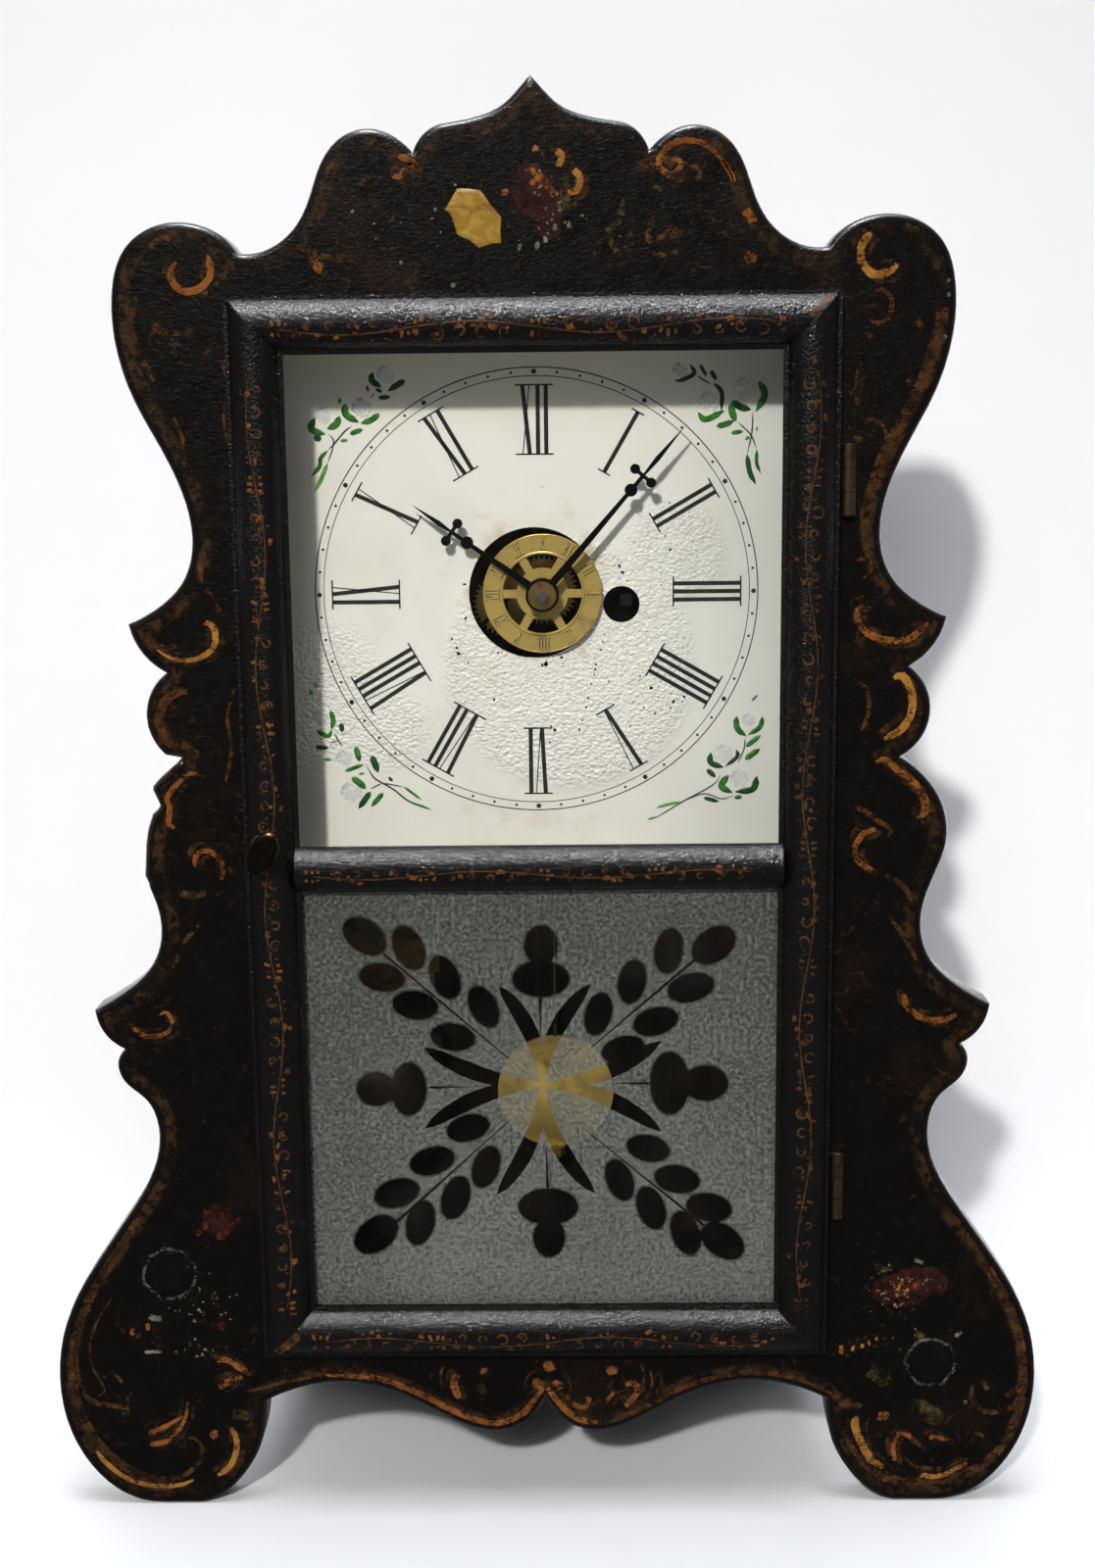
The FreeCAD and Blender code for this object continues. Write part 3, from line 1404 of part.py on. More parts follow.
def verge():
    """The bent strip of the verge on its arbor, and the crutch wire whose fork holds the pendulum rod."""
    front = size("plate_deep")
    inside = front + size("plate_thickness") + size("end_shake")
    cock = size("cock_deep")
    spine = disc(size("pivot_radius"), front, cock + size("cock_thickness") - front)
    arbor = disc(size("verge_arbor_radius"), inside, cock - size("end_shake") - inside)
    start = size("escape_wheel_deep")
    thick = size("wheel_thickness")
    reach = size("escape_radius") + size("pallet_clear")
    rise = size("verge_rise")
    strip = size("strip_thickness")
    nib_x, nib_z = around(reach, 90 - size("pallet_bearing"))
    nib_z -= rise
    half = [(0, strip / 2), (nib_x + strip, nib_z + strip), (nib_x + strip, nib_z), (nib_x, nib_z),
            (nib_x - strip / 4, nib_z + strip), (0, -strip / 2)]
    right = outline_solid(half, start, thick)
    left = outline_solid([(-x, z) for x, z in half], start, thick)
    deep = size("crutch_deep")
    wire = size("crutch_wire")
    low = -size("crutch_length")
    prong = size("rod_radius") + size("fork_clear") + wire
    behind = size("pendulum_deep") + size("rod_radius") + 2 * wire
    boss = disc(size("crutch_boss"), deep - wire, 2 * wire)
    stem = wire_rod(Vector(0, deep, 0), Vector(0, deep, low), wire)
    yoke = wire_rod(Vector(-prong - wire, deep, low), Vector(prong + wire, deep, low), wire)
    prongs = [wire_rod(Vector(x, deep, low), Vector(x, behind, low), wire) for x in (-prong, prong)]
    shape = spine.fuse([arbor, right, left, boss, stem, yoke] + prongs)
    return on_arbor("verge_and_crutch", shape, "verge")


def pendulum_cock():
    """The bracket on the back plate that carries the verge's back pivot and the chops of the pendulum."""
    width = size("cock_width")
    back = size("back_plate_deep") + size("plate_thickness")
    start = size("cock_deep")
    thick = size("cock_thickness")
    chops_low = size("pivot_rise") + size("chops_gap")
    foot = size("cock_foot")
    top = chops_low + size("chops_height")
    low = -size("cock_below")
    plate = slab(width, start, thick, top - low, 0, (top + low) / 2)
    step = slab(width, back, start - back, foot, 0, top - foot / 2)
    chops_end = size("pendulum_deep") + size("flex_width") / 2
    chops_start = start + thick
    chops = slab(width / 2, chops_start, chops_end - chops_start, size("chops_height"), 0,
                 (top + chops_low) / 2)
    hole = disc(size("pivot_radius") + size("running_fit"), start, thick)
    return on_arbor("pendulum_cock", plate.fuse([step, chops]).cut(hole), "verge")


def pendulum_rod():
    """The wire rod with its flattened spring at the top. The swing is about the lower edge of the chops."""
    deep = size("pendulum_deep")
    flex = size("flex_length")
    width = size("flex_width")
    end = size("pendulum_length") + size("bob_radius") + size("rod_tail")
    spring = slab(size("flex_thickness"), deep - width / 2, width, flex, 0, -flex / 2)
    rod = wire_rod(Vector(0, deep, -flex + size("rod_radius")), Vector(0, deep, -end), size("rod_radius"))
    return on_arbor("pendulum_rod", spring.fuse(rod), "pendulum")


# The bob's lens shape: where its belly is across the radius, and how full it is there.
BOB_BELLY = 0.55
BOB_FULLNESS = 0.82


def pendulum_bob():
    radius = size("bob_radius")
    half = size("bob_thickness") / 2
    edge = size("bob_edge") / 2
    belly = BOB_BELLY * radius
    swell = edge + BOB_FULLNESS * (half - edge)
    lens = turned("bob_lens", [
        [(0, -half), (belly, -swell), (radius, -edge)],
        [(radius, -edge), (radius, edge)],
        [(radius, edge), (belly, swell), (0, half)],
        [(0, half), (0, -half)],
    ], "pendulum_px", "front_y + pendulum_deep", "pendulum_pz - pendulum_length")
    hole = doc.addObject("Part::Cylinder", "bob_hole")
    bind(hole, Radius="rod_radius", Height="4 * bob_radius")
    place(hole, "pendulum_px", "front_y + pendulum_deep", "pendulum_pz - pendulum_length - 2 * bob_radius")
    return cut("pendulum_bob", lens, hole)


def rating_nut():
    nut = doc.addObject("Part::Prism", "rating_nut_blank")
    nut.Polygon = 12
    bind(nut, Circumradius="rating_nut_radius", Height="rating_nut_height")
    hole = doc.addObject("Part::Cylinder", "rating_nut_hole")
    bind(hole, Radius="rod_radius", Height="rating_nut_height")
    for item in (nut, hole):
        place(item, "pendulum_px", "front_y + pendulum_deep",
              "pendulum_pz - pendulum_length - bob_radius - rating_nut_height")
    return cut("rating_nut", nut, hole)


# Alarm


def alarm_frame():
    """A brass strap bent into two leaves, screwed to the backboard."""
    strap = size("alarm_strap")
    front = size("alarm_front_deep")
    back = size("back_inner_deep")
    low = -size("alarm_below")
    top = size("alarm_above")
    body = new_body("alarm_frame", "alarm_px - alarm_left", "front_y", "alarm_pz")
    bend = sketch_on(body, "YZ_Plane", "alarm_strap_bend")
    draw(bend, closed_line([(front, low), (front, top), (back, top), (back, low),
                            (back - strap, low), (back - strap, top - strap),
                            (front + strap, top - strap), (front + strap, low)]))
    pad(body, bend, "alarm_left + alarm_right", backwards=False)
    holes = sketch_on(body, "XZ_Plane", "alarm_holes")
    circle(holes, "alarm_left", "0", "2 * (alarm_arbor_radius + running_fit)")
    circle(holes, "alarm_left + hammer_x", "hammer_rise", "2 * (hammer_arbor_radius + running_fit)")
    pocket(body, holes)
    return body


# An alarm wheel tooth: how far round the pitch its tip and its back foot are.
ALARM_TIP = 0.4
ALARM_FOOT = 0.8


def alarm_spring_and_wheel():
    radius = size("alarm_arbor_radius")
    back = size("back_inner_deep") - size("end_shake")
    square = size("alarm_square")
    ahead = size("alarm_square_deep")
    front = size("alarm_front_deep") - size("end_shake")
    arbor = disc(radius, front, back - front).fuse(slab(square, ahead, front - ahead, square))
    start = size("alarm_wheel_deep")
    thick = size("wheel_thickness")
    tip = size("alarm_wheel_radius")
    root = tip - size("alarm_tooth")
    pitch = 2 * math.pi * root / size("alarm_wheel_teeth")
    tooth = [(root, 0), (tip, ALARM_TIP * pitch), (root, ALARM_FOOT * pitch)]
    wheel = toothed(size("alarm_wheel_teeth"), tooth, start, thick)
    wheel = wheel.cut(disc(radius + size("running_fit"), start, thick))
    leaf = size("spring_leaf")
    ribbon = flat_spiral(radius + leaf, size("alarm_spring_outer"), size("alarm_spring_turns"), leaf,
                         size("alarm_spring_width"), size("alarm_spring_deep"))
    return [on_arbor("alarm_arbor", arbor, "alarm"), on_arbor("alarm_wheel", wheel, "alarm"),
            on_arbor("alarm_mainspring", ribbon, "alarm")]


# The hammer's pallet fork: its waist as a share of the arbor, its prongs as shares of their reach.
FORK_WAIST = 1.5
PRONG_OUTER = 0.8
PRONG_INNER = 0.6


def alarm_hammer():
    """The hammer on its arbor: pallets at the alarm wheel, a tail for the let-off, the head on its wire."""
    radius = size("hammer_arbor_radius")
    tail_deep = size("catch_deep")
    wire = size("hammer_wire")
    back = size("back_inner_deep") - size("end_shake")
    arbor = disc(radius, tail_deep - wire, back - tail_deep + wire)
    start = size("alarm_wheel_deep")
    thick = size("wheel_thickness")
    span = size("hammer_pallets")
    waist = FORK_WAIST * radius
    outer = PRONG_OUTER * span
    inner = PRONG_INNER * span
    fork = [(-waist, 0), (0, waist), (span, outer), (span, inner),
            (waist, 0), (span, -inner), (span, -outer), (0, -waist)]
    pallets = outline_solid(fork, start, thick)
    pallets.rotate(Vector(0, 0, 0), Vector(0, 1, 0), -bearing("hammer", "alarm"))
    deep = size("hammer_deep")
    lean = math.radians(size("hammer_lean"))
    length = size("hammer_length")
    end = Vector(length * math.sin(lean), deep, -length * math.cos(lean))
    stem = wire_rod(Vector(0, deep, 0), end, wire)
    boss = disc(2 * radius, deep - 2 * wire, 4 * wire)
    head_length = size("hammer_head_length")
    head = disc(size("hammer_head_radius"), deep - head_length / 2, head_length, end.x, end.z)
    tail = wire_rod(Vector(0, tail_deep, 0), Vector(0, tail_deep, size("catch_height") + 2 * wire), wire)
    return on_arbor("alarm_hammer", arbor.fuse([pallets, stem, boss, head, tail]), "hammer")


# The bell's shoulder, across its radius and down its depth, and the lean of its wall there.
BELL_SHOULDER = 0.72
BELL_DROP = 0.24
WALL_LEAN = 0.7


def bell_and_post():
    radius = size("bell_radius")
    depth = size("bell_depth")
    wall = size("bell_wall")
    post = size("bell_post_radius")
    shoulder = BELL_SHOULDER * radius
    drop = BELL_DROP * depth
    lean = WALL_LEAN * wall
    bell = turned("alarm_bell", [
        [(post, 0), (shoulder, drop), (radius, depth)],
        [(radius, depth), (radius - wall, depth)],
        [(radius - wall, depth), (shoulder - lean, drop + lean), (post, wall)],
        [(post, wall), (post, 0)],
    ], "bell_px", "front_y + bell_deep", "bell_pz")
    front = size("bell_deep")
    back = size("back_inner_deep")
    collar = size("bell_collar")
    shape = disc(post, front - wall, back - front + wall)
    shape = shape.fuse([disc(collar, front + wall, 2 * wall), disc(collar, back - wall, wall)])
    return [bell, on_arbor("bell_post", shape, "bell")]


# The let-off lever's hub, as a share of its stud's radius.
LET_OFF_BOSS = 2.4


def alarm_let_off():
    """The wire lever that the cam holds: a finger by the cam, an arm down and back to the hammer's tail."""
    deep = size("let_off_deep")
    wire = size("let_off_wire")
    hub = size("let_off_hub")
    by_cam = size("centre_px") - size("alarm_cam_radius") - size("let_off_gap") - wire
    by_tail = size("hammer_px") + size("catch_gap") + wire + size("hammer_wire")
    finger = Vector(by_cam - size("let_off_px"), deep, size("let_off_drop"))
    elbow = Vector(by_tail - size("let_off_px"), deep,
                   size("hammer_pz") + size("catch_height") - size("let_off_pz"))
    catch = Vector(elbow.x, size("catch_deep") + size("hammer_wire"), elbow.z)
    pivot = Vector(0, deep, 0)
    lever = disc(LET_OFF_BOSS * size("let_off_stud_radius"), deep - hub / 2, hub)
    lever = lever.fuse([wire_rod(pivot, finger, wire), wire_rod(pivot, elbow, wire),
                        wire_rod(elbow, catch, wire), Part.makeSphere(wire, elbow)])
    bore = disc(size("let_off_stud_radius") + size("running_fit"), deep - hub / 2, hub)
    return on_arbor("alarm_let_off", lever.cut(bore), "let_off")


def build():
    parts = [front_board()]
    parts += case_boards()
    parts += [case_nails(), dial_cleats(), dial_plate(), dial_screws()]
    parts += hinges()
    parts += door_frame()
    parts.append(door_rail_middle())
    parts += door_panes()
    parts += latch()
    parts += [movement_front_plate(), movement_back_plate()]
    parts += movement_pillars()
    parts += movement_posts()
    parts += [winding_arbor(), ratchet_wheel(), great_wheel(), click(), click_spring(), mainspring()]
    parts += [centre_arbor(), centre_wheel(), third_wheel(), escape_wheel()]
    parts += [cannon_pinion(), minute_wheel(), hour_wheel()]
    parts += hands()
    parts.append(alarm_disc())
    parts += [verge(), pendulum_cock(), pendulum_rod(), pendulum_bob(), rating_nut()]
    parts.append(alarm_frame())
    parts += alarm_spring_and_wheel()
    parts += [alarm_hammer(), alarm_let_off()]
    parts += bell_and_post()
    return parts


def check(parts):
    for item in doc.Objects:
        if {"Invalid", "Error"} & set(item.State):
            raise RuntimeError(f"{item.Label} failed: {item.State}")
    for item in parts:
        if item.Shape.isNull() or not item.Shape.isValid() or not item.Shape.Solids:
            raise RuntimeError(f"{item.Label} has no valid solid")


def write(parts):
    os.makedirs("parts", exist_ok=True)
    for item in parts:
        item.Shape.exportStep(f"parts/{item.Label}.step")
        print(item.Label, len(item.Shape.Solids), round(item.Shape.Volume, 1))


PARTS = build()
doc.recompute()
check(PARTS)
write(PARTS)
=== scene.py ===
"""The looks of a scroll-front shelf clock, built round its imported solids.

Lengths are in millimetres until a mesh is made. Marks that were placed from the photograph are given in
its pixels and laid on the surface that carries them.
"""

import json
import math

import bmesh
import bpy
import numpy as np
from mathutils import Matrix, Vector, kdtree
from mathutils.geometry import delaunay_2d_cdt


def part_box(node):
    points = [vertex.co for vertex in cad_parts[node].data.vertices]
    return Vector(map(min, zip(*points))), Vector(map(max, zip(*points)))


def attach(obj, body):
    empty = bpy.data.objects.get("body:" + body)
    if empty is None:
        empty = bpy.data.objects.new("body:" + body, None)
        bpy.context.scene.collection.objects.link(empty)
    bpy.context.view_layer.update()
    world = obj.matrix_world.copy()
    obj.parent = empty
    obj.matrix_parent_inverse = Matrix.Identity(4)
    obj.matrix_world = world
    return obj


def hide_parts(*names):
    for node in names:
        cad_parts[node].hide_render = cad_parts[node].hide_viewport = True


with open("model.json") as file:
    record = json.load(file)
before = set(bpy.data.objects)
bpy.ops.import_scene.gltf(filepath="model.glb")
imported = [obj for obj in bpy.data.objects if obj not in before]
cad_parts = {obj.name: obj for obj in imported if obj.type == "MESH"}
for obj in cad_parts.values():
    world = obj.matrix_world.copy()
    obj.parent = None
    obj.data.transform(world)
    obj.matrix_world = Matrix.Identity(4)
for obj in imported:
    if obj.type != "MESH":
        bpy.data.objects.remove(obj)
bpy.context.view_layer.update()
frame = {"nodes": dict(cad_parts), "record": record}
MM = 0.001

# ---------------------------------------------------------------- where things are, in millimetres

BOARD_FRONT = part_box("front_board")[0].y / MM
BOARD_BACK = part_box("front_board")[1].y / MM
DIAL_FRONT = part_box("dial_plate")[0].y / MM
DISC_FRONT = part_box("alarm_disc")[0].y / MM
PANE_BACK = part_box("door_tablet")[1].y / MM
CASE_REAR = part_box("case_back")[1].y / MM
DIAL_CENTRE = (-0.3, 272.0)            # the middle of the minute ring
HAND_CENTRE = (1.5, 272.0)             # where the hands and the alarm disc turn
DOOR_BACK = -38.95                     # the plane from which the door's mouldings stand out
DOOR_HALF, DOOR_LOW, DOOR_HIGH = 82.65, 49.8, 354.2
MIDDLE_RAIL = 197.0                    # the middle line of the rail between the two lights

# ---------------------------------------------------------------- the camera, and the photograph's pixels

PHOTO = (1117, 1600)
LENS, SENSOR = 45.0, 36.0
FOCAL = LENS / SENSOR * PHOTO[1]
EYE = Vector((9.87, -579.95, 321.0))
PITCH, YAW, ROLL = 0.18401, math.radians(-0.77), math.radians(-0.64)
CLIP = (0.01, 20)                      # the nearest and farthest that the camera sees, in metres


def camera_axes():
    """The camera's right, up and forward directions."""
    level_right = Vector((math.cos(YAW), -math.sin(YAW), 0))
    level_ahead = Vector((math.sin(YAW), math.cos(YAW), 0))
    ahead = level_ahead * math.cos(PITCH) - Vector((0, 0, math.sin(PITCH)))
    level_up = level_ahead * math.sin(PITCH) + Vector((0, 0, math.cos(PITCH)))
    right = level_right * math.cos(ROLL) + level_up * math.sin(ROLL)
    up = -level_right * math.sin(ROLL) + level_up * math.cos(ROLL)
    return right, up, ahead


RIGHT, UP, AHEAD = camera_axes()


def seen_at(px, py, y):
    """The (x, z) on the upright plane y that shows at a pixel of the photograph."""
    sight = AHEAD + RIGHT * ((px - PHOTO[0] / 2) / FOCAL) + UP * ((PHOTO[1] / 2 - py) / FOCAL)
    reach = (y - EYE.y) / sight.y
    return Vector((EYE.x + sight.x * reach, EYE.z + sight.z * reach))


def pixel_size(y):
    """How many millimetres a pixel covers on the plane y, near the middle of the clock."""
    return (y - EYE.y) / FOCAL


def marks(text, y):
    """A row of "px,py" pairs as (x, z) points on the plane y."""
    return [seen_at(*map(float, pair.split(",")), y) for pair in text.split()]


def place_camera():
    """The camera that took the photograph, as solved from the door and the dial."""
    camera = bpy.data.objects.new("camera", bpy.data.cameras.new("camera"))
    bpy.context.scene.collection.objects.link(camera)
    camera.data.sensor_fit, camera.data.sensor_width, camera.data.lens = "AUTO", SENSOR, LENS
    camera.data.clip_start, camera.data.clip_end = CLIP
    turn = Matrix((RIGHT, UP, -AHEAD)).transposed().to_4x4()
    camera.matrix_world = Matrix.Translation(EYE * MM) @ turn
    bpy.context.scene.camera = camera


# ---------------------------------------------------------------- shader trees

FLOAT, VECTOR, WHOLE, SKIN = "NodeSocketFloat", "NodeSocketVector", "NodeSocketInt", "NodeSocketMaterial"
MIX_A, MIX_B, MIX_OUT = 6, 7, 2        # the mix node's sockets for colours


class Tree:
    """A node tree that is being drawn up, with short names for the nodes that the finishes use."""

    def __init__(self, tree):
        self.tree = tree

    def add(self, kind, settings=None, **inputs):
        """A new node with its settings, and its inputs fed by name."""
        made = self.tree.nodes.new(kind)
        for key, value in (settings or {}).items():
            setattr(made, key, value)
        for key, value in inputs.items():
            self.feed(made.inputs[key.replace("_", " ")], value)
        return made

    def feed(self, socket, value):
        if isinstance(value, bpy.types.NodeSocket):
            self.tree.links.new(value, socket)
        else:
            socket.default_value = value

    def math(self, operation, first, *others):
        """One operation on a value, or on several from left to right."""
        for other in others or (0.0,):
            made = self.add("ShaderNodeMath", {"operation": operation})
            self.feed(made.inputs[0], first)
            self.feed(made.inputs[1], other)
            first = made.outputs[0]
        return first

    def sum_of(self, *parts):
        """Values added up, each by its share."""
        return self.math("ADD", *(self.math("MULTIPLY", value, share) for value, share in parts))

    def mix(self, share, a, b, most=1.0):
        """Colour a with a share of b over it, up to the most of it."""
        made = self.add("ShaderNodeMix", {"data_type": "RGBA"})
        self.feed(made.inputs[0], self.math("MULTIPLY", share, most) if most < 1.0 else share)
        for socket, value in ((made.inputs[MIX_A], a), (made.inputs[MIX_B], b)):
            self.feed(socket, (*value, 1.0) if isinstance(value, tuple) else value)
        return made.outputs[MIX_OUT]

    def ramp(self, value, low, high, to_low=0.0, to_high=1.0):
        """A smooth step from one amount to another as the value goes from low to high."""
        made = self.add("ShaderNodeMapRange", {"interpolation_type": "SMOOTHSTEP"})
        for socket, given in zip(made.inputs, (value, low, high, to_low, to_high)):
            self.feed(socket, given)
        return made.outputs[0]

    def spread(self, noise, least, most):
        """The middle of a noise's range, spread between two amounts."""
        return self.ramp(noise, 0.3, 0.7, least, most)

    def place(self, stretch=(1.0, 1.0, 1.0)):
        """Object coordinates, stretched by a fixed or a linked amount."""
        where = self.add("ShaderNodeTexCoord").outputs["Object"]
        return self.add("ShaderNodeMapping", Vector=where, Scale=stretch).outputs[0]

    def axes(self):
        """Object coordinates along each axis, in metres."""
        return self.add("ShaderNodeSeparateXYZ", Vector=self.place()).outputs

    def noise(self, vector, scale, detail=4.0, rough=0.55, bend=0.0):
        return self.add("ShaderNodeTexNoise", Vector=vector, Scale=scale, Detail=detail, Roughness=rough,
                        Distortion=bend).outputs[0]

    def cells(self, vector, scale):
        return self.add("ShaderNodeTexVoronoi", {"feature": "F1"}, Vector=vector, Scale=scale).outputs["Distance"]

    def near(self, *spots):
        """1 on any of the spots of an upright face, each given as x, z, radius and soft edge, and 0 elsewhere."""
        found = []
        for x, z, radius, soft in spots:
            away = self.add("ShaderNodeVectorMath", {"operation": "DISTANCE"})
            self.feed(away.inputs[0], self.place((1.0, 0.0, 1.0)))
            self.feed(away.inputs[1], (x * MM, 0.0, z * MM))
            found.append(self.ramp(away.outputs["Value"], radius * MM, (radius + soft) * MM, 1.0, 0.0))
        return self.math("MAXIMUM", *found)

    def attribute(self, name):
        return self.add("ShaderNodeAttribute", {"attribute_name": name}).outputs["Fac"]

    def group(self, tree, **inputs):
        """An effect's outputs, with its inputs set by name."""
        return self.add("ShaderNodeGroup", {"node_tree": tree}, **inputs).outputs

    def bump(self, height, strength, distance):
        return self.add("ShaderNodeBump", Strength=strength, Distance=distance, Height=height).outputs[0]


def effect(name, inputs, outputs, draw):
    """A shader node group with named inputs and outputs; draw(tree, inputs) gives the outputs in order."""
    made = bpy.data.node_groups.new(name, "ShaderNodeTree")
    for label, kind, start in inputs:
        made.interface.new_socket(label, in_out="INPUT", socket_type=kind).default_value = start
    for label in outputs:
        made.interface.new_socket(label, in_out="OUTPUT", socket_type=FLOAT)
    tree = Tree(made)
    given = tree.add("NodeGroupInput").outputs
    out = tree.add("NodeGroupOutput")
    for socket, value in zip(out.inputs, draw(tree, given)):
        tree.feed(socket, value)
    return made


def draw_patches(tree, given):
    """Clouded patches."""
    field = tree.noise(tree.place(given["Stretch"]), given["Scale"], 6.0, 0.62, 0.4)
    return [tree.ramp(field, given["Low"], given["High"])]


def draw_wrinkles(tree, given):
    """Fine folds and a pebbled skin, as a height."""
    folds = tree.noise(tree.place(given["Stretch"]), given["Scale"], 3.0, 0.5, 0.9)
    ridges = tree.math("ABSOLUTE", tree.math("SUBTRACT", folds, 0.5))
    peel = tree.noise(tree.place(), given["Peel Scale"], 2.0, 0.5)
    return [tree.sum_of((ridges, 2.0), (peel, given["Peel"]))]


def draw_grain(tree, given):
    """Growth rings and pores along the grain, as a tone and a height."""
    rings = tree.noise(tree.place(given["Stretch"]), given["Scale"], 5.0, 0.6, 1.4)
    bands = tree.math("PINGPONG", tree.math("MULTIPLY", rings, 9.0), 1.0)
    pores = tree.noise(tree.place(given["Stretch"]), tree.math("MULTIPLY", given["Scale"], 9.0), 2.0, 0.5)
    tone = tree.sum_of((bands, 0.6), (pores, 0.4))
    return [tone, tree.math("SUBTRACT", pores, tree.math("MULTIPLY", bands, 0.3))]


def draw_tarnish(tree, given):
    """Clouds of tarnish with small spots."""
    clouds = tree.noise(tree.place(), given["Scale"], 6.0, 0.65, 0.6)
    specks = tree.noise(tree.place(), tree.math("MULTIPLY", given["Scale"], 11.0), 3.0, 0.6)
    stain = tree.ramp(clouds, given["Low"], given["High"])
    spots = tree.ramp(specks, 0.60, 0.72)
    return [tree.math("MAXIMUM", stain, tree.math("MULTIPLY", spots, 0.7))]


def draw_worn(tree, given):
    """Where paint is left: rubbed and scraped, and less where it covers thinly."""
    rubbed = tree.noise(tree.place(), given["Scale"], 7.0, 0.68, 0.3)
    scraped = tree.noise(tree.place((1.0, 1.0, 3.2)), tree.math("MULTIPLY", given["Scale"], 3.4), 4.0, 0.6)
    both = tree.sum_of((rubbed, 0.6), (scraped, 0.4))
    thin = tree.math("MULTIPLY", tree.math("SUBTRACT", 1.0, given["Cover"]), 0.34)
    low = tree.math("ADD", given["Amount"], thin)
    return [tree.ramp(both, low, tree.math("ADD", low, 0.12))]


def draw_scrolls(tree, given):
    """Thin winding lines that are left only in places."""
    winding = tree.noise(tree.place(), given["Scale"], 1.6, 0.42, 1.9)
    line = tree.ramp(tree.math("ABSOLUTE", tree.math("SUBTRACT", winding, 0.5)), 0.004, 0.020, 1.0, 0.0)
    left = tree.ramp(tree.noise(tree.place(), tree.math("MULTIPLY", given["Scale"], 0.42), 4.0, 0.6), 0.50, 0.60)
    rubbed = tree.ramp(tree.noise(tree.place(), 420.0, 4.0, 0.65), 0.42, 0.60)
    return [tree.math("MULTIPLY", line, left, rubbed)]


SCROLLS = effect("Rubbed scrollwork", [("Scale", FLOAT, 60)], ["Mask"], draw_scrolls)
PATCHES = effect("Patches", [("Stretch", VECTOR, (1, 1, 1)), ("Scale", FLOAT, 40), ("Low", FLOAT, 0.5),
                             ("High", FLOAT, 0.7)], ["Mask"], draw_patches)
WRINKLES = effect("Wrinkled varnish", [("Stretch", VECTOR, (1, 1, 1)), ("Scale", FLOAT, 150),
                                       ("Peel Scale", FLOAT, 1500), ("Peel", FLOAT, 0.4)], ["Height"],
                  draw_wrinkles)
GRAIN = effect("Wood grain", [("Stretch", VECTOR, (1, 1, 1)), ("Scale", FLOAT, 60)], ["Tone", "Height"],
               draw_grain)
TARNISH = effect("Tarnish", [("Scale", FLOAT, 60), ("Low", FLOAT, 0.45), ("High", FLOAT, 0.65)], ["Mask"],
                 draw_tarnish)
WORN = effect("Worn paint", [("Scale", FLOAT, 300), ("Amount", FLOAT, 0.4), ("Cover", FLOAT, 1)], ["Kept"],
              draw_worn)

# ---------------------------------------------------------------- finishes


def finish(name, draw, **constants):
    """A material whose Principled shader takes its constants here and its varying inputs from draw(tree)."""
    made = bpy.data.materials.new(name)
    made.use_nodes = True
    tree = Tree(made.node_tree)
    shader = made.node_tree.nodes["Principled BSDF"]
    for key, value in constants.items():
        shader.inputs[key.replace("_", " ")].default_value = value
    for key, value in draw(tree).items():
        tree.feed(shader.inputs[key.replace("_", " ")], value)
    return made


def shaded(colour, share):
    """A share of a colour's brightness."""
    return tuple(share * c for c in colour)


JAPAN_BLACK, JAPAN_DEEP = (0.0034, 0.0026, 0.0020), (0.0012, 0.0009, 0.0008)
JAPAN_BROWN, JAPAN_RUST = (0.0098, 0.0056, 0.0032), (0.055, 0.023, 0.008)
JAPAN_GHOST = (0.075, 0.030, 0.0095)             # old scrollwork that shows through
EDGE_BROWN = (0.034, 0.0160, 0.0058)             # brushwork along the cut edge
BARE_EDGE, BARE_BREAK = (0.10, 0.062, 0.034), (0.035, 0.021, 0.013)


def japan_ground(tree, haze=0.52):
    """Black japan with brown showing through in clouds, ghosts of scrollwork and rubbed rusty flecks."""
    clouds = tree.group(PATCHES, Scale=26.0, Low=haze, High=haze + 0.22)[0]
    flecks = tree.group(PATCHES, Scale=330.0, Low=0.62, High=0.74)[0]
    scrolls = tree.group(SCROLLS, Scale=62.0)[0]
    ghosted = tree.mix(scrolls, tree.mix(clouds, JAPAN_BLACK, JAPAN_BROWN), JAPAN_GHOST, 0.34)
    return tree.mix(flecks, ghosted, JAPAN_RUST, 0.34)


def japan_gloss(tree, least, most):
    """The japan's roughness, uneven between two amounts."""
    return tree.spread(tree.noise(tree.place(), 190.0, 5.0, 0.6), least, most)


def draw_board_japan(tree):
    """The board's japan: brown brushwork follows the outline, and the worn round of the edge shines."""
    rim = tree.attribute("rim")
    blotch = tree.noise(tree.place(), 95.0, 6.0, 0.66)
    band = tree.math("MULTIPLY", tree.ramp(rim, 1.7, 2.6), tree.ramp(rim, 4.6, 6.2, 1.0, 0.0))
    dry = tree.ramp(tree.noise(tree.place(), 340.0, 5.0, 0.7), 0.40, 0.58)
    brushed = tree.math("MULTIPLY", band, dry, tree.ramp(blotch, 0.42, 0.60, 0.1, 1.0))
    banded = tree.mix(brushed, japan_ground(tree), EDGE_BROWN)
    chipped = tree.math("MULTIPLY", tree.ramp(rim, 0.0, 1.2, 1.0, 0.0), tree.ramp(blotch, 0.60, 0.70))
    bare = tree.mix(chipped, banded, BARE_EDGE)
    wood = tree.mix(tree.attribute("broken"), bare, BARE_BREAK)
    height = tree.group(WRINKLES, Stretch=(1.0, 1.0, 2.4), Scale=400.0, Peel_Scale=1300.0, Peel=0.8)[0]
    return {"Base Color": wood, "Roughness": japan_gloss(tree, 0.20, 0.36),
            "Normal": tree.bump(height, 0.45, 0.0003), "Coat_Weight": tree.ramp(rim, 0.8, 1.7, 0.9, 0.0)}


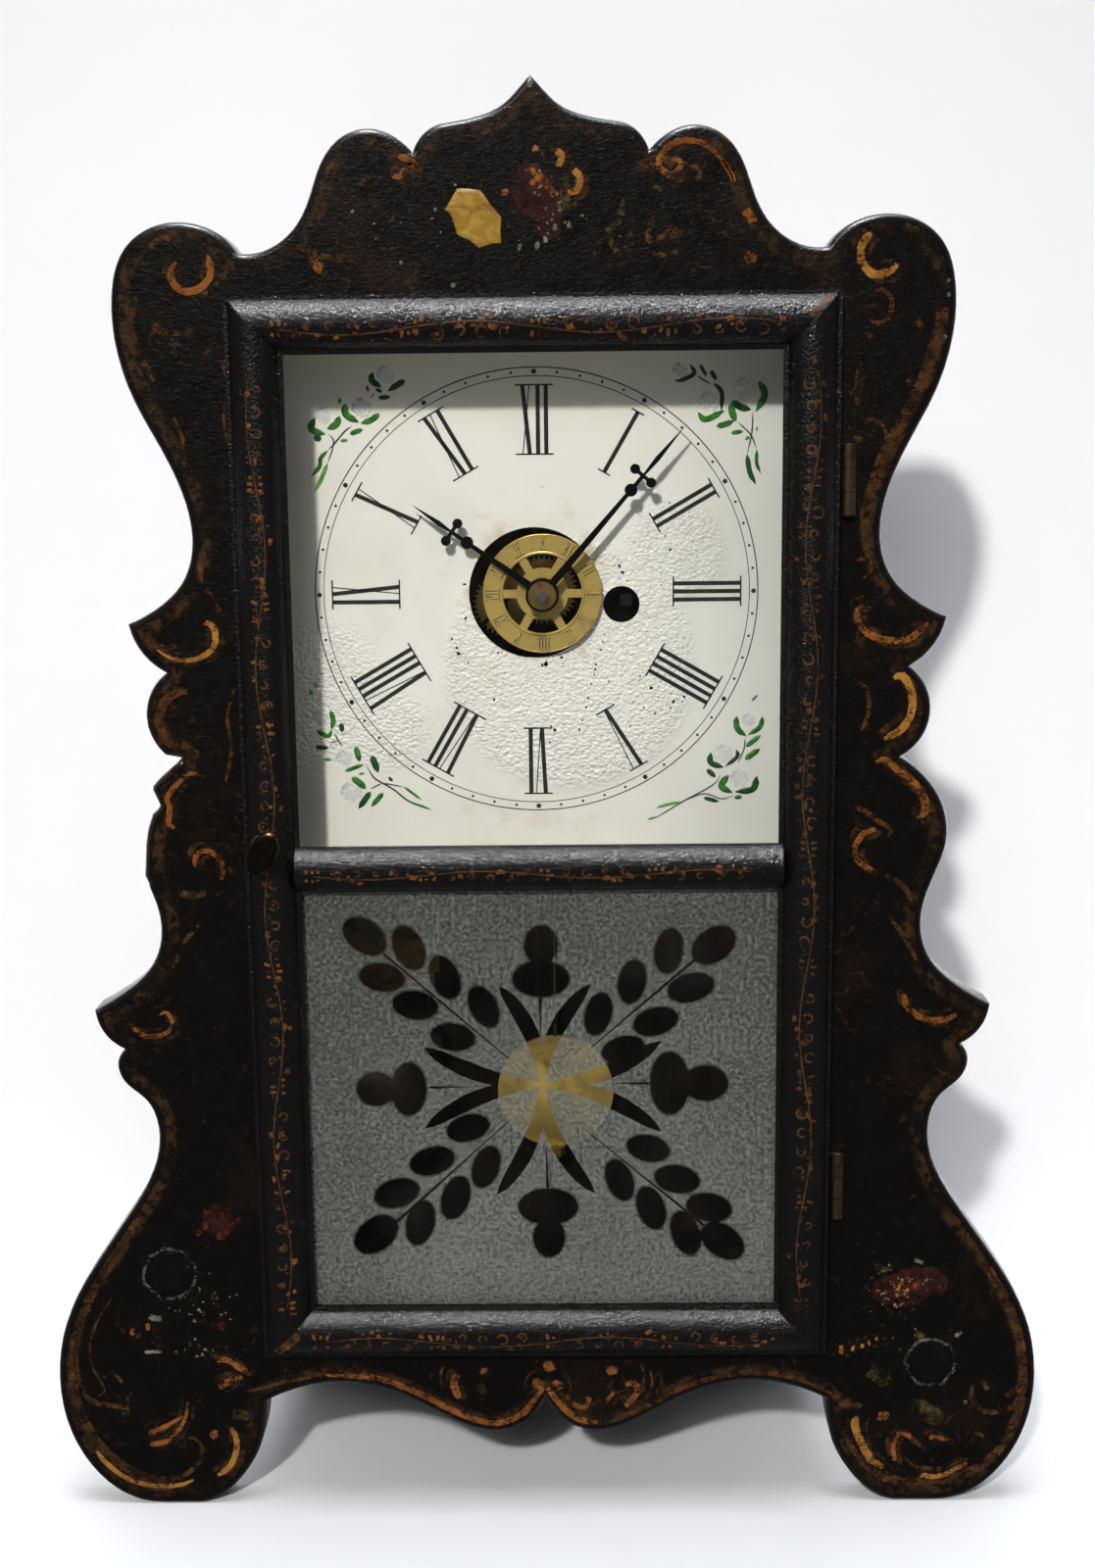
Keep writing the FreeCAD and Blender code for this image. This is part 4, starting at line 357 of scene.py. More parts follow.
def draw_rail_japan(tree):
    """The mouldings' japan, with a pebbled skin."""
    height = tree.group(WRINKLES, Stretch=(0.8, 1.0, 1.2), Scale=430.0, Peel_Scale=1450.0, Peel=1.9)[0]
    return {"Base Color": tree.mix(0.45, japan_ground(tree, 0.60), JAPAN_DEEP),
            "Roughness": japan_gloss(tree, 0.10, 0.22), "Normal": tree.bump(height, 0.6, 0.00032)}


def painted(name, colour, dark, amount, solid=0.95, scale=300.0):
    """A brushed-on colour that is rubbed through to the ground, most of all along its edges."""

    def draw(tree):
        kept = tree.group(WORN, Scale=scale, Amount=amount, Cover=tree.attribute("cover"))[0]
        tone = tree.noise(tree.place(), 210.0, 3.0, 0.5)
        height = tree.group(WRINKLES, Stretch=(1.0, 1.0, 4.0), Scale=240.0)[0]
        return {"Base Color": tree.mix(tree.ramp(tone, 0.32, 0.68), dark, colour),
                "Alpha": tree.math("MULTIPLY", kept, solid), "Roughness": tree.spread(tone, 0.28, 0.42),
                "Normal": tree.bump(height, 0.25, 0.0003)}

    return finish(name, draw, Specular_IOR_Level=0.2)


DIAL_CREAM, DIAL_CLOUD = (0.750, 0.742, 0.655), (0.675, 0.648, 0.545)
DIAL_STAIN, DIAL_FOXING = (0.50, 0.40, 0.24), (0.55, 0.45, 0.28)
# Painted shade on the dial: the first colour along its top and left edges under the door's frame, the second towards
# its right.
DIAL_EDGE_SHADE, DIAL_RIGHT_SHADE = (0.58, 0.53, 0.33), (0.48, 0.49, 0.45)
ROUND_HOLES = ((-3.0, 272.0, 19.0, 13.0), (24.0, 270.0, 6.0, 9.0))       # x, z, radius, soft edge
FOXED_FOOT = (0.0, 205.0, 6.0, 30.0)
CRINKLED = ((9.0, 251.5, 33.0, 6.0), (39.0, 283.0, 11.0, 7.0), (-66.0, 244.0, 15.0, 12.0), (-44.0, 233.0, 7.0, 9.0))


def draw_dial_paint(tree):
    """Cream paint on sheet metal: crinkled round the centre and at the left, and stained by the holes; painted shade
    darkens it along its top and left edges and towards its right.
    """
    clouds = tree.group(PATCHES, Scale=34.0, Low=0.42, High=0.72)[0]
    blots = tree.noise(tree.place(), 105.0, 5.0, 0.62)
    axes = tree.axes()
    stain = tree.math("MULTIPLY", tree.near(*ROUND_HOLES), tree.ramp(blots, 0.5, 0.68))
    foxing = tree.math("MULTIPLY", tree.near(FOXED_FOOT), tree.ramp(blots, 0.5, 0.75))
    # Painted shade: a warm darker tint along the dial's top and left edges, where the door's frame shades them.
    edge_shade = tree.math("MAXIMUM", tree.ramp(axes["Z"], 0.316, 0.337, 0.0, 0.6),
                       tree.ramp(axes["X"], -0.072, -0.058, 0.4, 0.0))
    cream = tree.mix(clouds, DIAL_CREAM, DIAL_CLOUD, 0.5)
    stained = tree.mix(stain, cream, DIAL_STAIN, 0.62)
    foxed = tree.mix(foxing, stained, DIAL_FOXING, 0.35)
    edge_shaded = tree.mix(edge_shade, foxed, DIAL_EDGE_SHADE)
    # Painted shade: darker towards the dial's right, where less light reaches it.
    right_shaded = tree.mix(tree.ramp(axes["X"], 0.020, 0.074, 0.0, 0.55), edge_shaded, DIAL_RIGHT_SHADE)
    folds = tree.math("SUBTRACT", 1.0, tree.cells(tree.place((1.0, 1.0, 1.35)), 780.0))
    waves = tree.noise(tree.place(), 600.0, 2.0, 0.5, 1.4)
    skin = tree.noise(tree.place(), 90.0, 3.0, 0.5)
    height = tree.sum_of((tree.math("ADD", folds, waves), tree.near(*CRINKLED)), (skin, 0.35))
    return {"Base Color": right_shaded, "Roughness": tree.spread(blots, 0.32, 0.46),
            "Normal": tree.bump(height, 0.9, 0.00062)}


def wooden(name, light, dark, stretch, rough, outside=None, **constants):
    """Planed wood with its grain along one axis; with outside, that colour shows on the case's rear face."""

    def draw(tree):
        grain = tree.group(GRAIN, Stretch=stretch, Scale=55.0)
        dirt = tree.group(PATCHES, Scale=18.0, Low=0.42, High=0.72)[0]
        grimy = tree.mix(dirt, tree.mix(grain["Tone"], dark, light), shaded(dark, 0.45), 0.6)
        if outside:
            rear = tree.ramp(tree.axes()["Y"], (CASE_REAR - 1.2) * MM, (CASE_REAR - 0.4) * MM)
            grimy = tree.mix(rear, grimy, tree.mix(grain["Tone"], shaded(outside, 0.4), outside))
        return {"Base Color": grimy, "Roughness": tree.ramp(grain["Tone"], 0.0, 1.0, rough + 0.1, rough - 0.06),
                "Normal": tree.bump(grain["Height"], 0.35, 0.0004)}

    return finish(name, draw, **constants)


def metal(name, bright, dull, low, rough, scale=70.0, clean=1.0):
    """A metal that has tarnished in clouds and specks; clean is how far it still is bare metal."""

    def draw(tree):
        tarnish = tree.group(TARNISH, Scale=scale, Low=low, High=low + 0.24)[0]
        scratches = tree.noise(tree.place((1.0, 1.0, 9.0)), 420.0, 2.0, 0.5)
        return {"Base Color": tree.mix(tarnish, bright, dull),
                "Roughness": tree.ramp(tarnish, 0.0, 1.0, rough, rough + 0.24),
                "Normal": tree.bump(scratches, 0.10, 0.0001)}

    return finish(name, draw, Metallic=clean)


def enamel(name, colour, dark, rough):
    """A small stroke of paint on the dial, thicker and darker in places."""

    def draw(tree):
        tone = tree.ramp(tree.noise(tree.place(), 520.0, 3.0, 0.55), 0.36, 0.64)
        return {"Base Color": tree.mix(tone, dark, colour), "Roughness": tree.ramp(tone, 0.0, 1.0, rough, rough + 0.1)}

    return finish(name, draw)


GLASS_CLEAN, GLASS_DUST = (0.02, 0.024, 0.022), (0.09, 0.09, 0.08)
FROST_DARK, FROST_PALE = (0.070, 0.077, 0.066), (0.262, 0.272, 0.240)
PEARL_DEEP, PEARL_PALE, PEARL_STAIN = (0.22, 0.125, 0.012), (0.30, 0.185, 0.030), (0.16, 0.06, 0.010)
KNOB_DARK, KNOB_LIT_COPPER = (0.035, 0.026, 0.018), (0.46, 0.20, 0.095)
KNOB_LIT_END, KNOB_STANDS = (283.0, 841.0), 12.0     # where the painted highlight on the knob's upper end is centred, and how far the knob stands out


def draw_clear_glass(tree):
    """Old glass with a slight ripple and some dust."""
    dust = tree.group(PATCHES, Scale=20.0, Low=0.45, High=0.75)[0]
    ripple = tree.noise(tree.place((1.0, 1.0, 0.4)), 30.0, 2.0, 0.4)
    return {"Base Color": tree.mix(dust, GLASS_CLEAN, GLASS_DUST), "Alpha": tree.ramp(dust, 0.0, 1.0, 0.035, 0.06),
            "Normal": tree.bump(ripple, 0.08, 0.0004)}


def draw_frost(tree):
    """Ground glass: finely speckled, a little darker towards its top and its left as painted shade, and thinned at the
    edge of each clear oval.
    """
    speckle = tree.noise(tree.place(), 950.0, 3.0, 0.7)
    cloud = tree.noise(tree.place(), 22.0, 4.0, 0.55)
    axes = tree.axes()
    # Painted shade: the tone falls towards the tablet's top and its left, where the mouldings shade the glass.
    tone = tree.math("ADD", tree.sum_of((speckle, 0.8), (cloud, 0.2)),
                     tree.ramp(axes["Z"], 0.060, 0.190, 0.06, -0.03), tree.ramp(axes["X"], -0.068, -0.02, -0.05, 0.0))
    return {"Base Color": tree.mix(tree.ramp(tone, 0.36, 0.68), FROST_DARK, FROST_PALE),
            "Alpha": tree.math("MULTIPLY", tree.spread(speckle, 0.36, 0.54), tree.attribute("ground")),
            "Roughness": tree.spread(speckle, 0.6, 0.85)}


def draw_pearl(tree):
    """A worn shell inlay, stained in places."""
    stain = tree.group(PATCHES, Scale=150.0, Low=0.50, High=0.70)[0]
    sheen = tree.noise(tree.place((1.0, 1.0, 2.0)), 130.0, 3.0, 0.5, 2.0)
    shell = tree.mix(tree.ramp(sheen, 0.35, 0.65), PEARL_DEEP, PEARL_PALE)
    return {"Base Color": tree.mix(stain, shell, PEARL_STAIN, 0.8), "Roughness": tree.spread(sheen, 0.2, 0.36)}


def draw_knob_bronze(tree):
    """Dark bronze with copper colour at the knob's upper end as a painted highlight, where light falls on it."""
    rubbed = tree.noise(tree.place(), 420.0, 4.0, 0.6)
    # Painted highlight: lighter copper round the knob's upper end, broken up by noise.
    end = seen_at(*KNOB_LIT_END, BOARD_FRONT - KNOB_STANDS)
    copper = tree.math("MULTIPLY", tree.near((end.x, end.y, 1.2, 3.0)), tree.ramp(rubbed, 0.34, 0.56))
    return {"Base Color": tree.mix(copper, KNOB_DARK, KNOB_LIT_COPPER), "Roughness": tree.spread(rubbed, 0.22, 0.38)}


BOARD_JAPAN = finish("board japan", draw_board_japan, Specular_IOR_Level=0.16, Coat_Roughness=0.2)
RAIL_JAPAN = finish("rail japan", draw_rail_japan, Specular_IOR_Level=0.5)
PAINTS = {
    "maroon": painted("maroon ground", (0.034, 0.0085, 0.0062), (0.016, 0.0045, 0.0036), 0.36, 0.85),
    "brown": painted("brown paint", (0.100, 0.040, 0.0105), (0.048, 0.020, 0.0062), 0.44, 0.75),
    "olive": painted("olive paint", (0.075, 0.052, 0.014), (0.034, 0.024, 0.008), 0.45, 0.8),
    "red": painted("red paint", (0.120, 0.021, 0.0065), (0.045, 0.009, 0.004), 0.45, 0.85),
    "pale": painted("pale paint", (0.17, 0.16, 0.115), (0.08, 0.075, 0.05), 0.40),
    "orange": painted("orange paint", (0.215, 0.070, 0.0110), (0.115, 0.037, 0.0075), 0.41),
    "gold": painted("gold paint", (0.32, 0.138, 0.021), (0.18, 0.074, 0.0125), 0.39),
}
HALO = painted("old brown brushwork", (0.060, 0.026, 0.0078), (0.026, 0.0125, 0.0050), 0.47, 0.8, 240.0)
SCAR_RAG = painted("scar rag", (0.105, 0.098, 0.086), (0.045, 0.040, 0.034), 0.46)
RUST = painted("rust paint", (0.170, 0.060, 0.0110), (0.085, 0.032, 0.0075), 0.37, 0.9)
VINE_BROWN = painted("vine brown", (0.090, 0.037, 0.0105), (0.042, 0.019, 0.0064), 0.38, 0.8)
SCAR = painted("scarred japan", (0.0022, 0.0018, 0.0016), (0.004, 0.003, 0.0026), 0.28)
DIAL_PAINT = finish("dial paint", draw_dial_paint)
DIAL_BLACK = enamel("dial black", (0.010, 0.010, 0.010), (0.022, 0.020, 0.018), 0.4)
DIAL_LEAF = enamel("leaf green", (0.035, 0.20, 0.022), (0.012, 0.085, 0.012), 0.35)
DIAL_DARK_LEAF = enamel("dark leaf green", (0.012, 0.070, 0.014), (0.006, 0.026, 0.008), 0.35)
DIAL_PALE_LEAF = enamel("pale leaf green", (0.13, 0.36, 0.055), (0.06, 0.22, 0.03), 0.35)
DIAL_BERRY = painted("berry white", (0.71, 0.72, 0.69), (0.64, 0.66, 0.66), 0.40, 0.6)
DIAL_BERRY_SHADE = painted("berry shade", (0.47, 0.53, 0.58), (0.56, 0.61, 0.64), 0.42, 0.5)
WOOD_PALE, WOOD_DARK = (0.150, 0.066, 0.025), (0.050, 0.020, 0.009)
GRAIN_UP, GRAIN_ACROSS = (1.0, 1.0, 0.07), (0.07, 1.0, 1.0)
CASE_WOOD = {
    "up": wooden("case wood upright", WOOD_PALE, WOOD_DARK, GRAIN_UP, 0.55),
    "across": wooden("case wood across", WOOD_PALE, WOOD_DARK, GRAIN_ACROSS, 0.55),
    # The back board and the bottom are painted near black as painted shade inside the case; the back board's rear face
    # keeps a lighter brown.
    "dark": wooden("back board wood darkened as shade inside", (0.012, 0.008, 0.006), (0.005, 0.0036, 0.0028), GRAIN_UP, 0.75,
                   (0.125, 0.060, 0.026), Specular_IOR_Level=0.08),
}
AGED_BRASS = metal("aged brass", (0.62, 0.43, 0.155), (0.23, 0.13, 0.045), 0.46, 0.30)
DISC_BRASS = metal("disc brass", (0.58, 0.42, 0.115), (0.28, 0.19, 0.05), 0.52, 0.34, clean=0.5)
# Painted light on the alarm disc: a lighter brass on the raised letters as their highlight, a dark brass for their
# shadow.
RAISED_HIGHLIGHT_BRASS = metal("raised brass with painted highlight", (0.66, 0.51, 0.19), (0.42, 0.30, 0.09), 0.50, 0.30, clean=0.5)
LETTER_SHADOW_BRASS = metal("painted letter shadow", (0.15, 0.10, 0.028), (0.08, 0.055, 0.016), 0.50, 0.45, clean=0.5)
BOB_BRASS = metal("bob brass", (0.50, 0.37, 0.11), (0.32, 0.22, 0.06), 0.48, 0.62, 130.0, clean=0.45)
# Brass inside the case, darkened well below its own colour: tarnish, and painted shade for the dark inside of the case.
BRASS_DARKENED_IN_CASE = metal("brass darkened for the shade in the case", (0.15, 0.105, 0.045), (0.05, 0.036, 0.018), 0.42, 0.5)
HINGE_BRASS = metal("hinge brass", (0.22, 0.145, 0.08), (0.05, 0.034, 0.022), 0.42, 0.34, 160.0)
# The movement's plates: tarnish, and painted shade for the dark inside of the case.
PLATE_BRASS_DARKENED = metal("tarnished plate brass darkened for the shade in the case", (0.075, 0.050, 0.020), (0.022, 0.016, 0.009), 0.42, 0.42)
KNOB_BRONZE = finish("knob bronze", draw_knob_bronze, Metallic=1.0)
BELL_BRONZE = metal("bell bronze", (0.030, 0.021, 0.014), (0.013, 0.010, 0.008), 0.40, 0.45)
DARK_STEEL = metal("dark steel", (0.10, 0.095, 0.09), (0.04, 0.034, 0.03), 0.46, 0.34)
STEEL = metal("worked steel", (0.46, 0.45, 0.43), (0.16, 0.13, 0.11), 0.50, 0.30)
BLACK_IRON = metal("blackened iron", (0.020, 0.020, 0.021), (0.035, 0.027, 0.022), 0.55, 0.34)
CLEAR_GLASS = finish("clear glass", draw_clear_glass, Roughness=0.03, IOR=1.5)
FROST = finish("ground glass", draw_frost, Specular_IOR_Level=0.25)
PEARL = finish("pearl patch", draw_pearl, Coat_Weight=0.15, Coat_Roughness=0.12)

SLOT_FINISH = {"japanned": RAIL_JAPAN, "case_wood": CASE_WOOD["up"], "dial_paint": DIAL_PAINT,
               "brass": AGED_BRASS, "black_iron": BLACK_IRON, "steel": STEEL, "clear_glass": CLEAR_GLASS,
               "frosted_glass": CLEAR_GLASS}
NODE_FINISH = {name: skin for skin, names in (
    (CASE_WOOD["across"], "case_top"), (CASE_WOOD["dark"], "case_bottom case_back"), (KNOB_BRONZE, "latch_knob"),
    (HINGE_BRASS, "hinge_board_leaves hinge_door_leaves latch_rosette"), (DISC_BRASS, "alarm_disc"),
    (BOB_BRASS, "pendulum_bob"), (BELL_BRONZE, "alarm_bell"), (BRASS_DARKENED_IN_CASE, "alarm_frame alarm_wheel"),
    (PLATE_BRASS_DARKENED, "movement_front_plate movement_back_plate"),
    (DARK_STEEL, "alarm_mainspring alarm_arbor bell_post winding_arbor pendulum_rod"),
) for name in names.split()}


def dress_nodes():
    """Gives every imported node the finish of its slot, or its own."""
    for part in frame["record"]["subparts"]:
        name = part.get("node") or part["name"]
        skin = frame["nodes"][name].data.materials
        worn = NODE_FINISH.get(name, SLOT_FINISH[part["material_slot"]])
        skin.clear()
        skin.append(worn)


# ---------------------------------------------------------------- meshes


class Pile:
    """The points and faces of one piece, gathered in millimetres, and how well its paint covers at each point."""

    def __init__(self):
        self.points, self.faces, self.cover = [], [], []

    def add(self, points, faces, cover=None):
        start = len(self.points)
        self.points += [tuple(p) for p in points]
        self.faces += [[start + i for i in face] for face in faces]
        self.cover += cover or [1.0] * len(points)

    def loft(self, rings, closed=False, cover=None):
        """A skin over rings of equal length, each ring a loop; the ends are capped unless it runs round."""
        wide, count = len(rings[0]), len(rings)
        faces = [[i * wide + j, i * wide + (j + 1) % wide, (i + 1) % count * wide + (j + 1) % wide,
                  (i + 1) % count * wide + j] for i in range(count if closed else count - 1) for j in range(wide)]
        if not closed:
            faces += [list(range(wide))[::-1], [(count - 1) * wide + j for j in range(wide)]]
        self.add([p for ring in rings for p in ring], faces, cover)

    def piece(self, name, skin, body, slot=None, smooth=True):
        mesh = bpy.data.meshes.new(name)
        mesh.from_pydata([Vector(p) * MM for p in self.points], [], self.faces)
        mesh.attributes.new("cover", "FLOAT", "POINT").data.foreach_set("value", self.cover)
        return settle(name, mesh, skin, body, smooth)


def settle(name, mesh, skin, body, smooth=True):
    """Makes a closed mesh a finished piece that rides on its body."""
    work = bmesh.new()
    work.from_mesh(mesh)
    bmesh.ops.recalc_face_normals(work, faces=work.faces)
    for face in work.faces:
        face.smooth = smooth
    work.to_mesh(mesh)
    work.free()
    mesh.materials.clear()
    mesh.materials.append(skin)
    made = bpy.data.objects.new(name, mesh)
    bpy.context.scene.collection.objects.link(made)
    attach(made, body)
    return made


def flat_face(y):
    """An upright face that looks to the front: (x, z) to a point on it and the way it faces."""
    return lambda q: (Vector((q[0], y, q[1])), Vector((0, -1, 0)))


BOARD_FACE, DIAL_FACE, DISC_FACE = flat_face(BOARD_FRONT), flat_face(DIAL_FRONT), flat_face(DISC_FRONT)

SINK = 0.06            # how far a mark's edge goes under the surface that carries it
CROWN = 0.55           # the share of a stroke's half width that stands at its full height
OPENS, CLOSES = 0.22, 0.30         # the shares of a stroke's length over which it widens and narrows
END_COVER = 0.3        # how well the paint covers at a stroke's two ends
DOME = ((1.0, None), (0.74, 0.75), (0.30, 1.0))      # a dab's rings: share of its radius, share of its height


def raised(face, spot, height):
    """The point that stands a height out from a spot on a face."""
    point, out = face(spot)
    return point + out * height


def square_to(a, b):
    """The direction to the left of the way from a to b."""
    along = (b - a).normalized()
    return Vector((-along.y, along.x))


def ray(angle):
    """A step of one in a direction."""
    return Vector((math.cos(angle), math.sin(angle)))


def middle_of(points):
    """The mean of some (x, z) points."""
    return sum(points, Vector((0, 0))) / len(points)


def round_loop(ring):
    """The pairs of neighbours round a closed loop."""
    return zip(ring, ring[1:] + ring[:1])


def smooth_path(points, step):
    """Points along a smooth line through the given ones, about a step apart."""
    given = [Vector(p) for p in points]
    if len(given) == 2:
        count = max(2, int((given[1] - given[0]).length / step))
        return [given[0].lerp(given[1], i / count) for i in range(count + 1)]
    ends = [given[0] * 2 - given[1], *given, given[-1] * 2 - given[-2]]
    made = []
    for a, b, c, d in zip(ends, ends[1:], ends[2:], ends[3:]):
        count = max(1, int((c - b).length / step))
        for i in range(count):
            t = i / count
            made.append(0.5 * (2 * b + (c - a) * t + (2 * a - 5 * b + 4 * c - d) * t * t
                               + (3 * b - a - 3 * c + d) * t ** 3))
    return [*made, given[-1]]


def stroke(pile, face, points, width, lift=0.1, ends=(0.25, 0.25), step=0.9, sink=SINK):
    """A brush stroke: a low crowned strip along a smooth line, narrowed at its ends."""
    line = smooth_path(points, step)
    first, last = width if isinstance(width, tuple) else (width, width)
    section = ((-1.0, -sink), (-CROWN, lift), (CROWN, lift), (1.0, -sink))
    rings, cover = [], []
    for i, here in enumerate(line):
        side = square_to(line[max(i - 1, 0)], line[min(i + 1, len(line) - 1)])
        share = i / (len(line) - 1)
        half = 0.5 * (first + (last - first) * share)
        half *= min(1.0, ends[0] + share / OPENS) * min(1.0, ends[1] + (1 - share) / CLOSES)
        rings.append([raised(face, here + side * (across * half), height) for across, height in section])
        full = 1.0 if 0 < i < len(line) - 1 else END_COVER
        cover += [0.0, full, full, 0.0]
    pile.loft(rings, cover=cover)


def dab(pile, face, centre, radius, lift=0.1, ratio=1.0, tilt=0.0, count=14, ragged=0.0, seed=1, sink=SINK):
    """A dab of paint: a low dome on a round, oval or ragged foot."""
    rag = 1.0 + ragged * np.random.default_rng(seed).uniform(-1, 1, count)
    turn = Matrix.Rotation(math.radians(tilt), 2)
    rim = [turn @ Vector((math.cos(a), ratio * math.sin(a))) for a in (2 * math.pi * k / count for k in range(count))]
    rings = []
    for share, height in DOME:
        rise = -sink if height is None else height * lift
        rings.append([raised(face, Vector(centre) + spot * (radius * share * rag[k]), rise)
                      for k, spot in enumerate(rim)])
    pile.loft(rings, cover=[0.0] * count + [0.9] * count + [1.0] * count)


def patch(pile, face, outline, lift=0.1, bevel=0.5):
    """A flat patch with a bevelled edge, for an outline that its own middle can see all of."""
    middle = middle_of(outline)
    pile.loft([[raised(face, spot + (middle - spot).normalized() * inward, height) for spot in outline]
               for inward, height in ((0.0, -SINK), (bevel, lift), (bevel + 1.0, lift))])


def bar(pile, face, a, b, width, lift=0.05):
    """A straight pen line with square ends."""
    side = square_to(a, b) * (width / 2)
    corners = (a - side, b - side, b + side, a + side)
    pile.loft([[raised(face, spot, height) for spot in corners] for height in (-SINK, lift)])


# ---------------------------------------------------------------- the scroll-cut board

EDGE_ROUND = 1.5       # the worn round of the board's front edge
OUTLINE_STEP, OPENING_STEP = 1.3, 3.0
CORNER = math.radians(24)          # a turn of the outline that is kept as a corner
RIM_ROWS = (0.35, 0.9, 1.6, 2.6, 4.2, 6.5, 9.5)      # rows of points that follow the cut edge
GRID_STEP, GRID_FROM = 5.0, 10.5   # points over the rest of the face, and how far in from the edge they start
ROOM, OPENING_ROOM = 0.93, 1.2     # what a point keeps of its distance to the edge, and its room to the opening
BREAK = "187,772 160,797 154,805 164,826 156,828 150,847 148,863 147,894 152,905 150,915"
BREAK_LEAST, BREAK_SOFT = 0.3, 1.6 # how far an edge has moved to count as broken, and how far bare wood reaches in


def loops_of_front(node):
    """The closed loops of (x, z) that bound a node's front face, the longest first."""
    work = bmesh.new()
    work.from_mesh(frame["nodes"][node].data)
    bmesh.ops.remove_doubles(work, verts=work.verts, dist=1e-6)
    front = {f for f in work.faces
             if f.normal.y < -0.99 and abs(f.calc_center_median().y / MM - BOARD_FRONT) < 0.05}
    after = {}
    for f in front:
        for loop in f.loops:
            if sum(g in front for g in loop.edge.link_faces) == 1:
                after[loop.vert] = loop.link_loop_next.vert
    loops = []
    while after:
        start, here = next(iter(after.items()))
        ring = [start]
        del after[start]
        while here is not start:
            ring.append(here)
            here = after.pop(here)
        loops.append([Vector((v.co.x, v.co.z)) / MM for v in ring])
    work.free()
    return sorted(loops, key=lambda ring: -sum((a - b).length for a, b in round_loop(ring)))


def walk_loop(ring, step):
    """A loop's points about a step apart, with its corners kept."""
    count = len(ring)
    turned = [(ring[i] - ring[i - 1]).angle(ring[(i + 1) % count] - ring[i], 0.0) for i in range(count)]
    corners = [i for i in range(count) if turned[i] > CORNER] or [0]
    made = []
    for a, b in zip(corners, corners[1:] + [corners[0] + count]):
        run = [ring[i % count] for i in range(a, b + 1)]
        reach = np.concatenate([[0], np.cumsum([(q - p).length for p, q in zip(run, run[1:])])])
        spots = np.linspace(0, reach[-1], max(2, int(reach[-1] / step) + 1))[:-1]
        xs, zs = (np.interp(spots, reach, [p[k] for p in run]) for k in (0, 1))
        made += [Vector((float(x), float(z))) for x, z in zip(xs, zs)]
    return made


def inside(point, ring):
    """Whether an (x, z) point lies inside a loop."""
    hit = False
    for a, b in round_loop(ring):
        if (a.y > point.y) != (b.y > point.y) and point.x < (b.x - a.x) * (point.y - a.y) / (b.y - a.y) + a.x:
            hit = not hit
    return hit


def inside_many(points, ring):
    """Which of many (x, z) points lie inside a loop."""
    xs, zs = np.array([p[0] for p in points]), np.array([p[1] for p in points])
    hit = np.zeros(len(points), bool)
    for a, b in round_loop(ring):
        if a.y != b.y:
            hit ^= ((a.y > zs) != (b.y > zs)) & (xs < (b.x - a.x) * (zs - a.y) / (b.y - a.y) + a.x)
    return hit


def distance_from(points):
    """A measure of how far an (x, z) point is from the nearest of these."""
    tree = kdtree.KDTree(len(points))
    for i, p in enumerate(points):
        tree.insert((*p, 0), i)
    tree.balance()
    return lambda p: tree.find((*p, 0))[2]


def along_loop(ring, parts=3):
    """Points along a loop, with each of its sides cut into parts."""
    return [a.lerp(b, k / parts) for a, b in round_loop(ring) for k in range(parts)]


def loop_edges(start, count):
    """The edges that close a loop of points, by number."""
    return [(start + i, start + (i + 1) % count) for i in range(count)]


def fill(spots, edges, wanted):
    """Triangles over the spots that keep the edges, where their middles are wanted."""
    flat, _, tris, *_ = delaunay_2d_cdt(spots, edges, [], 0, 1e-5)
    middles = [middle_of([flat[i] for i in t]) for t in tris]
    return flat, [list(t) for t, keep in zip(tris, wanted(middles)) if keep]


def plate(name, flat, tris, fronts, back, **measures):
    """A closed plate on flat triangles: the y of its front at each point, the y of its back, and named measures."""
    work = bmesh.new()
    layers = {label: work.verts.layers.float.new(label) for label in measures}

    def row(ys):
        made = [work.verts.new((p.x * MM, y * MM, p.y * MM)) for p, y in zip(flat, ys)]
        for label, layer in layers.items():
            for vertex, value in zip(made, measures[label]):
                vertex[layer] = value
        return made

    top, foot = row(fronts), row([back] * len(flat))
    for t in tris:
        work.faces.new([top[i] for i in t])
        work.faces.new([foot[i] for i in reversed(t)])
    sides = dict.fromkeys(pair for t in tris for pair in round_loop(t))
    for a, b in sides:
        if (b, a) not in sides:
            work.faces.new([top[b], top[a], foot[a], foot[b]])
    bmesh.ops.delete(work, geom=[v for v in work.verts if not v.link_faces], context="VERTS")
    mesh = bpy.data.meshes.new(name)
    work.to_mesh(mesh)
    work.free()
    return mesh


def broken_edge(ring):
    """Takes the lost splinter off the left edge; says how far each point moved."""
    line = sorted(marks(BREAK, BOARD_FRONT), key=lambda p: p.y)
    heights, reach = [p.y for p in line], [p.x for p in line]
    moved = []
    for p in ring:
        cut = p.x
        if p.x < 0 and heights[0] < p.y < heights[-1]:
            cut = max(p.x, float(np.interp(p.y, heights, reach)))
        moved.append(cut - p.x)
        p.x = cut
    return moved


def edge_fall(away):
    """How far the worn round falls back from the board's face, this far in from its cut edge."""
    return 0.0 if away >= EDGE_ROUND else EDGE_ROUND - math.sqrt(EDGE_ROUND ** 2 - (EDGE_ROUND - away) ** 2)


def board_points(outline, opening, from_edge):
    """Points over the board's face: rows that follow the cut edge, and a grid over the rest."""
    count, rows = len(outline), []
    for depth in RIM_ROWS:
        for i in range(0, count, 1 if depth < 3 else 2):
            side = square_to(outline[i - 1], outline[(i + 1) % count])
            rows += [(outline[i] + side * (depth * sign), depth) for sign in (1, -1)]
    xs, zs = (np.arange(min(p[k] for p in outline), max(p[k] for p in outline), GRID_STEP) for k in (0, 1))
    rows += [(Vector((x, z)), GRID_FROM) for x in xs for z in zs]
    spots = [p for p, _ in rows]
    within = inside_many(spots, outline) & ~inside_many(spots, opening)
    from_opening = distance_from(opening)
    return [p for (p, depth), keep in zip(rows, within)
            if keep and from_edge(p) > ROOM * depth and from_opening(p) > OPENING_ROOM]


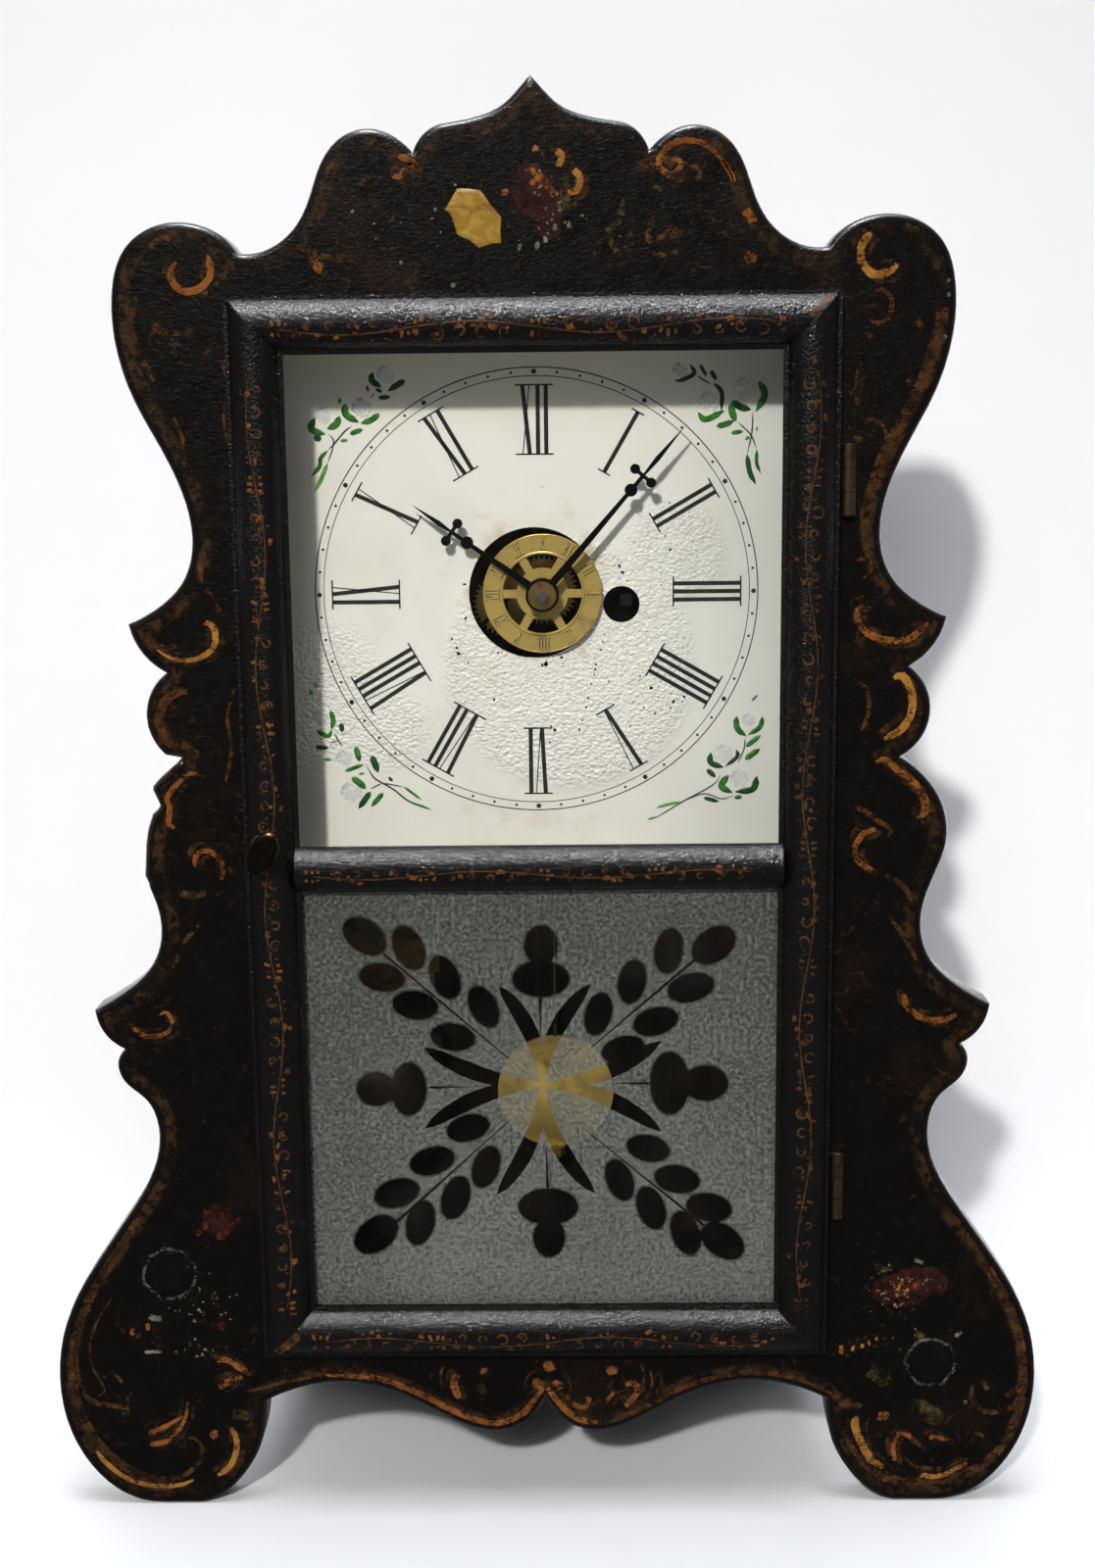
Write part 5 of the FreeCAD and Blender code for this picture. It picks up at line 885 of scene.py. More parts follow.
def build_board():
    """The board with a worn round to its front edge, a broken splinter and a rim measure for its finish."""
    outline, opening = loops_of_front("front_board")[:2]
    outline, opening = walk_loop(outline, OUTLINE_STEP), walk_loop(opening, OPENING_STEP)
    moved = broken_edge(outline)
    from_edge = distance_from(along_loop(outline))
    from_break = distance_from([p for p, by in zip(outline, moved) if by > BREAK_LEAST])
    spots = outline + opening + board_points(outline, opening, from_edge)
    edges = loop_edges(0, len(outline)) + loop_edges(len(outline), len(opening))
    flat, tris = fill(spots, edges, lambda middles: inside_many(middles, outline) & ~inside_many(middles, opening))
    away = [from_edge(p) for p in flat]
    mesh = plate("board", flat, tris, [BOARD_FRONT + edge_fall(d) for d in away], BOARD_BACK, rim=away,
                 broken=[max(0.0, 1.0 - from_break(p) / BREAK_SOFT) for p in flat])
    made = settle("scroll_board", mesh, BOARD_JAPAN, "case")
    mesh.set_sharp_from_angle(angle=math.radians(40))
    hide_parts("front_board")
    return outline


# ---------------------------------------------------------------- painted ornament on the board

BOARD_STROKES = {      # width or widths from end to end, and the line, both in the photograph's pixels
    "gold": [
        (10, "891,235 880,248 878,261 882,273 892,280 904,279 914,271 916,265"),
        ((10, 3), "206,634 217,639 220,651 216,663 204,671 188,674 171,670 157,661"),
        (10, "909,693 921,690 929,704 931,719 927,734 918,745 899,756"),
        (11, "876,1443 872,1454 878,1471 889,1489 903,1499"), (7, "935,1505 958,1506 978,1497 988,1491"),
        (7, "97,1479 109,1493 129,1508 157,1516 184,1515 200,1509"),
        (8, "234,1455 241,1467 241,1481 234,1497 220,1507"),
        (9, "566,151 573,161 567,172"), (9, "583,172 592,181 588,194 576,197"), (10, "543,148 549,156"),
        (6, "858,1370 858,1384"), (5, "870,1370 870,1381"), (5, "879.5,1369 879.5,1378"), (4, "886.5,1366 886.5,1375"),
        (4, "894,1363 894,1370"),
    ],
    "orange": [
        (9, "209,258 214,269 215,280 210,289 201,296 191,298 180,293 175,284 174,276 179,269 183,268"),
        ((5, 9), "206,789 192,790 180,801 170,816 168,829 172,841 181,845"),
        (7, "224,900 228,886 220,873 210,868 200,873 199,884 204,887"),
        ((4, 10), "749,188 745,176 735,161 719,147 699,143 684,148 673,161 673,171 684,179 691,175 695,167 "
                  "689,162 682,165"),
        (8, "404,158 413,162 414,171 409,180 398,181"),
        (9, "947,632 931,650 912,654 890,649 877,637 874,625 881,617 888,616"),
        ((8, 12), "891,778 903,775 919,783 934,798 943,816 943,829 931,836"),
        (8, "896,845 881,851 872,866 877,880 893,889"),
        (9, "921,1012 926,1028 942,1039 962,1041 978,1034"),
        ((7, 5), "133,1047 148,1057 166,1056 176,1046 170,1033 161,1037"),
        (12, "758,212 765,220 770,230"), (6, "735,161 745,176 750,188"),
        (9, "549,1419 543,1431 531,1445 514,1453 496,1455 475,1450 453,1439 431,1426 410,1416 380,1408 330,1403"),
        (9, "563,1421 569,1435 582,1448 596,1456 612,1457"), (7, "575,1421 586,1433 596,1436 601,1428 596,1424"),
        (9, "635,1414 647,1412 650,1421 637,1437"), (6, "622,1413 625,1421 616,1433"),
        (11, "469,1401 463,1409 465,1419 470,1429"), ((9, 4), "149,1463 168,1456 188,1444"),
        ((8, 4), "151,1475 173,1469 188,1450 192,1428"), (9, "216,1388 232,1388 248,1398 258,1404"),
        (8, "222,1418 236,1408 250,1404"), (7, "913,1493 911,1475 917,1463 927,1465 935,1473 941,1477"),
        (7, "945,1466 970,1468"), (6, "980,1431 990,1430"), (6, "125,1351 125,1362"), (6, "135,1353 135,1365"),
        (6, "151,1348 151,1360"), (8, "324,262 322,272 330,279"),
    ],
    "brown": [
        (8, "151,256 160,246 171,242 183,242"), (9, "227,269 228,278 225,288"), (6, "180,657 171,661 161,658"),
        (13, "1014,1281 1030,1319 1042,1368 1047,1408 1041,1445 1018,1480 986,1503 939,1512 899,1506 874,1484 "
             "861,1457"),
        (13, "137,1252 110,1284 88,1330 75,1380 77,1423 92,1460 117,1489 147,1506 188,1509"),
        ((13, 9), "194,705 180,707 167,718 162,735 165,751 176,763 190,772 204,771"),
        (7, "147,657 161,661 175,661 182,655"), (10, "178,906 192,913 212,909"),
        (7, "655,227 666,222 661,240 668,248 684,232 694,230"), (6, "663,258 678,260 694,255"),
        (6, "701,171 711,171 714,180 705,183"), (6, "888,297 903,297 910,309 905,326 892,330 884,324"),
        ((18, 14), "961,321 954,350 947,389 932,411 920,433 910,457 898,481 892,515 893,539 897,573"),
        (5, "881,428 896,430 904,442 903,454"), (5, "871,573 881,570 888,574 887,585 878,592"),
        (7, "870,822 884,829 896,838 908,845 906,858"), (7, "900,890 914,898 926,910 930,924"),
        (8, "612,1457 635,1452 661,1441 686,1425 706,1413 752,1404 803,1404 847,1422"),
        (8, "86,1341 78,1368 78,1398 84,1416 94,1430 115,1434 129,1437 130,1426 137,1420"),
        (3.5, "115,1323 99,1349 92,1372 94,1394 102,1408 107,1420 97,1425"), (5, "103,1408 111,1402 119,1404 127,1414"),
        (7, "135,1505 161,1511 188,1505 202,1493 206,1479 200,1469 188,1467"),
        (7, "919,1485 933,1495 955,1499 974,1495 990,1487"), (5, "990,1475 996,1463 1002,1465 1000,1473"),
        (8, "992,1412 992,1430 1004,1440 1022,1440 1036,1432 1046,1414"), (7, "1024,1426 1054,1410"),
        (16, "845,1420 860,1430 880,1438"), (4, "453,1392 449,1405 452,1419"), (4, "442,1396 439,1407 441,1417"),
        (4, "653,1390 657,1405 653,1423"), (4, "663,1396 665,1413 657,1431"), (4, "673,1399 674,1411 669,1423"),
        (3, "549,1401 547,1393 550,1385 556,1381 564,1381 570,1385 573,1393 571,1401"),
        (3, "552,1399 544,1400 538,1405 536,1412 538,1420"), (3, "572,1401 579,1405 582,1412 581,1420 577,1426"),
        ((9, 5), "208,560 204,590 214,606 224,622"), (8, "140,300 134,330 142,360 158,392"),
        (8, "1000,1216 1010,1246 1024,1280 1034,1316"), (8, "118,1222 104,1252 92,1290 86,1326"),
        (7, "300,250 330,262 360,262"), (7, "318,190 330,170 350,158"), (4, "396,212 402,219 398,226 390,222"),
        (5, "240,700 232,730 236,764 230,800"), (6, "870,690 884,704 886,726 878,748"), (5, "176,424 186,448 188,480"),
        (6, "205,940 188,962 176,990"), (6, "905,930 922,956 936,982"), (4, "222,360 232,390 228,426 236,470"),
        (4, "880,366 872,392 876,420"), (6, "250,1420 270,1416 290,1410 320,1405"),
    ],
    "red": [
        (10, "198,1262 212,1248 226,1240"), (9, "206,1232 222,1242 240,1228"), (9, "229,1262 236,1250 247,1244"),
        (9, "905,1308 925,1314 946,1304"), (8, "924,1296 927,1316 922,1334"), (6, "884,338 888,343"),
    ],
    "olive": [
        (14, "574,176 577,196 576,217"), (8, "639,202 631,222"), (8, "633,225 617,240"), (8, "620,242 631,260"),
        (8, "645,222 643,237"), (7, "203,301 215,300"), (9, "205,770 200,772"), (6, "663,188 678,195"),
        (11, "488,1409 494,1425"), (8, "916,224 930,226 944,231"), (8, "890,1285 900,1296 912,1290"),
        (9, "178,906 192,914 212,912"), (3, "889,1444 884,1453 886,1469 897,1485 907,1491"),
        (3, "224,1465 232,1475 231,1493 224,1503"), (16, "234,1442 246,1444 258,1447"),
        (26, "930,1430 944,1440 962,1452"), (22, "884,1396 896,1404 908,1414"), (12, "212,1322 226,1324"),
        (8, "1000,1404 1004,1412 1008,1420"), (10, "930,1358 944,1366"),
    ],
    "pale": [
        (5, "566,226 566,238"), (6, "581,224 581,236"), (5, "531,246 530,259"), (5, "548,244 548,257"),
        (5, "556,239 557,251"), (5, "546,222 549,229"), (4, "896,1322 908,1318"), (5, "930,1284 944,1290"),
        (9, "150,1342 160,1346 168,1344"), (5, "146,1380 168,1379"), (6, "972,1364 984,1358"),
    ],
}
BOARD_DABS = {         # middle and radius
    "orange": [(766, 263, 8), (325, 271, 6), (560, 1394, 9.5), (549, 1412, 9.5), (568, 1414, 9.5), (493, 1399, 6),
               (543, 175, 5), (550, 181, 6), (556, 186, 6), (559, 193, 5), (543, 186, 4), (562, 195, 4),
               (515, 196, 5), (901, 1445, 8), (219, 1464, 7), (624, 1398, 8)],
    "brown": [(435, 167, 12), (648, 162, 13), (194, 340, 7), (167, 338, 6), (213, 359, 6), (886, 341, 6),
              (939, 331, 7), (964, 319, 9), (928, 390, 7), (222, 622, 5), (876, 447, 6), (186, 1473, 7),
              (372, 184, 8), (160, 336, 8), (690, 240, 9)],
    "red": [(226, 1262, 7), (224, 1351, 12), (203, 1375, 5), (538, 200, 9), (925, 1315, 6)],
    "maroon": [(548, 196, 30), (556, 214, 22), (540, 180, 18), (927, 1313, 30), (906, 1316, 22), (948, 1308, 24),
               (222, 1246, 22), (560, 232, 16)],
    "olive": [(202, 770, 6), (180, 353, 6), (180, 339, 6), (583, 207, 8), (573, 209, 8), (126, 1440, 8)],
    "pale": [(540, 76, 4), (978, 284, 3), (981, 300, 3), (974, 344, 3), (409, 268, 2.5), (462, 291, 3)],
}
SPECKS = (  # middle, spread across and up, how many, paint
    (919, 1319, 16, 13, 44, "gold"), (922, 1312, 42, 32, 46, "pale"), (205, 1332, 40, 32, 34, "pale"),
    (560, 205, 34, 40, 30, "pale"), (632, 238, 16, 24, 34, "olive"), (674, 240, 26, 20, 26, "brown"),
    (200, 1378, 26, 12, 16, "pale"), (560, 190, 12, 12, 20, "orange"), (180, 345, 26, 22, 24, "olive"),
    (450, 230, 60, 40, 18, "pale"), (920, 1360, 40, 26, 16, "olive"),
)
PEARL_OUTLINE = ("466,192 478,192 490,194 495,200 501,209 508,217 512,222 511,235 512,249 503,249 494,252 489,254 "
                 "479,246 466,240 463,230 460,221 454,213 459,204 463,197")
FOOT_SCARS = ((173, 1300, 29), (949, 1390, 27))      # middle and radius
PAINT_SINK = 0.02      # the ornament is a thin skin of paint
PAINT_LIFT = {"maroon": 0.012, "brown": 0.02, "olive": 0.026, "red": 0.032, "pale": 0.038, "orange": 0.044,
              "gold": 0.05}
STROKE_SPREAD = 1.25   # how far a stroke has spread past its drawn width
HALO_SHIFTS = ((1.6, -1.1), (-1.3, 1.7))     # older brown brushwork that shows beside each scroll
HALO_SPREAD, HALO_LIFT = 1.25, 0.016
SPECK_LIFT, PEARL_LIFT, SCAR_LIFT, FLAKE_LIFT = 0.055, 0.25, 0.02, 0.06
SCAR_STEPS = 33


def kept_on_board(outline, points, margin):
    """Points moved in, where they have to be, to leave a margin to the board's cut edge."""
    made = []
    for p in points:
        away, i = min(((p - q).length, i) for i, q in enumerate(outline))
        if away < margin or not inside(p, outline):
            side = square_to(outline[i - 1], outline[(i + 1) % len(outline)])
            inward = side if inside(outline[i] + side * 0.8, outline) else -side
            p = outline[i] + inward * margin
        made.append(p)
    return made


def brush_scrolls(pile, halos, outline, paint):
    """The strokes of one paint; the bright ones have older brushwork beside them."""
    for width, text in BOARD_STROKES.get(paint, []):
        wide = width if isinstance(width, tuple) else (width, width)
        wide = tuple(w * STROKE_SPREAD * pixel_size(BOARD_FRONT) for w in wide)
        margin = EDGE_ROUND + 0.5 * max(wide)
        line = kept_on_board(outline, marks(text, BOARD_FRONT), margin)
        stroke(pile, BOARD_FACE, line, wide, PAINT_LIFT[paint], (0.45, 0.4), sink=PAINT_SINK)
        for shift in HALO_SHIFTS if paint in ("gold", "orange") else ():
            ghost = kept_on_board(outline, [q + Vector(shift) for q in line], margin)
            stroke(halos, BOARD_FACE, ghost, tuple(HALO_SPREAD * w for w in wide), HALO_LIFT, (0.5, 0.5),
                   sink=PAINT_SINK)


def dab_flowers(pile, outline, paint):
    """The round dabs of one paint."""
    for i, (px, py, size) in enumerate(BOARD_DABS.get(paint, [])):
        radius = size * pixel_size(BOARD_FRONT)
        spot, = kept_on_board(outline, [seen_at(px, py, BOARD_FRONT)], EDGE_ROUND + radius)
        dab(pile, BOARD_FACE, spot, radius, PAINT_LIFT[paint], ragged=0.14, seed=i, sink=PAINT_SINK)


def scatter_specks(pile, paint):
    """The loose specks of one paint."""
    for i, (px, py, wide, tall, count, speck_paint) in enumerate(SPECKS):
        if speck_paint != paint:
            continue
        rng = np.random.default_rng(200 + i)
        for k in range(count):
            away = rng.normal(0.0, 0.5, 2)
            spot = seen_at(px + wide * away[0], py + tall * away[1], BOARD_FRONT)
            dab(pile, BOARD_FACE, spot, rng.uniform(0.25, 0.75), SPECK_LIFT, rng.uniform(0.4, 1.0),
                rng.uniform(0, 180), 7, 0.3, k, PAINT_SINK)


def scar_feet():
    """A round scar in the japan of each foot, with a flaked rim."""
    scars, flakes = Pile(), Pile()
    for i, (px, py, size) in enumerate(FOOT_SCARS):
        middle, radius = seen_at(px, py, BOARD_FRONT), size * pixel_size(BOARD_FRONT)
        dab(scars, BOARD_FACE, middle, radius, SCAR_LIFT, count=40, ragged=0.05, seed=i, sink=PAINT_SINK)
        reach = radius * np.random.default_rng(40 + i).uniform(0.93, 1.05, SCAR_STEPS)
        reach[-1] = reach[0]
        ring = [middle + ray(a) * r for a, r in zip(np.linspace(0, 2 * math.pi, SCAR_STEPS), reach)]
        stroke(flakes, BOARD_FACE, ring, 1.5, FLAKE_LIFT, (1.0, 1.0), 0.5, PAINT_SINK)
    scars.piece("foot_scars", SCAR, "case", "japanned")
    flakes.piece("foot_scar_flakes", SCAR_RAG, "case", "japanned")


def paint_board(outline):
    """The board's ornament: one piece for each paint, the older brushwork, the pearl and the scars."""
    halos, pearl = Pile(), Pile()
    for paint, skin in PAINTS.items():
        pile = Pile()
        brush_scrolls(pile, halos, outline, paint)
        dab_flowers(pile, outline, paint)
        scatter_specks(pile, paint)
        pile.piece(f"board_{paint}_ornament", skin, "case", "japanned")
    halos.piece("board_scroll_halos", HALO, "case", "japanned")
    patch(pearl, BOARD_FACE, marks(PEARL_OUTLINE, BOARD_FRONT), PEARL_LIFT, 0.4)
    pearl.piece("crest_pearl_patch", PEARL, "case", "japanned")
    scar_feet()


# ---------------------------------------------------------------- vine on the door's mouldings

# The mouldings carry a coat of gesso under the japan, which fills their quirks: a round of its own on each.
COAT_FROM, COAT_TO, COAT_TOP = 1.1, 14.15, 8.03
COAT_MIDDLE, COAT_RADIUS = 7.5, 7.457                           # on the outer mouldings
RAIL_COAT, RAIL_COAT_RADIUS = 6.3, 6.806                        # half width and radius on the middle rail
COAT_BED = 3.3         # the coat's underside, inside the wood
COAT_STEPS = 25
LIP = 4.4              # how far the wood stands out at its edge
SLOPE_FROM, SLOPE = 12.4, 0.8 / 3.1                             # where its inner slope starts, and how it falls


def coat_height(away, radius):
    """How far a coat of this radius stands out, this far from its middle line."""
    return COAT_TOP - radius + math.sqrt(max(0.0, radius ** 2 - away ** 2))


def moulding_height(t):
    """How far the outer moulding stands out, t in from the door's edge."""
    if t < COAT_FROM:
        return LIP
    if t <= COAT_TO:
        return coat_height(t - COAT_MIDDLE, COAT_RADIUS)
    return LIP - SLOPE * (t - SLOPE_FROM)


def rail_height(d):
    """How far the middle rail stands out, d from its middle line."""
    return coat_height(min(abs(d), RAIL_COAT), RAIL_COAT_RADIUS)


def coat_mouldings():
    """The coat on each of the door's five mouldings, mitred at the corners."""
    spans = {"top": (-DOOR_HALF, DOOR_HALF), "bottom": (-DOOR_HALF, DOOR_HALF), "left": (DOOR_LOW, DOOR_HIGH),
             "right": (DOOR_LOW, DOOR_HIGH)}
    pile = Pile()
    for side in ("top", "bottom", "left", "right", "middle"):
        centre = side == "middle"
        reach = np.linspace(*((-RAIL_COAT, RAIL_COAT) if centre else (COAT_FROM - 0.2, COAT_TO + 0.15)), COAT_STEPS)
        radius, middle = (RAIL_COAT_RADIUS, 0.0) if centre else (COAT_RADIUS, COAT_MIDDLE)
        section = [(t, coat_height(t - middle, radius)) for t in reach]
        section += [(reach[-1], COAT_BED), (reach[0], COAT_BED)]
        face = moulding_face(side)
        rings = []
        for end, in_by in ((0, 0.0), (0, 0.3), (1, 0.3), (1, 0.0)):
            ring = []
            for t, height in section:
                inset = (-DOOR_HALF + COAT_TO if centre else spans[side][0] + t) + in_by
                along = inset if end == 0 else (-inset if centre else spans[side][1] - t - in_by)
                point, _ = face((along, t))
                ring.append(Vector((point.x, DOOR_BACK - height, point.z)))
            rings.append(ring)
        pile.loft(rings)
    pile.piece("door_moulding_coat", RAIL_JAPAN, "door", "japanned")


def moulding_face(side):
    """(along, across) on one of the door's mouldings to a point on it and the way it faces."""
    height = rail_height if side == "middle" else moulding_height
    spots = {"top": lambda s, t: (s, DOOR_HIGH - t), "bottom": lambda s, t: (s, DOOR_LOW + t),
             "left": lambda s, t: (-DOOR_HALF + t, s), "right": lambda s, t: (DOOR_HALF - t, s),
             "middle": lambda s, t: (s, MIDDLE_RAIL - t)}
    inward = {"top": (0, -1), "bottom": (0, 1), "left": (1, 0), "right": (-1, 0), "middle": (0, -1)}[side]

    def face(q):
        x, z = spots[side](q[0], q[1])
        rise = (height(q[1] + 0.05) - height(q[1] - 0.05)) / 0.1
        out = Vector((-inward[0] * rise, -1.0, -inward[1] * rise)).normalized()
        return Vector((x, DOOR_BACK - height(q[1]), z)), out

    return face


VINES = (  # side, along from, to, middle across, wave, paint of the petals
    ("top", -68.0, 70.0, 9.0, 1.6, "orange"), ("bottom", -66.0, 70.0, 6.0, 1.6, "orange"),
    ("left", 66.0, 338.0, 7.6, 1.9, "orange"), ("right", 66.0, 338.0, 7.6, 1.9, "brown"),
    ("middle", -64.0, 64.0, 1.0, 1.1, "orange"),
)
VINE_TURN = 68.0       # one wave of the stem
VINE_LIFT = 0.05
PETALS, RINGS, FLECKS = 3, 4, 16       # in each bend of the stem: petals on each side, rings, and worn flecks
MITRE_MARKS = (        # side, width, paint, points along and across
    ("bottom", 4.2, "brown", ((-79.0, 1.8), (-75.5, 5.0), (-71.5, 9.0))),
    ("bottom", 1.6, "orange", ((-77.0, 2.8), (-74.6, 5.0))),
    ("top", 3.0, "brown", ((79.5, 1.4), (76.5, 4.4), (73.4, 7.4))),
    ("top", 1.2, "red", ((75.0, 12.6), (73.8, 12.9))),
)


def paint_vine(piles, berries, row, side, start, stop, middle, wave, paint):
    """A worn vine along one moulding: a waving stem, fans of petals where it crosses, and rings in its bends."""
    face, rng = moulding_face(side), np.random.default_rng(70 + row)
    count = round(2 * (stop - start) / VINE_TURN)
    bend = (stop - start) / count
    small = 0.7 if side == "middle" else 1.0

    def stem(s):
        return Vector((s, middle + wave * math.sin(math.pi * (s - start) / bend)))

    stroke(piles["brown"], face, [stem(s) for s in np.arange(start, stop, bend / 8)], 0.7, VINE_LIFT, (0.6, 0.6), 1.2)
    for k in range(count):
        node = stem(start + bend * k + 0.02 * bend)
        for way in (-1, 1):
            for j in range(PETALS):
                foot = node + Vector(((j - 1) * 1.5, way * 0.5))
                tip = foot + Vector(((j - 1) * 0.7 + rng.uniform(-0.4, 0.4), way * rng.uniform(1.6, 2.6) * small))
                petal = piles["red" if rng.random() < 0.3 else paint]
                stroke(petal, face, [foot, tip], 1.35, 0.06, (0.5, 0.4), 0.5)
        away = 1 if k % 2 else -1
        for j in range(RINGS):
            spot = stem(start + bend * (k + 0.24 + 0.17 * j)) + Vector((0.0, away * rng.uniform(1.9, 2.8) * small))
            size = rng.uniform(0.9, 1.5) * small
            turns = np.radians(np.linspace(0, 320, 9) + rng.uniform(0, 360))
            stroke(piles["brown"], face, [spot + ray(a) * size for a in turns], 0.95, VINE_LIFT, (0.6, 0.6), 0.5)
            if j % 2 == row % 2:
                berries[paint].append((*face(spot), rng.uniform(0.5, 0.8)))
        for j in range(FLECKS):
            foot = stem(start + bend * (k + rng.uniform(0.1, 0.95))) + Vector((0.0, rng.uniform(-1.8, 1.8) * small))
            tip = foot + Vector((rng.uniform(-2.6, 2.6), rng.uniform(-1.2, 1.2) * small))
            fleck = piles[paint if j % 2 == 0 else "brown"]
            stroke(fleck, face, [foot, tip], rng.uniform(1.1, 2.2), VINE_LIFT, (0.5, 0.4), 0.5)


def paint_vines():
    """The vines and the marks at the mitres; gives the places of the berries."""
    skins = {"orange": RUST, "brown": VINE_BROWN, "red": PAINTS["red"]}
    piles = {paint: Pile() for paint in skins}
    berries = {"orange": [], "brown": []}
    for row, vine in enumerate(VINES):
        paint_vine(piles, berries, row, *vine)
    for side, width, paint, spots in MITRE_MARKS:
        stroke(piles[paint], moulding_face(side), [Vector(q) for q in spots], width, 0.07, (0.6, 0.5), 0.5)
    for paint, pile in piles.items():
        pile.piece(f"door_{paint}_vine", skins[paint], "door", "japanned")
    return berries


# ---------------------------------------------------------------- geometry node trees

RANDOM_LEAST, RANDOM_MOST, RANDOM_SEED, RANDOM_OUT = 2, 3, 8, 1     # the random node's sockets for plain numbers
GROWN_COVER = 0.8      # how well the paint covers on what is grown


def node_rig(name, inputs):
    """A geometry node tree with named inputs, and the identifiers that set them."""
    rig = bpy.data.node_groups.new(name, "GeometryNodeTree")
    rig.interface.new_socket("Geometry", in_out="INPUT", socket_type="NodeSocketGeometry")
    names = {label: rig.interface.new_socket(label, in_out="INPUT", socket_type=kind).identifier
             for label, kind in inputs}
    rig.interface.new_socket("Geometry", in_out="OUTPUT", socket_type="NodeSocketGeometry")
    return rig, names


def close_rig(tree, instances, given):
    """Ends a rig: real faces, smooth, in the given finish."""
    real = tree.add("GeometryNodeRealizeInstances", Geometry=instances).outputs[0]
    soft = tree.add("GeometryNodeSetShadeSmooth", Geometry=real).outputs[0]
    skin = tree.add("GeometryNodeSetMaterial", Geometry=soft, Material=given["Finish"]).outputs[0]
    tree.add("NodeGroupOutput", Geometry=skin)


def dots_round_a_ring():
    """Dots round a circle, every fifth one larger."""
    rig, names = node_rig("Dots round a ring", [
        ("Count", WHOLE), ("Ring Radius", FLOAT), ("Small Dot", FLOAT), ("Hour Dot", FLOAT), ("Height", FLOAT),
        ("Centre", VECTOR), ("Finish", SKIN)])
    tree = Tree(rig)
    given = tree.add("NodeGroupInput").outputs
    ring = tree.add("GeometryNodeMeshCircle", Vertices=given["Count"], Radius=given["Ring Radius"]).outputs[0]
    dot = tree.add("GeometryNodeMeshUVSphere", Segments=12, Rings=5, Radius=1.0).outputs[0]
    place = tree.add("GeometryNodeInputIndex").outputs[0]
    fifth = tree.math("LESS_THAN", tree.math("MODULO", place, 5.0), 0.5)
    more = tree.math("SUBTRACT", given["Hour Dot"], given["Small Dot"])
    radius = tree.math("ADD", given["Small Dot"], tree.math("MULTIPLY", more, fifth))
    size = tree.add("ShaderNodeCombineXYZ", X=radius, Y=radius, Z=given["Height"]).outputs[0]
    dots = tree.add("GeometryNodeInstanceOnPoints", Points=ring, Instance=dot, Scale=size).outputs[0]
    stood = tree.add("GeometryNodeTransform", Geometry=dots, Translation=given["Centre"],
                     Rotation=(math.pi / 2, 0.0, 0.0)).outputs[0]
    close_rig(tree, stood, given)
    return rig, names


def berries_on_a_surface():
    """Low round berries on points that say which way they face and how big they are."""
    rig, names = node_rig("Berries on a surface", [
        ("Least", FLOAT), ("Most", FLOAT), ("Flatness", FLOAT), ("Seed", WHOLE), ("Finish", SKIN)])
    tree = Tree(rig)
    given = tree.add("NodeGroupInput").outputs
    facing = tree.add("GeometryNodeInputNamedAttribute", {"data_type": "FLOAT_VECTOR"}, Name="facing").outputs[0]
    size = tree.add("GeometryNodeInputNamedAttribute", {"data_type": "FLOAT"}, Name="size").outputs[0]
    turn = tree.add("FunctionNodeAlignRotationToVector", {"axis": "Z"}, Vector=facing).outputs[0]
    chance = tree.add("FunctionNodeRandomValue", {"data_type": "FLOAT"})
    for socket, label in ((RANDOM_LEAST, "Least"), (RANDOM_MOST, "Most"), (RANDOM_SEED, "Seed")):
        tree.feed(chance.inputs[socket], given[label])
    radius = tree.math("MULTIPLY", size, chance.outputs[RANDOM_OUT])
    scale = tree.add("ShaderNodeCombineXYZ", X=radius, Y=radius,
                     Z=tree.math("MULTIPLY", radius, given["Flatness"])).outputs[0]
    ball = tree.add("GeometryNodeMeshIcoSphere", Radius=1.0, Subdivisions=2).outputs[0]
    set_out = tree.add("GeometryNodeInstanceOnPoints", Points=given["Geometry"], Instance=ball, Rotation=turn,
                       Scale=scale).outputs[0]
    close_rig(tree, set_out, given)
    return rig, names


def grow(name, rig, names, values, seedbed, skin, body):
    """Runs a rig on a seedbed mesh and keeps the result as a plain mesh piece."""
    host = bpy.data.objects.new(name + ".seedbed", seedbed)
    bpy.context.scene.collection.objects.link(host)
    modifier = host.modifiers.new("rig", "NODES")
    modifier.node_group = rig
    for label, value in values.items():
        modifier[names[label]] = value
    modifier[names["Finish"]] = skin
    graph = bpy.context.evaluated_depsgraph_get()
    mesh = bpy.data.meshes.new_from_object(host.evaluated_get(graph))
    bpy.data.objects.remove(host)
    mesh.attributes.new("cover", "FLOAT", "POINT").data.foreach_set("value", [GROWN_COVER] * len(mesh.vertices))
    return settle(name, mesh, skin, body)


def grow_minute_dots():
    """The dots between the two lines of the minute track."""
    rig, names = dots_round_a_ring()
    centre = Vector((DIAL_CENTRE[0], DIAL_FRONT, DIAL_CENTRE[1])) * MM
    grow("minute_dots", rig, names, {"Count": 60, "Ring Radius": DOT_RING * MM, "Small Dot": SMALL_DOT * MM,
                                     "Hour Dot": HOUR_DOT * MM, "Height": DOT_LIFT * MM, "Centre": centre},
         bpy.data.meshes.new("dots"), DIAL_BLACK, "case")


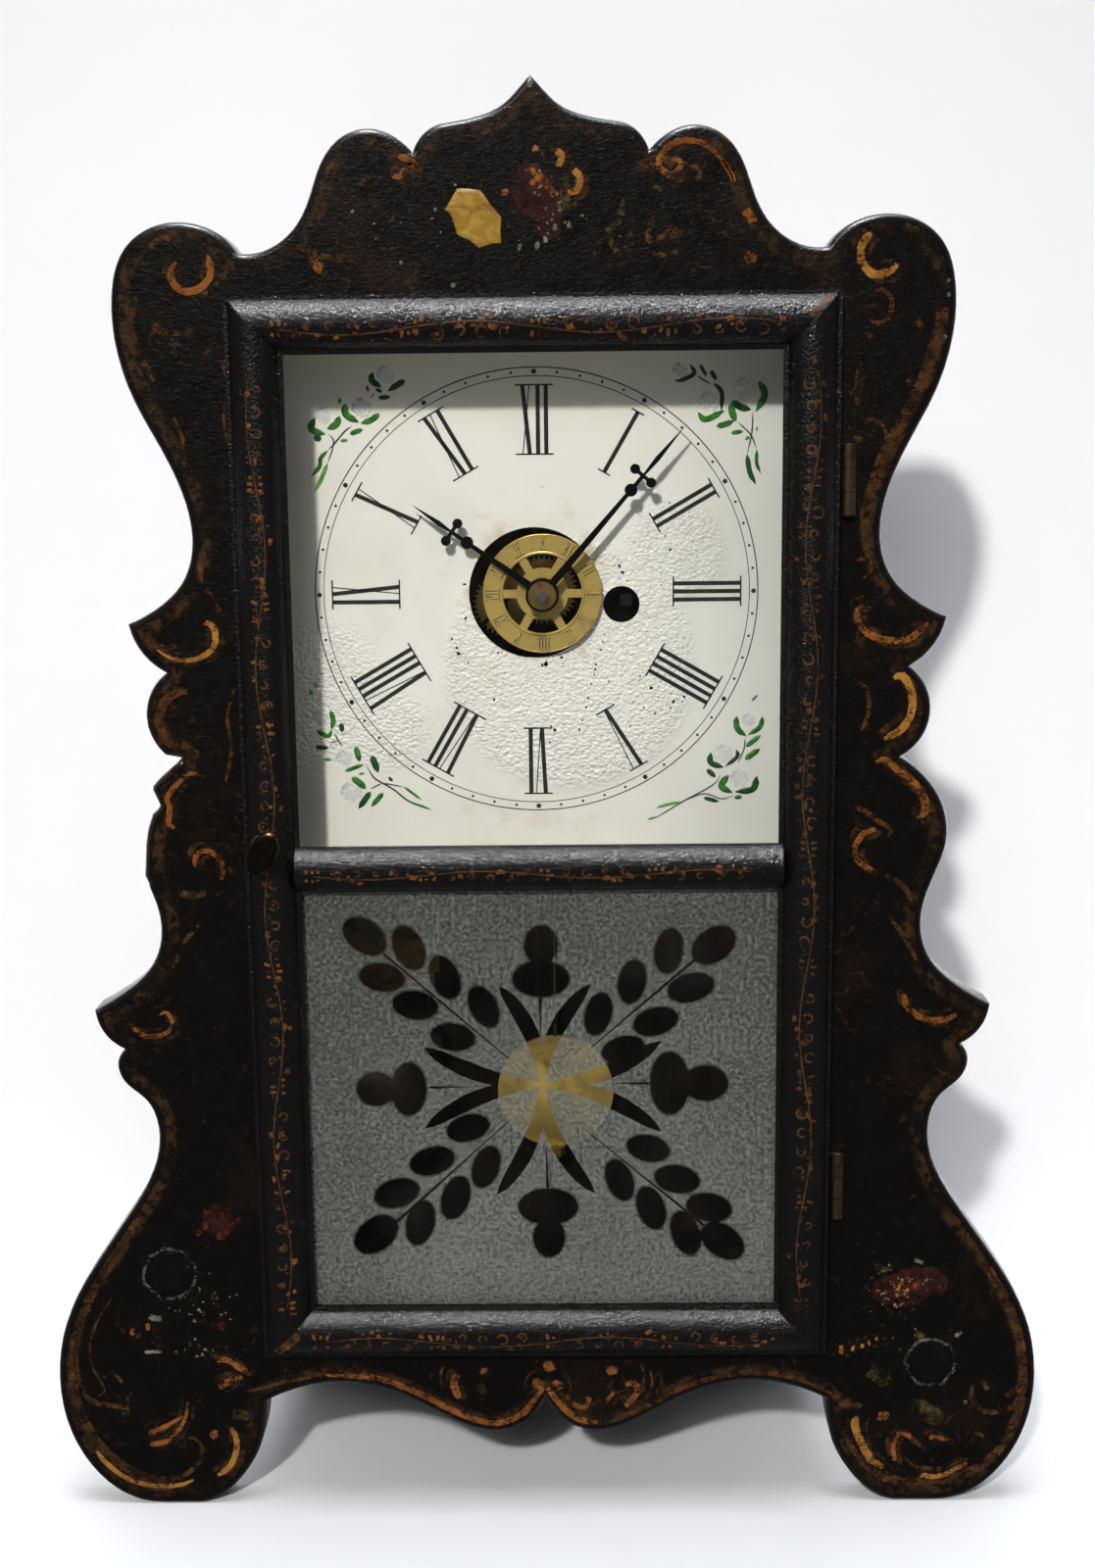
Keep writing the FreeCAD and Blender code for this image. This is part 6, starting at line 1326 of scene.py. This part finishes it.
def grow_berries(berries):
    """The berries of the vines, one piece for each paint."""
    rig, names = berries_on_a_surface()
    for paint, rows in berries.items():
        bed = bpy.data.meshes.new("berries")
        bed.from_pydata([point * MM for point, _, _ in rows], [], [])
        facing = bed.attributes.new("facing", "FLOAT_VECTOR", "POINT")
        facing.data.foreach_set("vector", [c for _, out, _ in rows for c in out])
        size = bed.attributes.new("size", "FLOAT", "POINT")
        size.data.foreach_set("value", [r * MM for _, _, r in rows])
        grow(f"door_{paint}_berries", rig, names, {"Least": 0.6, "Most": 1.3, "Flatness": 0.2, "Seed": 11}, bed,
             PAINTS[paint], "door")


# ---------------------------------------------------------------- the dial

NUMERALS = ("I", "II", "III", "IIII", "V", "VI", "VII", "VIII", "IX", "X", "XI", "XII")
LETTER_WIDTH = {"I": 0.12, "V": 0.22, "X": 0.225}     # shares of the numeral's length
SERIF = 0.045          # how far the serif lines reach past the letters, as a share of the same
HOUR_RING, HOUR_PEN = (39.3, 58.6), (1.2, 0.32, 0.44)         # inner and outer radius; thick, thin and serif lines
MINUTE_RINGS = ((63.5, 0.36), (61.1, 0.26))           # radius and width of the two lines
DOT_RING, SMALL_DOT, HOUR_DOT, DOT_LIFT = 62.3, 0.42, 0.74, 0.06
ALARM_RING, ALARM_BROAD, ALARM_START = (12.6, 16.2), 2.1, 60  # radii, breadth of letters, degrees before the first hour
ALARM_PEN, ALARM_LIFT = (0.42, 0.26, 0.24), 0.22
SHADOW_PEN, SHADOW_LIFT, SHADOW_SHIFT = (0.62, 0.42, 0.34), 0.10, (0.16, -0.16)      # a dark copy of the raised letters, set down and to the right as their painted shadow
ALARM_RIMS = ((11.7, 0.9, 0.28), (16.75, 0.4, 0.12))  # radius, width, height


def numeral(pile, face, centre, text, angle, inner, outer, thick, thin, foot, lift=0.05, broad=1.0):
    """A radial numeral with its head outwards: thick and thin strokes between two serif lines."""
    tall = outer - inner
    turn = Matrix.Rotation(-math.radians(angle), 2)

    def spot(u, v):
        return Vector(centre) + turn @ Vector((u, inner + v * tall))

    wide = sum(LETTER_WIDTH[c] for c in text) * tall * broad
    left = -wide / 2
    for letter in text:
        width = LETTER_WIDTH[letter] * tall * broad
        mid, right = left + width / 2, left + width
        if letter == "I":
            bar(pile, face, spot(mid, 0), spot(mid, 1), thick, lift)
        elif letter == "V":
            bar(pile, face, spot(left + thick, 1), spot(mid, 0), thick, lift)
            bar(pile, face, spot(right - thin, 1), spot(mid + thick / 3, 0), thin, lift)
        else:
            bar(pile, face, spot(left + thick, 1), spot(right - thick, 0), thick, lift)
            bar(pile, face, spot(right - thick, 1), spot(left + thick, 0), thin, lift)
        left = right
    for v in (0, 1):
        bar(pile, face, spot(-wide / 2 - SERIF * tall, v), spot(wide / 2 + SERIF * tall, v), foot, lift)


def ring_line(pile, face, centre, radius, width, height=0.05, count=160):
    """A flat-topped line round a circle."""
    section = ((-0.5, -SINK), (-0.4, height), (0.4, height), (0.5, -SINK))
    pile.loft([[raised(face, Vector(centre) + ray(2 * math.pi * k / count) * (radius + across * width), rise)
                for across, rise in section] for k in range(count)], closed=True)


LEAVES = {             # width and line of each stroke of the corner sprigs
    "leaf": [
        (8, "321,427 317,436 323,441 332,443"), (8, "346,425 343,433 334,438"), (8, "352,412 353,423 366,431"),
        (7, "387,422 378,429 368,432"), (6, "357,443 370,438"), (5, "334,460 327,468 326,476 318,486"),
        (7, "712,421 720,428 739,419"), (7, "731,435 740,433 749,429"), (8, "746,411 747,421 751,430"),
        (8, "774,389 780,403 771,420"), (4, "772,459 772,473 776,483"), (5, "746,442 758,440"),
        (6, "337,725 340,735 338,744"), (6, "323,745 334,751 339,745"), (7, "363,762 367,777"),
        (5, "352,787 371,780"), (8, "359,793 368,800 373,805"), (6, "391,809 379,823"),
        (3, "412,803 430,816"), (7, "751,731 752,743 761,751"), (6, "778,731 775,742 763,750"),
        (6, "761,762 776,750"), (7, "760,775 775,764"), (8, "743,791 736,802 747,809"), (3, "767,715 773,709"),
        (5, "749,814 757,813"), (4, "346,406 347,412"),
    ],
    "dark": [
        (8, "320,446 328,448"), (7, "380,380 379,388 389,395"), (7, "413,388 405,393 396,399"),
        (5, "386,406 398,405"), (4, "383,397 390,400"), (5, "704,372 708,381 695,388 688,388"),
        (4, "714,372 721,384"), (5, "725,378 731,388"), (5, "728,391 736,400 736,419"), (8, "747,409 755,415 766,418"),
        (6, "762,464 765,482 771,494"), (6, "348,738 349,747"), (6, "322,762 335,763"), (8, "379,771 386,788"),
        (7, "378,808 366,825"), (4, "396,793 401,797"), (7, "725,768 725,778 738,783"), (5, "751,765 752,772 740,782"),
        (6, "721,785 730,793"), (8, "772,792 768,805 750,808"), (5, "718,814 733,818"), (3, "374,393 376,400"),
    ],
    "pale": [
        (5, "334,473 327,490 321,502"), (4, "347,450 355,449"), (4, "760,449 765,445"), (3, "320,696 323,702"),
        (6, "316,704 319,709"), (4, "330,775 338,775"), (3, "417,818 440,826"), (3, "661,836 671,833"),
        (4, "670,824 684,820 696,818"), (3, "772,435 772,440"), (3, "366,790 372,789"),
    ],
    "stem": [
        (2, "359,435 352,440 340,454 334,460"), (1.6, "335,443 340,449 339,459 334,473"), (1.4, "378,407 382,401"),
        (1.6, "711,384 725,392"), (1.6, "768,420 767,441 762,464"), (1.6, "753,431 766,444 772,459"),
        (1.8, "341,748 346,757 350,762"), (1.4, "337,758 345,756"),
        (2, "373,780 381,793 390,799 402,806 418,818 440,826"), (1.6, "378,805 390,799"),
        (1.6, "390,799 412,803"), (1.6, "760,753 759,764 753,778"), (1.6, "735,790 727,801 698,817 671,833 660,836"),
        (1.4, "748,812 736,815 718,810 698,817"),
    ],
}
# Berries and chips: middle and radius.
BERRIES = ((330, 425, 9.6), (370, 417, 12), (394, 383, 10.5), (725, 411, 12.5), (761, 398, 14), (695, 378, 9),
           (328, 733, 10), (352, 774, 10), (360, 809, 13.5), (764, 735, 8), (739, 770, 12), (755, 795, 11.5))
CHIPS = (
    (474, 596, 2.1), (475, 631, 2.0), (461, 652, 2.0), (466, 661, 2.0), (468, 667, 2.6), (478, 676, 1.5),
    (508, 666, 1.7), (557, 677, 3.2), (553, 679, 2.0), (573, 671, 1.9), (546, 664, 1.1), (515, 687, 1.0),
    (630, 571, 1.0), (632, 578, 2.0), (635, 584, 2.2), (640, 593, 1.2), (615, 592, 1.0), (617, 647, 1.2),
    (615, 655, 1.5), (613, 663, 1.6), (608, 678, 1.7), (607, 683, 1.7), (606, 688, 1.3), (603, 698, 1.6),
    (600, 712, 1.6), (598, 722, 1.9), (594, 735, 1.4), (591, 745, 1.8), (621, 695, 1.3), (533, 698, 1.3),
    (684, 561, 1.9), (679, 547, 1.2), (694, 571, 1.0), (675, 597, 1.0), (553, 497, 0.8), (683, 513, 1.2),
    (504, 714, 1.8), (562, 741, 1.6), (566, 745, 2.4), (575, 739, 1.5), (561, 757, 1.4), (643, 741, 1.4),
    (657, 722, 1.3), (646, 716, 1.2), (668, 728, 1.7), (664, 702, 2.3), (687, 716, 2.4), (684, 722, 1.6),
    (698, 711, 1.9), (696, 716, 1.3), (694, 725, 1.1), (676, 690, 1.0), (672, 700, 1.2), (653, 690, 1.3),
)


def paint_dial():
    """Numerals, minute track, corner sprigs and chips."""
    black, track, whites, shades, chips = Pile(), Pile(), Pile(), Pile(), Pile()
    scale = pixel_size(DIAL_FRONT)
    for hour, text in enumerate(NUMERALS, 1):
        numeral(black, DIAL_FACE, DIAL_CENTRE, text, 30 * hour, *HOUR_RING, *HOUR_PEN)
    black.piece("dial_numerals", DIAL_BLACK, "case", "dial_paint", smooth=False)
    for radius, width in MINUTE_RINGS:
        ring_line(track, DIAL_FACE, DIAL_CENTRE, radius, width)
    track.piece("minute_track", DIAL_BLACK, "case", "dial_paint")
    for i, (px, py, size) in enumerate(BERRIES):
        middle, radius = seen_at(px, py, DIAL_FRONT), size * scale
        dab(whites, DIAL_FACE, middle, radius, 0.10, 0.95, 20 * i, 22, 0.04, i)
        arc = [middle + ray(a) * (0.84 * radius) for a in np.radians(np.linspace(75, 215, 9))]
        stroke(shades, DIAL_FACE, arc, 0.42 * radius, 0.13, (0.15, 0.15))
    whites.piece("dial_berries", DIAL_BERRY, "case", "dial_paint")
    shades.piece("dial_berry_shades", DIAL_BERRY_SHADE, "case", "dial_paint")
    skins = {"leaf": DIAL_LEAF, "dark": DIAL_DARK_LEAF, "pale": DIAL_PALE_LEAF, "stem": DIAL_BLACK}
    for kind, rows in LEAVES.items():
        pile = Pile()
        for width, text in rows:
            stroke(pile, DIAL_FACE, marks(text, DIAL_FRONT), width * scale, 0.17, (0.2, 0.15), 0.5)
        pile.piece(f"dial_{kind}_strokes", skins[kind], "case", "dial_paint")
    for i, (px, py, size) in enumerate(CHIPS):
        dab(chips, DIAL_FACE, seen_at(px, py, DIAL_FRONT), size * scale, 0.05, 0.75, 37 * i, 9, 0.35, i)
    chips.piece("dial_chips", BLACK_IRON, "case", "dial_paint")


def letter_alarm_disc():
    """The raised numerals of the alarm disc in a lighter brass as a painted highlight, a dark copy of them as their
    painted shadow, and its two rims.
    """
    raised_letters, sides, rim = Pile(), Pile(), Pile()
    beside = Vector(HAND_CENTRE) + Vector(SHADOW_SHIFT)
    for hour, text in enumerate(NUMERALS, 1):
        place = (text, ALARM_START + 30 * hour, *ALARM_RING)
        # The raised letters take a lighter brass than the disc: a painted highlight.
        numeral(raised_letters, DISC_FACE, HAND_CENTRE, *place, *ALARM_PEN, ALARM_LIFT, ALARM_BROAD)
        # A dark copy of each numeral, set down and to the right: its painted shadow.
        numeral(sides, DISC_FACE, beside, *place, *SHADOW_PEN, SHADOW_LIFT, ALARM_BROAD)
    raised_letters.piece("alarm_numerals", RAISED_HIGHLIGHT_BRASS, "alarm_setting", "brass", smooth=False)
    sides.piece("alarm_numeral_painted_shadows", LETTER_SHADOW_BRASS, "alarm_setting", "brass", smooth=False)
    for radius, width, height in ALARM_RIMS:
        ring_line(rim, DISC_FACE, HAND_CENTRE, radius, width, height, 96)
    rim.piece("alarm_disc_rims", DISC_BRASS, "alarm_setting", "brass")


# ---------------------------------------------------------------- the ground-glass tablet

TABLET_CORNER, TABLET_STEP = (330.0, 900.0), 0.29974       # the working grid that the pattern is given in
CLEAR_OVALS = (  # middle, half width, half height, tilt
    (740, 215, 55, 65, 0), (740, 330, 95, 60, 0), (1178, 685, 65, 105, 0), (1300, 685, 75, 58, 0),
    (765, 1105, 100, 60, 0), (768, 1210, 52, 65, 0), (290, 705, 58, 88, 0), (180, 705, 65, 55, 0),
    (140, 185, 80, 52, -35), (290, 225, 78, 48, -65), (413, 325, 76, 46, -65), (545, 425, 74, 44, -62),
    (200, 325, 76, 46, -8), (312, 420, 76, 46, -8), (440, 528, 74, 44, -8),
    (1328, 215, 80, 54, 35), (1175, 235, 76, 46, 80), (1050, 340, 74, 45, 78), (935, 450, 72, 43, 75),
    (1250, 360, 78, 46, 15), (1130, 475, 76, 45, 15), (1020, 570, 72, 42, 15),
    (180, 1200, 80, 54, 35), (250, 1060, 76, 46, 15), (370, 950, 76, 45, 15), (492, 838, 72, 43, 15),
    (330, 1160, 76, 46, 75), (450, 1075, 74, 45, 72), (553, 970, 72, 43, 70),
    (1358, 1222, 80, 52, -35), (1312, 1108, 76, 46, -10), (1203, 1012, 76, 45, -10), (1105, 907, 72, 43, -12),
    (1232, 1195, 76, 46, -70), (1115, 1110, 74, 45, -70), (1008, 1015, 72, 43, -68),
)
CLEAR_STEMS = ("738,390 738,520", "1110,686 1000,686", "763,1045 758,900", "360,700 500,697", "205,245 700,660",
               "1275,255 810,650", "245,1160 630,815", "1295,1170 880,835")
BLADE_HEART = (745, 690)
BLADE_TIPS = ((597, 355), (908, 348), (1150, 540), (1150, 850), (925, 1060), (590, 1065), (345, 840), (342, 563))
BLADE_AXES = ((0, -1), (1, 0), (0, 1), (-1, 0))     # each pair leaves the heart along one of these
BLADE_CURVE = 2.0
BLADE_WIDTHS = (       # share of the length, half width
    (0.0, 8.0), (0.2, 17.0), (0.42, 25.0), (0.65, 28.0), (0.85, 22.0), (0.94, 13.0), (1.0, 0.0),
)
OVAL_STEPS, BLADE_STEPS = 26, 15
STEM_WIDTH = 8.0
SOFT_EDGE = 1.1        # over which the ground glass begins round an oval
FROST_MARGIN = 0.4     # bare glass round the ground layer
FROST_NEAR, FROST_FAR = PANE_BACK + 0.02, PANE_BACK + 0.10


def on_tablet(cx, cy):
    """A place on the working grid as (x, z) on the tablet's back."""
    return seen_at(TABLET_CORNER[0] + TABLET_STEP * cx, TABLET_CORNER[1] + TABLET_STEP * cy, PANE_BACK)


def clear_oval(cx, cy, wide, tall, tilt):
    """A leaf of the pattern."""
    turn = math.radians(-tilt)
    ring = []
    for k in range(OVAL_STEPS):
        a = 2 * math.pi * k / OVAL_STEPS
        u, v = wide * math.cos(a), tall * math.sin(a)
        ring.append(on_tablet(cx + u * math.cos(turn) - v * math.sin(turn),
                              cy + u * math.sin(turn) + v * math.cos(turn)))
    return ring


def clear_stem(text):
    """A stem of the pattern, narrower at its far end."""
    (ax, ay), (bx, by) = (map(float, pair.split(",")) for pair in text.split())
    reach = math.hypot(bx - ax, by - ay)
    sx, sy = -(by - ay) / reach * STEM_WIDTH / 2, (bx - ax) / reach * STEM_WIDTH / 2
    return [on_tablet(ax + sx, ay + sy), on_tablet(bx + sx / 3, by + sy / 3),
            on_tablet(bx - sx / 3, by - sy / 3), on_tablet(ax - sx, ay - sy)]


def clear_blade(axis, tip):
    """A curved blade that leaves the heart along an axis and bends away to its tip."""
    (hx, hy), (ax, ay), (tx, ty) = BLADE_HEART, axis, tip
    far = (tx - hx) * ax + (ty - hy) * ay
    aside = (ty - hy) * ax - (tx - hx) * ay
    line = [Vector((hx + far * share * ax - aside * share ** BLADE_CURVE * ay,
                    hy + far * share * ay + aside * share ** BLADE_CURVE * ax))
            for share in np.linspace(0, 1, BLADE_STEPS + 1)]
    sides = ([], [])
    for i, here in enumerate(line[:-1]):
        way = (line[i + 1] - line[max(0, i - 1)]).normalized()
        half = np.interp(i / BLADE_STEPS, *zip(*BLADE_WIDTHS))
        for side, sign in zip(sides, (1, -1)):
            side.append(on_tablet(here.x - way.y * half * sign, here.y + way.x * half * sign))
    return sides[0] + [on_tablet(*line[-1])] + sides[1][::-1]


def build_frost():
    """The ground layer on the tablet's back, with the pattern left clear."""
    low, high = (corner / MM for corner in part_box("door_tablet"))
    left, right, foot, head = (low.x + FROST_MARGIN, high.x - FROST_MARGIN, low.z + FROST_MARGIN,
                               high.z - FROST_MARGIN)
    border = [Vector(q) for q in ((left, foot), (right, foot), (right, head), (left, head))]
    ovals = [clear_oval(*row) for row in CLEAR_OVALS]
    shapes = [*ovals, *(clear_stem(text) for text in CLEAR_STEMS),
              *(clear_blade(BLADE_AXES[k // 2], tip) for k, tip in enumerate(BLADE_TIPS))]
    spots, edges, around = [], [], []
    for ring in [border, *shapes]:
        edges += loop_edges(len(spots), len(ring))
        spots += ring
    for ring in ovals:
        middle = middle_of(ring)
        around += [p + (p - middle).normalized() * reach for p in ring for reach in (0.5 * SOFT_EDGE, SOFT_EDGE)]
    from_oval = distance_from([p for ring in ovals for p in along_loop(ring)])

    def in_pattern(points):
        return np.any([inside_many(points, ring) for ring in shapes], axis=0)

    spots += [p for p, clear in zip(around, in_pattern(around)) if not clear and from_oval(p) > 0.3]
    flat, tris = fill(spots, edges, lambda middles: ~in_pattern(middles))
    mesh = plate("frost", flat, tris, [FROST_NEAR] * len(flat), FROST_FAR,
                 ground=[min(1.0, from_oval(p) / SOFT_EDGE) for p in flat])
    settle("tablet_frost", mesh, FROST, "door", smooth=False)


# ---------------------------------------------------------------- floor, wall and light

FLOOR_REACH, WALL_REACH, WALL_AWAY = 4000, 2500, 99.0
FLOOR_COLOUR, WALL_COLOUR, ROOM_COLOUR, ROOM_LIGHT = (0.80, 0.81, 0.83), (0.91, 0.91, 0.94), (0.93, 0.96, 1.0), 0.12
WARM, COOL, SKY, GLOW = (1.0, 0.985, 0.955), (0.93, 0.95, 1.0), (0.95, 0.97, 1.0), (1.0, 0.86, 0.45)
FRONT_STAND, CLOCK_MIDDLE = (-0.39, -1.85, 1.36), (0, 0, 0.25)
LAMPS = (  # name, place, aim, size, power, colour, spread, whether it shows in gloss and on matt faces
    ("overhead softbox", (0.0, -0.16, 1.5), (0, -0.05, 0.2), (1.1, 0.8), 3.1, SKY, 60.0, True, True),
    ("key lamp", FRONT_STAND, CLOCK_MIDDLE, (0.10, 0.10), 1.95, WARM, 40.0, False, True),
    ("strip over the mouldings", (-0.12, -0.72, 1.46), (0, -0.05, 0.22), (0.4, 0.04), 1.35, COOL, 40.0, True, False),
    ("front softbox", FRONT_STAND, CLOCK_MIDDLE, (0.8, 0.5), 0.42, WARM, 40.0, True, True),
    ("inside glow", (0.004, -0.030, 0.084), (0.004, 0.04, 0.084), (0.12, 0.11), 0.009, GLOW, 180.0, True, True),
)


def stage_finish(name, colour, one_sided=False):
    """A plain matt ground; a one-sided one is clear from behind."""
    made = finish(name, lambda tree: {
        "Base Color": tree.mix(tree.noise(tree.place(), 3.0, 3.0, 0.5), colour, shaded(colour, 0.97)),
        "Roughness": tree.spread(tree.noise(tree.place(), 60.0, 2.0), 0.55, 0.7)})
    if one_sided:
        tree, nodes = Tree(made.node_tree), made.node_tree.nodes
        both = tree.add("ShaderNodeMixShader")
        sources = (tree.add("ShaderNodeNewGeometry").outputs["Backfacing"], nodes["Principled BSDF"].outputs[0],
                   tree.add("ShaderNodeBsdfTransparent").outputs[0])
        for socket, source in zip(both.inputs, sources):
            tree.feed(socket, source)
        tree.feed(nodes["Material Output"].inputs["Surface"], both.outputs[0])
    return made


def stage_plane(name, corners, skin):
    """A flat piece of the stage."""
    mesh = bpy.data.meshes.new(name)
    mesh.from_pydata([Vector(c) * MM for c in corners], [], [[0, 1, 2, 3]])
    mesh.materials.append(skin)
    made = bpy.data.objects.new(name, mesh)
    bpy.context.scene.collection.objects.link(made)
    return made


def light(name, where, aim, size, power, colour, spread, in_gloss, on_matt):
    """A lamp that is turned to its aim."""
    lamp = bpy.data.lights.new(name, "AREA")
    lamp.spread = math.radians(spread)
    lamp.shape, lamp.size, lamp.size_y, lamp.energy, lamp.color = "RECTANGLE", *size, power, colour
    made = bpy.data.objects.new(name, lamp)
    bpy.context.scene.collection.objects.link(made)
    made.location = where
    made.rotation_euler = (Vector(aim) - Vector(where)).to_track_quat("-Z", "Y").to_euler()
    made.visible_glossy, made.visible_diffuse = in_gloss, on_matt


def build_stage():
    """The floor, the wall close behind the clock, the lamps and the light of the room."""
    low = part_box("front_board")[0].z / MM
    square = ((-1, -1), (1, -1), (1, 1), (-1, 1))
    floor = stage_plane("floor", [(FLOOR_REACH * x, FLOOR_REACH * y, low) for x, y in square],
                        stage_finish("pale floor", FLOOR_COLOUR))
    floor.visible_glossy = False
    wall = stage_plane("wall", [(WALL_REACH * x, WALL_AWAY, WALL_REACH if z > 0 else low) for x, z in square],
                       stage_finish("pale wall", WALL_COLOUR, True))
    wall.visible_shadow = False
    for lamp in LAMPS:
        light(*lamp)
    world = bpy.data.worlds.new("room")
    world.use_nodes = True
    room = world.node_tree.nodes["Background"].inputs
    room["Color"].default_value, room["Strength"].default_value = (*ROOM_COLOUR, 1.0), ROOM_LIGHT
    bpy.context.scene.world = world
    bpy.context.scene.view_settings.view_transform = "Standard"


# ---------------------------------------------------------------- putting it together

place_camera()
build_stage()
dress_nodes()
paint_board(build_board())
coat_mouldings()
grow_berries(paint_vines())
paint_dial()
grow_minute_dots()
letter_alarm_disc()
build_frost()
